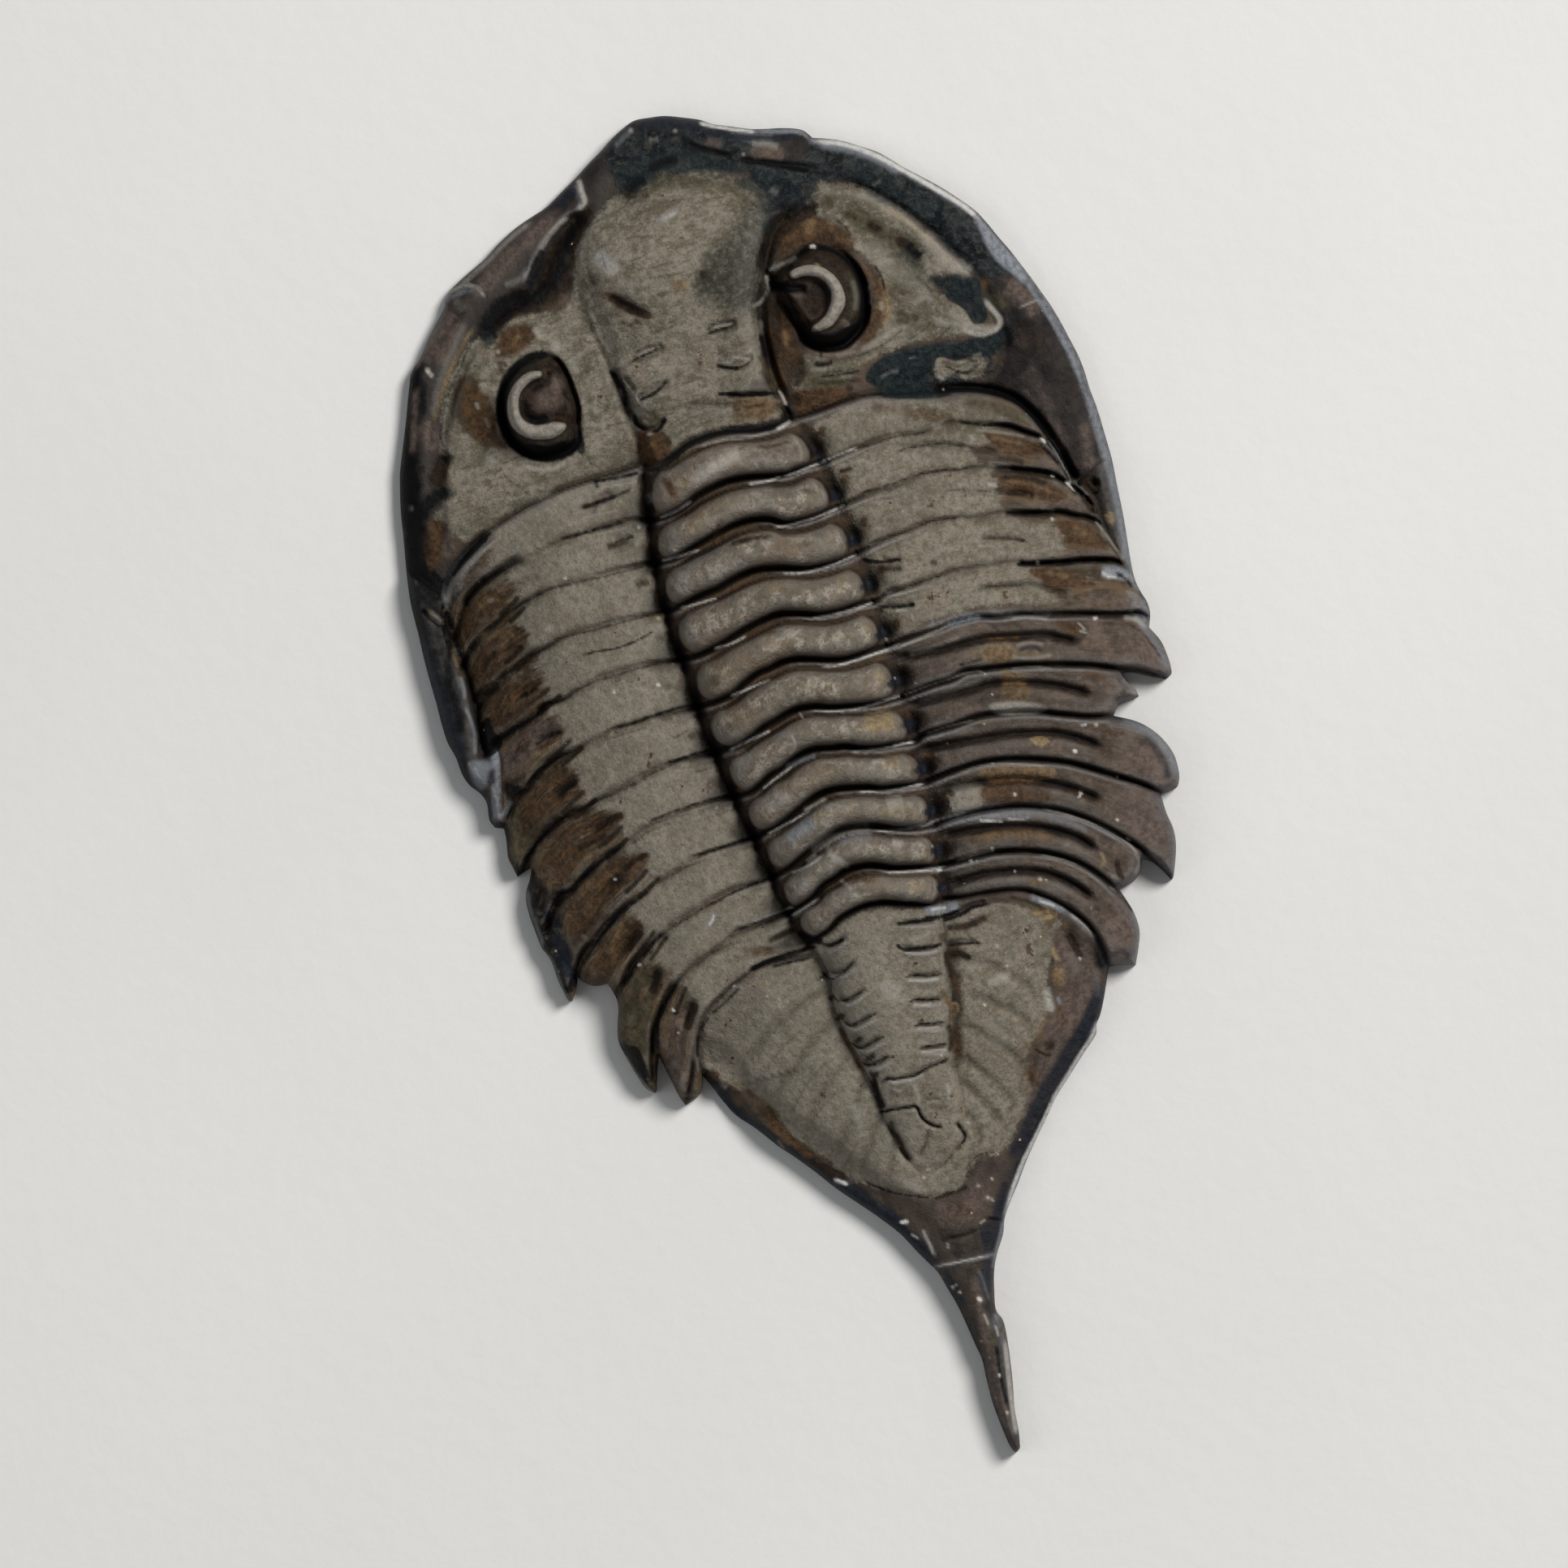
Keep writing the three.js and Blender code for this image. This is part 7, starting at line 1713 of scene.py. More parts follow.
# ---------------------------------------------------------------------- mesh
H = 2.3                                            # grid step, plan units
us, vs = np.arange(486.0, 1462.0, H), np.arange(136.0, 1800.0, H)
NU, NV = len(us), len(vs)
U, V = [g_.ravel() for g_ in np.meshgrid(us, vs)]


def nearest_on(u, v, c):
    """The nearest point of a closed polygon to each point."""
    P = np.stack([u, v], 1)
    best, at = np.full(len(u), 1e9), P.copy()
    for i in range(len(c)):
        a, b = c[i], c[(i + 1) % len(c)]
        j = np.nonzero((u > min(a[0], b[0]) - 6) & (u < max(a[0], b[0]) + 6) & (v > min(a[1], b[1]) - 6) & (v < max(a[1], b[1]) + 6))[0]
        if not len(j):
            continue
        d = b - a
        t = np.clip(((P[j] - a) @ d) / max(d @ d, 1e-9), 0, 1)
        w = a + t[:, None] * d
        r = np.hypot(*(P[j] - w).T)
        m = r < best[j]
        best[j[m]], at[j[m]] = r[m], w[m]
    return at


# nodes close to the outline, or to a line between two parts, move onto it
sd0 = inside(U, V, OUTLINE, 12.0)
for c in (HEAD_EDGE, TAIL_EDGE):
    s = inside(U, V, c, 6.0)
    j = np.nonzero((np.abs(s) < 0.5 * H) & (sd0 > 0.6 * H))[0]
    U[j], V[j] = nearest_on(U[j], V[j], c).T
j = np.nonzero(np.abs(sd0) <= 0.5 * H)[0]
U[j], V[j] = nearest_on(U[j], V[j], OUTLINE).T
sgn = np.where(np.abs(sd0) <= 0.5 * H, 0, np.sign(sd0)).astype(int)

# two triangles a cell, cut along the diagonal that keeps to the outline
i0 = (np.arange(NV - 1)[:, None] * NU + np.arange(NU - 1)[None, :]).ravel()
quad = np.stack([i0, i0 + NU, i0 + NU + 1, i0 + 1], 1)            # counter-clockwise seen from above
quad = quad[(sgn[quad] >= 0).sum(1) >= 3]
q_s = sgn[quad]
length = lambda a, b: np.hypot(U[quad[:, a]] - U[quad[:, b]], V[quad[:, a]] - V[quad[:, b]])
other = (q_s[:, 0] < 0) | (q_s[:, 2] < 0)
plain = (q_s >= 0).all(1)
other = np.where(plain, length(1, 3) < length(0, 2) - 0.05, other)
T = np.concatenate([np.where(other[:, None], quad[:, [0, 1, 3]], quad[:, [0, 1, 2]]),
                    np.where(other[:, None], quad[:, [1, 2, 3]], quad[:, [0, 2, 3]])])
mid_u, mid_v = U[T].mean(1), V[T].mean(1)
T = T[(sgn[T] >= 0).all(1)]
mid_u, mid_v = U[T].mean(1), V[T].mean(1)
area = 0.5 * ((U[T[:, 1]] - U[T[:, 0]]) * (V[T[:, 0]] - V[T[:, 2]]) - (U[T[:, 2]] - U[T[:, 0]]) * (V[T[:, 0]] - V[T[:, 1]]))
edge_only = (sgn[T] == 0).all(1)
keep = (area > 0.02) & (~edge_only | (inside(mid_u, mid_v, OUTLINE, 6.0) > 0.12 * H))
T, mid_u, mid_v = T[keep], mid_u[keep], mid_v[keep]
part_of = np.where(inside(mid_u, mid_v, HEAD_EDGE, 6.0) > 0, 0, np.where(inside(mid_u, mid_v, TAIL_EDGE, 6.0) > 0, 2, 1))

used = np.unique(T)
new = np.full(len(U), -1)
new[used] = np.arange(len(used))
gu, gv, T = U[used], V[used], new[T]
Z, SD, S_HEAD, S_TAIL, M = relief(gu, gv)


def blurred(values, sigma):
    """Gaussian blur over the grid of what lies inside the outline."""
    r = int(np.ceil(2.6 * sigma / H))
    w = np.exp(-0.5 * (np.arange(-r, r + 1) * H / sigma) ** 2)
    def run(a):
        for axis in (0, 1):
            p = np.pad(a, [(r, r) if axis == 0 else (0, 0), (r, r) if axis == 1 else (0, 0)])
            n = a.shape[axis]
            a = sum(wi * (p[i:i + n] if axis == 0 else p[:, i:i + n]) for i, wi in enumerate(w))
        return a
    full, have = np.zeros(NU * NV), np.zeros(NU * NV)
    full[used], have[used] = values, 1
    return (run(full.reshape(NV, NU)) / np.maximum(run(have.reshape(NV, NU)), 1e-6)).ravel()[used]


# what the materials read: hollows and bulges (painted shade in the hollows, rubbed edges with painted highlight on the
# bulges) and the drawn areas
cav_s, cav_l = blurred(Z, 4.0) - Z, blurred(Z, 13.0) - Z
# the outline's own fall-off isn't a hollow
keep_in = ss(SD, 2, 16)
ATTR = dict(
    hollow=np.clip(1.8 * cav_s + 0.55 * cav_l, -1, 1) * keep_in,
    film=zones(gu, gv, FILM), slate=np.minimum(zones(gu, gv, SLATE), -zones(gu, gv, ISLAND)), dark=zones(gu, gv, DARK),
    navy=zones(gu, gv, NAVY), cream=zones(gu, gv, CREAM, 20.0), olive=zones(gu, gv, OLIVE, 20.0), mottle=zones(gu, gv, MOTTLE), umber=zones(gu, gv, UMBER), rust=zones(gu, gv, RUST),
    tan=zones(gu, gv, TAN), edge_highlight=zones(gu, gv, EDGE_HIGHLIGHTS, 8.0), black=zones(gu, gv, BLACK, 8.0),
    line=M["line"], groove=M["groove"], bar=M["bar"], crest=M["crest"], pit=M["pit"], chan=M["chan"], late=M["late"], outer=M["outer"],
    border=M["border"], tailrim=M["tailrim"], left=M["left"], edge=SD, ring=M["ring"], seg=M["seg"], f=M["f"], near=M["near"],
    pl=M["pl"], tail=M["tail"], head=M["head"],
)

def marks(items):
    """How strongly some small markings colour each point, 0 to 1."""
    out = np.zeros(len(gu))
    for p, w, s, closed in items:
        if closed:
            out = np.maximum(out, s * ss(inside(gu, gv, spline(p, 4, True), w + 3.0), -w, w))
        elif len(p) == 1:
            out = np.maximum(out, s * np.exp(-((gu - p[0][0]) ** 2 + (gv - p[0][1]) ** 2) / w ** 2))
        else:
            j, r, pc = stroke(gu, gv, p, w * 2.6, 4.0)
            out[j] = np.maximum(out[j], s * np.exp(-(r / w) ** 2) * ss(pc, -.06, .08) * ss(pc, 1.06, .92))
    return out


for key in MARKS:
    ATTR["m_" + key] = marks(MARKS[key])
glint = np.zeros(len(gu))
for x, y, r in GLINT:
    glint = np.maximum(glint, np.exp(-(((gu - x) ** 2 + (gv - y) ** 2) / (0.60 * r) ** 2)))
ATTR["glint"] = glint
eye = np.maximum(inside(gu, gv, spline(CREL, 3, True), 10.0), inside(gu, gv, spline(CRER, 3, True), 10.0))
ATTR["crescent"] = eye
ATTR["socket"] = np.maximum(inside(gu, gv, spline(EYEL, 4, True), 14.0), inside(gu, gv, spline(EYER, 4, True), 14.0))
ATTR["lobe"] = np.maximum(inside(gu, gv, spline(LOBL, 4, True), 14.0), inside(gu, gv, spline(LOBR, 4, True), 14.0))

LOW = {"edge_highlight": -8.0, "edge": 30.0, "glint": 0.0, "crest": 0.0, "black": -8.0}
X_M = 0.001 * MM * (CA * (gu - 966) + SA * (966 - gv) - 53.27775)
Y_M = 0.001 * MM * (-SA * (gu - 966) + CA * (966 - gv) + 15.97905)
Z_M = 0.001 * Z


def make_part(name, which, mats):
    """One closed piece: its share of the relief, upright walls and a flat base."""
    tri = T[part_of == which]
    ids = np.unique(tri)
    loc = np.full(len(gu), -1)
    loc[ids] = np.arange(len(ids))
    tri = loc[tri]
    n = len(ids)
    e = np.concatenate([tri[:, [0, 1]], tri[:, [1, 2]], tri[:, [2, 0]]])
    key = np.sort(e, 1)
    _, inv, cnt = np.unique(key[:, 0] * n + key[:, 1], return_inverse=True, return_counts=True)
    rim = e[cnt[inv] == 1]                                        # directed, surface on the left
    ring = np.unique(rim)
    low = np.full(n, -1)
    low[ring] = n + np.arange(len(ring))
    co = np.zeros((n + len(ring), 3))
    co[:n] = np.stack([X_M[ids], Y_M[ids], Z_M[ids]], 1)
    co[n:, :2] = co[ring, :2]
    wall = np.stack([rim[:, 1], rim[:, 0], low[rim[:, 0]], low[rim[:, 1]]], 1)
    nv, nt, nw = len(co), len(tri), len(wall)
    me = bpy.data.meshes.new(name)
    me.vertices.add(nv)
    me.vertices.foreach_set("co", co.ravel())
    loops = np.concatenate([tri.ravel(), wall.ravel()])
    me.loops.add(len(loops))
    me.loops.foreach_set("vertex_index", loops)
    me.polygons.add(nt + nw)
    me.polygons.foreach_set("loop_start", np.concatenate([np.arange(nt) * 3, nt * 3 + np.arange(nw) * 4]))
    me.update(calc_edges=True)
    # flat base: fill between the lowest edges
    import bmesh
    bm = bmesh.new()
    bm.from_mesh(me)
    bm.verts.ensure_lookup_table()
    low_edges = [x for x in bm.edges if len(x.link_faces) == 1]
    got = bmesh.ops.triangle_fill(bm, use_beauty=True, use_dissolve=False, edges=low_edges, normal=(0, 0, -1))
    base = [g_ for g_ in got["geom"] if isinstance(g_, bmesh.types.BMFace)]
    for fc in base:
        fc.material_index = 1
        fc.smooth = False
    bmesh.ops.recalc_face_normals(bm, faces=base)
    for fc in base:
        if fc.normal.z > 0:
            fc.normal_flip()
    bm.to_mesh(me)
    bm.free()
    me.update()
    smooth = np.zeros(len(me.polygons), bool)
    smooth[:nt + nw] = True
    me.polygons.foreach_set("use_smooth", smooth)
    # sharp where the base begins and where two parts of the shell meet
    ev = np.empty(len(me.edges) * 2, int)
    me.edges.foreach_get("vertices", ev)
    ev = ev.reshape(-1, 2)
    seam = np.zeros(nv, bool)
    sdl = SD[ids]
    seam[ring] = sdl[ring] > 0.9 * H
    is_ring = np.zeros(nv, bool)
    is_ring[ring] = True
    rim_key = set((np.sort(rim, 1) @ np.array([nv, 1])).tolist())
    keys = np.sort(ev, 1) @ np.array([nv, 1])
    on_rim = np.array([x in rim_key for x in keys.tolist()])
    sharp = (ev >= n).all(1) | (on_rim & seam[ev].any(1)) | ((ev >= n).any(1) & seam[np.minimum(ev[:, 0], ev[:, 1])])
    a = me.attributes.new("sharp_edge", "BOOLEAN", "EDGE")
    a.data.foreach_set("value", sharp)
    for key_, val in ATTR.items():
        a = me.attributes.new(key_, "FLOAT", "POINT")
        full = np.zeros(nv, np.float32)
        full[:n] = val[ids]
        # the walls fade to plain stone towards the base
        full[n:] = LOW.get(key_, 0.0 if key_.startswith("m_") else val[ids][ring])
        a.data.foreach_set("value", full)
    ob = bpy.data.objects.new(name, me)
    bpy.context.scene.collection.objects.link(ob)
    for m in mats:
        me.materials.append(m)
    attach(ob, "root")
    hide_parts("trilobite")
    print("PIECE", name, nt, nw, len(base), "faces")
    return ob


# ----------------------------------------------------------------- materials
def rgb(r, g, b, k=1.0):
    f = lambda x: ((x / 255 + 0.055) / 1.055) ** 2.4 if x > 10 else x / 255 / 12.92
    return (f(r) * k, f(g) * k, f(b) * k, 1.0)


class Nodes:
    """Short names for the shader nodes that the materials use."""

    def __init__(self, name):
        self.mat = bpy.data.materials.new(name)
        self.mat.use_nodes = True
        self.tree = self.mat.node_tree
        self.tree.nodes.clear()
        place = self.tree.nodes.new("ShaderNodeTexCoord")
        grow = self.tree.nodes.new("ShaderNodeVectorMath")
        grow.operation = "MULTIPLY"
        grow.inputs[1].default_value = (1000, 1000, 1000)
        self.tree.links.new(place.outputs["Object"], grow.inputs[0])
        self.mm = grow.outputs[0]
        self.seen = {}

    def put(self, socket, value):
        if isinstance(value, bpy.types.NodeSocket):
            self.tree.links.new(value, socket)
        else:
            socket.default_value = value

    def attr(self, name):
        if name not in self.seen:
            node = self.tree.nodes.new("ShaderNodeAttribute")
            node.attribute_name = name
            self.seen[name] = node.outputs["Fac"]
        return self.seen[name]

    def moved(self, shift, squash=(1, 1, 1), turn=0.0):
        node = self.tree.nodes.new("ShaderNodeMapping")
        self.put(node.inputs["Vector"], self.mm)
        node.inputs["Location"].default_value = shift
        node.inputs["Rotation"].default_value = (0, 0, turn)
        node.inputs["Scale"].default_value = squash
        return node.outputs[0]

    def noise(self, scale, detail=3.0, rough=0.55, distort=0.0, at=None):
        node = self.tree.nodes.new("ShaderNodeTexNoise")
        self.put(node.inputs["Vector"], at or self.mm)
        node.inputs["Scale"].default_value = scale
        node.inputs["Detail"].default_value = detail
        node.inputs["Roughness"].default_value = rough
        node.inputs["Distortion"].default_value = distort
        return node.outputs["Fac"]

    def specks(self, scale, at=None):
        node = self.tree.nodes.new("ShaderNodeTexVoronoi")
        node.feature = "F1"
        self.put(node.inputs["Vector"], at or self.mm)
        node.inputs["Scale"].default_value = scale
        return node.outputs["Distance"], node.outputs["Color"]

    def calc(self, op, a, b=0.0, clamp=False):
        node = self.tree.nodes.new("ShaderNodeMath")
        node.operation, node.use_clamp = op, clamp
        self.put(node.inputs[0], a)
        self.put(node.inputs[1], b)
        return node.outputs[0]

    def mul(self, a, b):
        return self.calc("MULTIPLY", a, b)

    def add(self, a, b):
        return self.calc("ADD", a, b)

    def wob(self, fac, amp):
        """A noise turned into a swing of +-amp about nought."""
        return self.mul(self.calc("SUBTRACT", fac, 0.5), 2 * amp)

    def step(self, x, a, b, lo=0.0, hi=1.0):
        node = self.tree.nodes.new("ShaderNodeMapRange")
        node.interpolation_type = "SMOOTHSTEP"
        self.put(node.inputs["Value"], x)
        for key, val in (("From Min", a), ("From Max", b), ("To Min", lo), ("To Max", hi)):
            node.inputs[key].default_value = val
        return node.outputs["Result"]

    def mix(self, fac, a, b, mode="MIX"):
        node = self.tree.nodes.new("ShaderNodeMix")
        node.data_type, node.blend_type = "RGBA", mode
        self.put(node.inputs[0], fac)
        self.put(node.inputs[6], a)
        self.put(node.inputs[7], b)
        return node.outputs[2]

    def close(self, colour, rough, height, specular=0.35, reach=0.001, strength=1.0):
        bsdf = self.tree.nodes.new("ShaderNodeBsdfPrincipled")
        out = self.tree.nodes.new("ShaderNodeOutputMaterial")
        bmp = self.tree.nodes.new("ShaderNodeBump")
        bmp.inputs["Strength"].default_value = strength
        bmp.inputs["Distance"].default_value = reach
        self.put(bmp.inputs["Height"], height)
        self.put(bsdf.inputs["Base Color"], colour)
        self.put(bsdf.inputs["Roughness"], rough)
        bsdf.inputs["Specular IOR Level"].default_value = specular
        self.tree.links.new(bmp.outputs[0], bsdf.inputs["Normal"])
        self.tree.links.new(bsdf.outputs[0], out.inputs["Surface"])
        return self.mat


def shell_material():
    n = Nodes("shell")
    A, mul, add, mix, step, wob = n.attr, n.mul, n.add, n.mix, n.step, n.wob
    broad, broad2 = n.noise(0.28, 3), n.noise(0.34, 3, at=n.moved((31, 7, 3)))
    patch, patch2 = n.noise(1.0, 4, .6), n.noise(1.3, 4, .6, at=n.moved((-17, 22, 9)))
    fine = n.noise(3.4, 4, .65)
    grain = n.noise(9.0, 2, .8)
    # streaks that follow the ribs
    lay = n.tree.nodes.new("ShaderNodeCombineXYZ")
    n.put(lay.inputs[0], mul(A("pl"), 4.0))
    n.put(lay.inputs[1], mul(A("seg"), 8.0))
    n.put(lay.inputs[2], mul(A("left"), 20.0))
    streak = n.noise(1.0, 4, .62, .3, at=lay.outputs[0])
    streak2 = n.noise(2.4, 3, .6, .2, at=lay.outputs[0])
    short = n.tree.nodes.new("ShaderNodeCombineXYZ")
    n.put(short.inputs[0], mul(A("pl"), 11.0))
    n.put(short.inputs[1], mul(A("seg"), 7.0))
    n.put(short.inputs[2], mul(A("left"), 20.0))
    wisp = n.noise(0.62, 3, .6, .2, at=short.outputs[0])
    wisp2 = n.noise(0.95, 3, .6, .2, at=short.outputs[0])
    blot = n.noise(2.0, 3, .55, at=n.moved((9, -14, 21)))
    ragged = add(wob(n.noise(1.5, 4, .65), 13), wob(n.noise(6.0, 2, .6), 5))
    fingers = add(mul(ragged, .6), mul(wob(streak, 20), A("outer")))
    # streaks across the head, bent round the eyes
    drawn = n.noise(1.3, 5, .62, .8, at=n.moved((2, 9, 5), (.55, 1.7, 1), -.35))
    soft = add(wob(n.noise(0.9, 4, .6, at=n.moved((5, -40, 2))), 16), wob(n.noise(4.0, 3, .6), 5))

    # bare stone
    c = mix(step(broad, .38, .62), rgb(86, 74, 64), rgb(62, 54, 47))
    c = mix(mul(step(patch2, .48, .68), step(A("tail"), .4, .9, .5, .16)), c, rgb(92, 70, 45))
    c = mix(mul(step(A("tail"), .4, .9), .45), c, mix(step(patch, .40, .60), rgb(86, 76, 70), rgb(54, 48, 45)))
    # left rib ends: brown bands, with painted shadow just behind each line and painted shade beside the lines
    ends = mix(step(wisp, .40, .60), rgb(96, 79, 61), rgb(56, 46, 36))
    ends = mix(mul(step(patch, .46, .64), .45), ends, rgb(78, 68, 55))
    # painted shadow just behind each line, where the blade in front overhangs
    ends = mix(mul(step(A("f"), .30, .04), .45), ends, rgb(30, 25, 19))
    ends = mix(mul(step(patch2, .54, .66), .30), ends, rgb(98, 74, 50))
    ends = mix(mul(step(blot, .50, .64), .50), ends, rgb(98, 91, 78))
    # painted shade beside the lines
    ends = mix(mul(step(A("near"), 11, 3), .55), ends, rgb(24, 22, 18))
    c = mix(A("outer"), c, ends)
    # ribs 6 to 11 on the right: dull mauve brown, with painted shade beside the lines and a painted blue-grey highlight
    # along the outer edge
    ribs = mix(step(patch, .40, .60), rgb(92, 80, 71), rgb(68, 58, 50))
    ribs = mix(mul(step(wisp, .46, .60), .5), ribs, rgb(60, 51, 43))
    ribs = mix(mul(step(patch2, .46, .36), .5), ribs, rgb(58, 48, 39))
    ribs = mix(mul(step(broad2, .50, .62), .5), ribs, rgb(96, 84, 77))
    ribs = mix(mul(step(patch2, .56, .70), .35), ribs, rgb(102, 80, 54))
    ribs = mix(mul(step(A("pl"), .30, .02), .60), ribs, rgb(44, 37, 31))
    # painted shade beside the lines
    ribs = mix(mul(step(A("near"), 11, 3), .55), ribs, rgb(34, 30, 27))
    ribs = mix(mul(mul(step(A("pl"), .62, .92), step(broad, .34, .50)), .55), ribs, rgb(108, 96, 90))
    ribs = mix(mul(step(blot, .50, .62), .38), ribs, rgb(58, 49, 42))
    # painted highlight: blue-grey along the outer edge
    ribs = mix(mul(step(A("edge"), 15, 3), .50), ribs, rgb(92, 93, 98))
    ribs = mix(mul(step(fine, .50, .70), .40), ribs, rgb(48, 42, 37))
    ribs = mix(mul(step(streak2, .53, .62), .26), ribs, rgb(46, 38, 31))
    ribs = mix(mul(step(streak2, .45, .36), .18), ribs, rgb(116, 104, 96))
    ribs = mix(mul(step(fine, .44, .32), .38), ribs, rgb(114, 103, 95))
    c = mix(A("late"), c, ribs)
    # rings
    ring = mix(step(patch, .42, .56), rgb(152, 144, 131), rgb(103, 95, 81))
    ring = mix(mul(step(patch2, .48, .58), .72), ring, rgb(96, 78, 57))
    ring = mix(mul(step(broad, .52, .64), .40), ring, rgb(126, 122, 114))
    ring = mix(mul(step(blot, .49, .62), .60), ring, rgb(84, 75, 60))
    ring = mix(mul(step(blot, .47, .36), .30), ring, rgb(142, 136, 124))
    ring = mix(mul(step(fine, .50, .62), .48), ring, rgb(72, 64, 52))
    ring = mix(mul(step(fine, .46, .34), .16), ring, rgb(150, 144, 133))
    ring = mix(mul(step(grain, .50, .68), .45), ring, rgb(58, 52, 43))
    ring = mix(mul(step(grain, .46, .28), .16), ring, rgb(160, 154, 143))
    ring = mix(mul(step(broad2, .52, .62), .45), ring, rgb(112, 92, 66))
    between = mix(step(streak, .4, .6), rgb(84, 67, 50), rgb(52, 43, 34))
    c = mix(mul(A("chan"), .85), c, between)
    c = mix(mul(step(add(A("bar"), wob(fine, .12)), .22, .98), .96), c, ring)
    low = n.tree.nodes.new("ShaderNodeSeparateXYZ")
    n.put(low.inputs[0], n.mm)
    spike = step(low.outputs[1], -21.0, -23.5)
    c = mix(mul(spike, .62), c, mix(step(patch, .40, .60), rgb(60, 55, 51), rgb(36, 33, 31)))
    # head border and tail border
    rim = mix(step(broad, .40, .62), rgb(50, 46, 44), rgb(30, 28, 27))
    rim = mix(mul(step(blot, .50, .62), .45), rim, rgb(26, 24, 23))
    rim = mix(mul(step(patch, .48, .70), .5), rim, rgb(64, 52, 44))
    rim = mix(mul(A("left"), step(A("edge"), 14, 34, 0, .34)), rim, rgb(84, 78, 73))
    c = mix(A("border"), c, rim)
    c = mix(mul(A("tailrim"), .75), c, mix(step(patch2, .42, .60), rgb(42, 41, 42), rgb(62, 50, 40)))

    # grey-tan film that covers most of the shell
    film = add(A("film"), fingers)
    film = add(mul(step(film, -3.2, 3.6), n.calc("SUBTRACT", 1.0, A("outer"))), mul(step(add(film, wob(wisp, 24)), -11, 11), A("outer")))
    grey = mix(step(broad2, .38, .62), rgb(130, 123, 110), rgb(113, 106, 94))
    grey = mix(mul(step(patch, .50, .64), .6), grey, rgb(104, 102, 89))
    grey = mix(mul(step(patch2, .49, .64), .55), grey, rgb(126, 112, 101))
    grey = mix(mul(step(add(A("cream"), soft), -10, 8), .75), grey, rgb(134, 127, 114))
    grey = mix(mul(step(add(A("olive"), soft), -10, 8), .75), grey, rgb(86, 82, 68))
    grey = mix(mul(step(drawn, .50, .64), step(A("head"), .4, .9, .16, .80)), grey, rgb(84, 78, 64))
    grey = mix(mul(mul(step(patch, .52, .62), A("head")), .42), grey, rgb(82, 77, 62))
    grey = mix(mul(step(drawn, .44, .32), step(A("head"), .4, .9, .10, .62)), grey, rgb(134, 129, 118))
    grey = mix(mul(step(blot, .50, .62), .34), grey, rgb(94, 87, 73))
    grey = mix(mul(step(blot, .46, .36), .30), grey, rgb(136, 130, 119))
    grey = mix(mul(step(fine, .50, .62), .50), grey, rgb(88, 82, 68))
    grey = mix(mul(step(fine, .46, .36), .45), grey, rgb(142, 137, 126))
    grey = mix(mul(step(grain, .52, .72), .42), grey, rgb(64, 59, 51))
    grey = mix(mul(step(grain, .46, .26), .26), grey, rgb(168, 163, 152))
    grey = mix(mul(mul(step(streak2, .52, .64), step(A("tail"), .5, 0)), .16), grey, rgb(84, 72, 58))
    worn_off = mul(step(patch2, .66, .72), step(broad, .42, .52))
    film = mul(film, step(worn_off, .6, .2))
    # painted light: the film lighter on the left of the thorax
    grey = mix(mul(mul(A("left"), step(A("head"), .6, .2)), .16), grey, rgb(150, 143, 131))
    # brown halo along the lines
    grey = mix(mul(mul(step(A("near"), 13, 4), step(patch, .38, .56)), .45), grey, rgb(70, 58, 46))
    c = mix(film, c, grey)
    # brown stains, soft at their edges
    c = mix(mul(step(add(A("umber"), soft), -7, 8), .88), c, mix(step(patch, .42, .60), rgb(34, 28, 22), rgb(54, 42, 31)))
    rust = mix(step(patch, .40, .60), rgb(96, 72, 46), rgb(54, 43, 32))
    rust = mix(mul(step(fine, .50, .66), .5), rust, rgb(42, 34, 27))
    c = mix(mul(step(add(A("rust"), soft), -10, 10), .58), c, rust)
    # dark and coloured patches over it
    c = mix(mul(step(add(A("mottle"), soft), -14, 14), step(fine, .30, .62, .40, .85)), c, rgb(52, 53, 45))
    slate = step(add(A("slate"), add(mul(soft, .55), wob(fine, 7))), -7, 4)
    slaty = mix(step(patch, .38, .60), rgb(10, 17, 21), rgb(32, 40, 43))
    slaty = mix(mul(step(patch2, .50, .62), .5), slaty, rgb(52, 56, 55))
    slaty = mix(mul(step(fine, .48, .62), .62), slaty, rgb(66, 67, 61))
    slaty = mix(mul(step(grain, .50, .70), .5), slaty, rgb(14, 18, 21))
    c = mix(mul(slate, .93), c, slaty)
    c = mix(mul(step(add(A("dark"), soft), -6, 7), .97), c, mix(step(patch2, .4, .62), rgb(2, 2, 3), rgb(9, 9, 10)))
    c = mix(mul(step(add(A("navy"), mul(ragged, .5)), -5, 4), .85), c, mix(step(patch2, .4, .62), rgb(20, 24, 32), rgb(32, 35, 42)))
    c = mix(mul(step(add(A("tan"), mul(ragged, .30)), -2.5, 3.0), step(patch, .30, .62, .40, .72)), c, mix(step(fine, .4, .6), rgb(132, 112, 86), rgb(102, 86, 65)))
    # painted highlight along the rims and ridges
    edge_highlight = step(add(A("edge_highlight"), mul(ragged, .25)), -3.5, 3.5)
    c = mix(mul(edge_highlight, step(fine, .3, .66, .72, .30)), c, rgb(128, 131, 137))

    # eyes
    c = mix(mul(step(A("socket"), -3, 3), .94), c, mix(step(fine, .4, .6), rgb(48, 40, 31), rgb(30, 27, 24)))
    c = mix(mul(step(A("lobe"), -1, 3), .88), c, mix(step(patch, .42, .58), rgb(62, 51, 43), rgb(28, 22, 18)))
    # painted shade in the moat round each eye
    c = mix(mul(A("ring"), .92), c, rgb(12, 11, 12))
    c = mix(step(A("crescent"), -0.6, 1.8), c, mix(step(fine, .35, .65), rgb(146, 140, 131), rgb(122, 116, 107)))
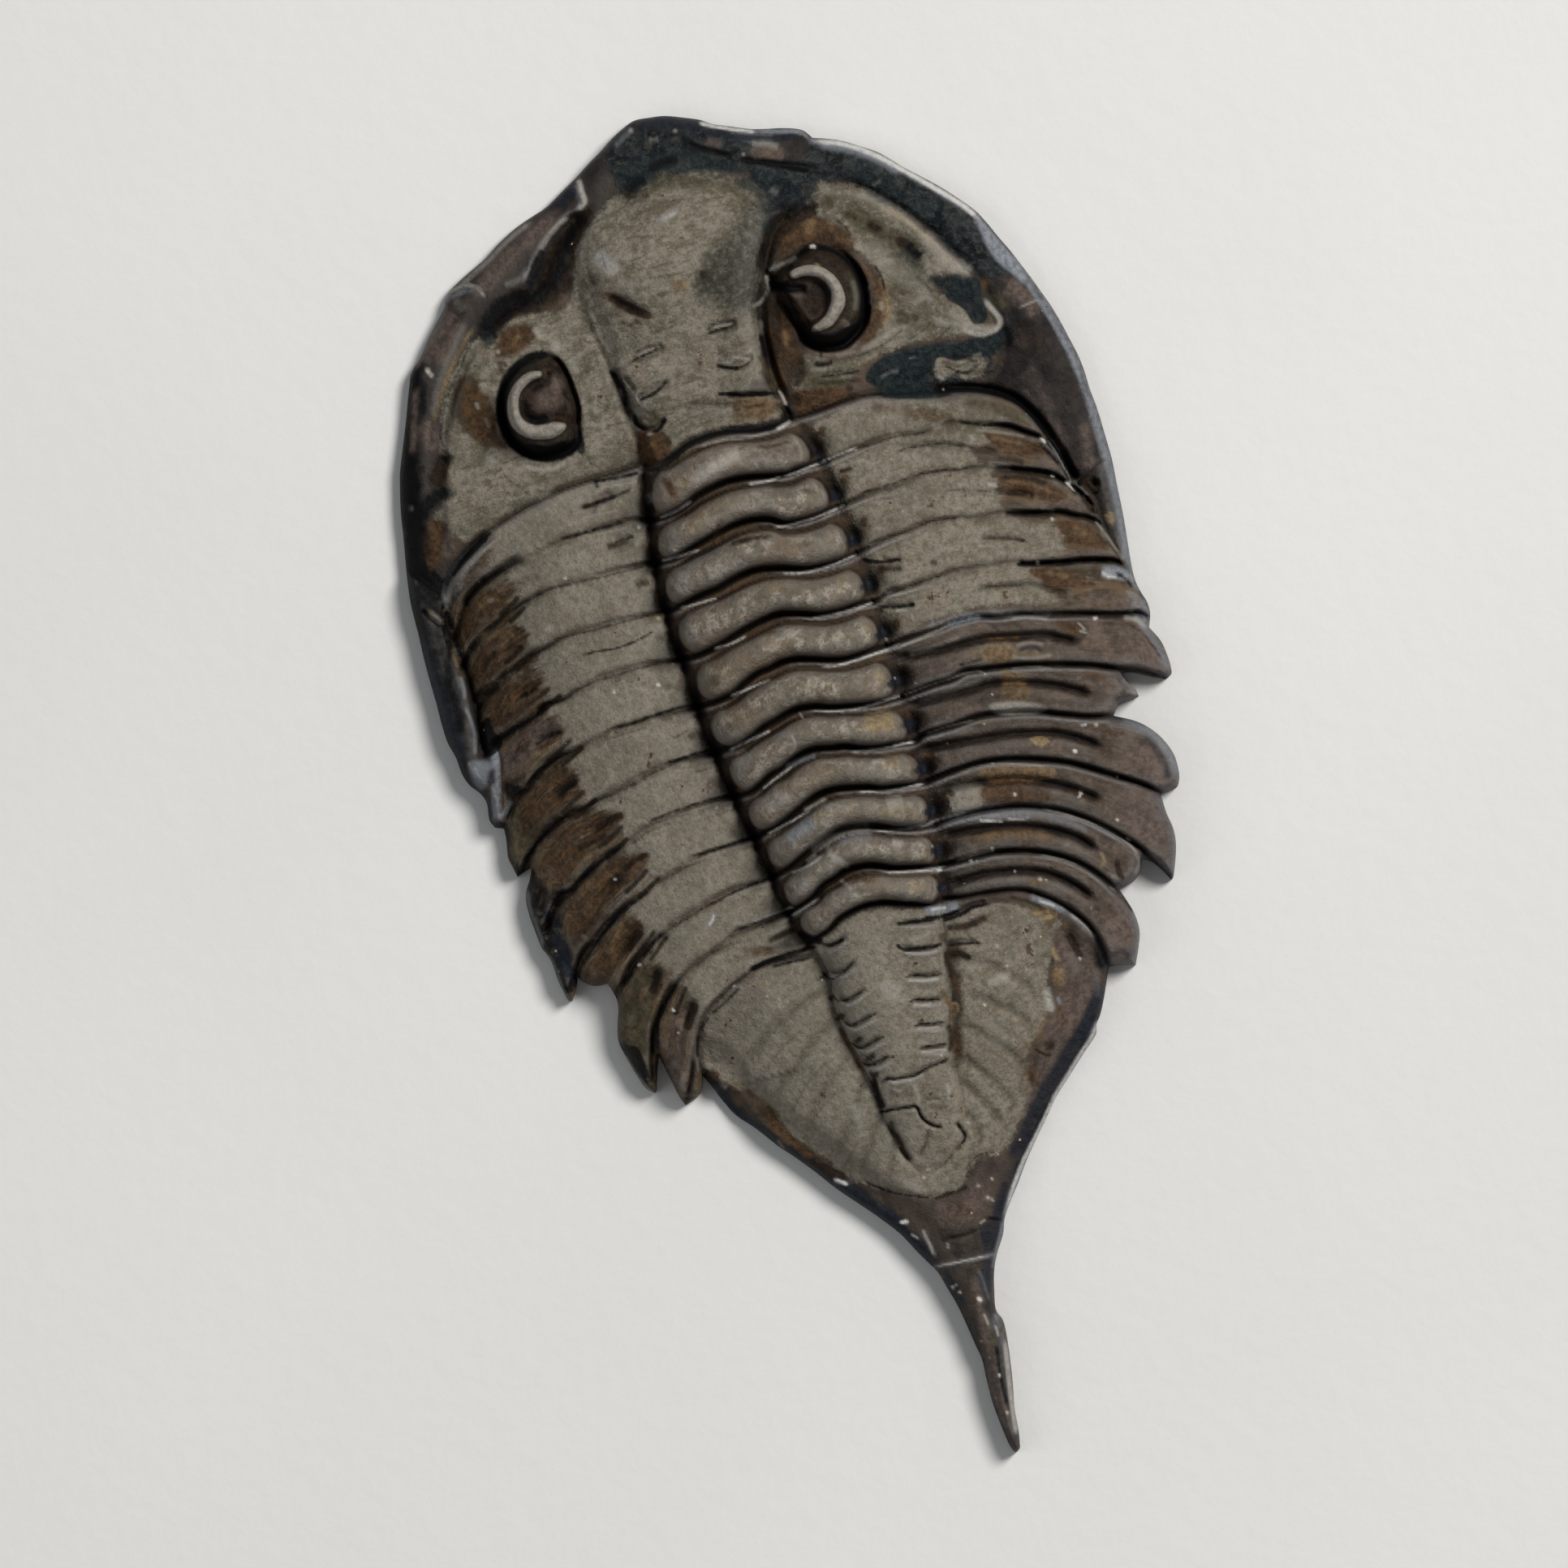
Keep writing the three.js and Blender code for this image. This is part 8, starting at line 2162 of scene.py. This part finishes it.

    # rubbed edges with painted highlight, painted shade in hollows, dark furrows, lines and pits
    # bulges: partly rubbed wear, partly painted highlight
    rubbed_and_lit = mul(step(A("hollow"), -.04, -.34), step(patch, .34, .58, .3, 1))
    bare = step(A("socket"), 0, -4)
    c = mix(mul(mul(rubbed_and_lit, .24), bare), c, rgb(146, 143, 140))
    # painted highlight along the crests
    c = mix(mul(mul(A("crest"), step(fine, .36, .56, .15, .60)), bare), c, rgb(138, 136, 136))
    # painted shade: darker in the hollows
    c = mix(step(A("hollow"), .08, .70, 0, .58), c, rgb(28, 24, 21))
    c = mix(mul(A("groove"), .78), c, rgb(18, 17, 18))
    c = mix(mul(A("line"), .84), c, rgb(16, 16, 18))
    c = mix(mul(step(add(A("pit"), wob(patch, .20)), .18, 1.0), .90), c, rgb(12, 13, 18))
    c = mix(step(add(A("black"), mul(ragged, .1)), -1.5, 1.5), c, rgb(5, 6, 7))
    # the small markings
    def tint(key, wave, lo, hi, most, colour):
        return mix(mul(step(add(A("m_" + key), mul(wave, A("m_" + key))), lo, hi), most), c, colour)
    w1, w2, w3 = wob(patch, .8), wob(fine, .9), wob(patch2, .8)
    c = tint("rose", w1, .04, .58, .78, mix(step(fine, .4, .6), rgb(102, 89, 82), rgb(80, 69, 63)))
    c = tint("olive", w3, .04, .58, .82, mix(step(fine, .4, .6), rgb(76, 71, 52), rgb(58, 54, 40)))
    c = tint("sand", w1, .04, .62, .85, mix(step(fine, .4, .6), rgb(142, 124, 92), rgb(118, 102, 78)))
    c = tint("rust", add(w3, mul(wob(streak2, 1.6), A("outer"))), .04, .62, .88, mix(step(fine, .4, .6), rgb(82, 59, 39), rgb(54, 41, 29)))
    # streaks along the outer ends
    bare_end = mul(mul(A("outer"), step(film, .9, .1, .25, 1.0)), add(mul(A("left"), .45), .55))
    c = mix(mul(mul(step(streak2, .52, .62), bare_end), .28), c, rgb(32, 27, 20))
    c = mix(mul(mul(step(wisp2, .50, .64), bare_end), .32), c, rgb(38, 32, 25))
    c = mix(mul(mul(step(wisp2, .46, .34), bare_end), .20), c, rgb(112, 97, 78))
    c = mix(mul(mul(step(patch2, .54, .66), bare_end), .45), c, rgb(96, 86, 74))
    c = tint("ochre", w1, .06, .70, .82, mix(step(fine, .4, .6), rgb(112, 91, 66), rgb(86, 70, 52)))
    c = tint("sepia", w3, .04, .58, .92, mix(step(fine, .4, .6), rgb(46, 35, 26), rgb(31, 25, 20)))
    c = tint("teal", w1, .04, .58, .92, mix(step(fine, .42, .64), rgb(20, 28, 31), rgb(38, 45, 46)))
    c = tint("navy", w1, .04, .60, .90, mix(step(fine, .4, .6), rgb(24, 28, 37), rgb(34, 37, 44)))
    # chalk: pale film in places, painted highlight on ridges and rims in others
    c = tint("chalk", w2, .06, .74, .85, mix(step(fine, .4, .6), rgb(168, 164, 156), rgb(146, 141, 133)))
    # blue: partly the stone's own blue-grey tone, partly painted sheen on edges facing the lamp
    c = tint("blue", w2, .06, .80, .85, mix(step(fine, .4, .6), rgb(136, 141, 147), rgb(108, 113, 120)))
    c = tint("ink", w2, .06, .74, .93, rgb(12, 12, 14))
    # painted highlights
    c = tint("white", w2, .08, .85, .90, rgb(200, 198, 194))
    # specks and pinholes
    far, tint = n.specks(0.62)
    c = mix(mul(step(far, .055, .030), step(broad, .45, .55)), c, rgb(170, 158, 138))
    far2, _ = n.specks(0.9, at=n.moved((13, 4, 40)))
    c = mix(mul(step(far2, .045, .02), .8), c, rgb(30, 26, 22))
    c = mix(A("glint"), c, rgb(200, 191, 176))

    rough = mix(film, (.46, .46, .46, 1), (.78, .78, .78, 1))
    rough = mix(slate, rough, (.52, .52, .52, 1))
    rough = mix(A("line"), rough, (.8, .8, .8, 1))
    rough = n.calc("ADD", rough, n.wob(fine, .07), True)
    height = add(mul(film, .035), add(mul(grain, .045), mul(fine, .100)))
    height = add(height, mul(slate, .02))
    return n.close(c, rough, height, specular=.07)


def stone_material(name, light, dark, rough=.7):
    n = Nodes(name)
    broad, patch, fine, grain = n.noise(0.25, 3), n.noise(1.1, 4, .6), n.noise(4.0, 3, .6), n.noise(9.0, 2, .7)
    c = n.mix(n.step(broad, .38, .62), light, dark)
    c = n.mix(n.mul(n.step(patch, .50, .66), .6), c, rgb(70, 57, 44))
    c = n.mix(n.mul(n.step(grain, .52, .70), .5), c, rgb(44, 41, 38))
    far, _ = n.specks(0.7)
    c = n.mix(n.step(far, .07, .03), c, rgb(128, 122, 112))
    height = n.add(n.mul(patch, .12), n.add(n.mul(fine, .06), n.mul(grain, .03)))
    return n.close(c, n.calc("ADD", n.wob(fine, .08), rough, True), height, specular=.3)


SHELL = shell_material()
UNDER = stone_material("underside", rgb(98, 92, 84), rgb(74, 69, 63))
cephalon = make_part("cephalon", 0, (SHELL, UNDER))
thorax = make_part("thorax", 1, (SHELL, UNDER))
pygidium = make_part("pygidium", 2, (SHELL, UNDER))

# ---------------------------------------------------------- floor and lights
me = bpy.data.meshes.new("floor")
s = 3.0
me.from_pydata([(-s, -s, -0.00005), (s, -s, -0.00005), (s, s, -0.00005), (-s, s, -0.00005)], [], [(0, 1, 2, 3)])
floor = bpy.data.objects.new("floor", me)
bpy.context.scene.collection.objects.link(floor)
nf = Nodes("floor")
cf = nf.mix(nf.step(nf.noise(0.02, 3), .3, .7), (.74, .735, .72, 1), (.71, .705, .69, 1))
me.materials.append(nf.close(cf, .85, nf.noise(0.8, 3), specular=.2, strength=.05))

from mathutils import Vector, Matrix
RIGHT, UP = Vector((CA, -SA, 0)), Vector((SA, CA, 0))           # directions in the picture
CENTRE = Vector((-0.002131, 0.000639, 0.0))


def area_light(name, across, along, height, size, power, colour=(1, 1, 1)):
    light = bpy.data.lights.new(name, "AREA")
    light.shape, light.size, light.energy, light.color = "DISK", size, power, colour
    ob = bpy.data.objects.new(name, light)
    ob.location = CENTRE + RIGHT * across + UP * along + Vector((0, 0, height))
    ob.rotation_euler = (CENTRE - ob.location).to_track_quat("-Z", "Y").to_euler()
    bpy.context.scene.collection.objects.link(ob)
    return ob


area_light("key", 0.36, 0.30, 0.56, 0.26, 5.2, (1.0, 0.985, 0.955))
area_light("fill", -0.55, -0.15, 0.45, 0.60, 0.9, (0.93, 0.96, 1.0))
world = bpy.data.worlds.new("studio")
bpy.context.scene.world = world
world.use_nodes = True
back = world.node_tree.nodes["Background"]
back.inputs["Color"].default_value = (0.96, 0.98, 1.0, 1)
back.inputs["Strength"].default_value = 0.20
bpy.context.scene.view_settings.view_transform = "Standard"

cam = bpy.data.cameras.new("camera")
cam.sensor_width, cam.lens = 36.0, 36.0 * 2.0 / 0.07728
cam.clip_start, cam.clip_end = 0.1, 10.0
eye = bpy.data.objects.new("camera", cam)
eye.matrix_world = Matrix.Translation(CENTRE + Vector((0, 0, 2.0))) @ Matrix(
    ((RIGHT.x, UP.x, 0, 0), (RIGHT.y, UP.y, 0, 0), (0, 0, 1, 0), (0, 0, 0, 1)))
bpy.context.scene.collection.objects.link(eye)
bpy.context.scene.camera = eye
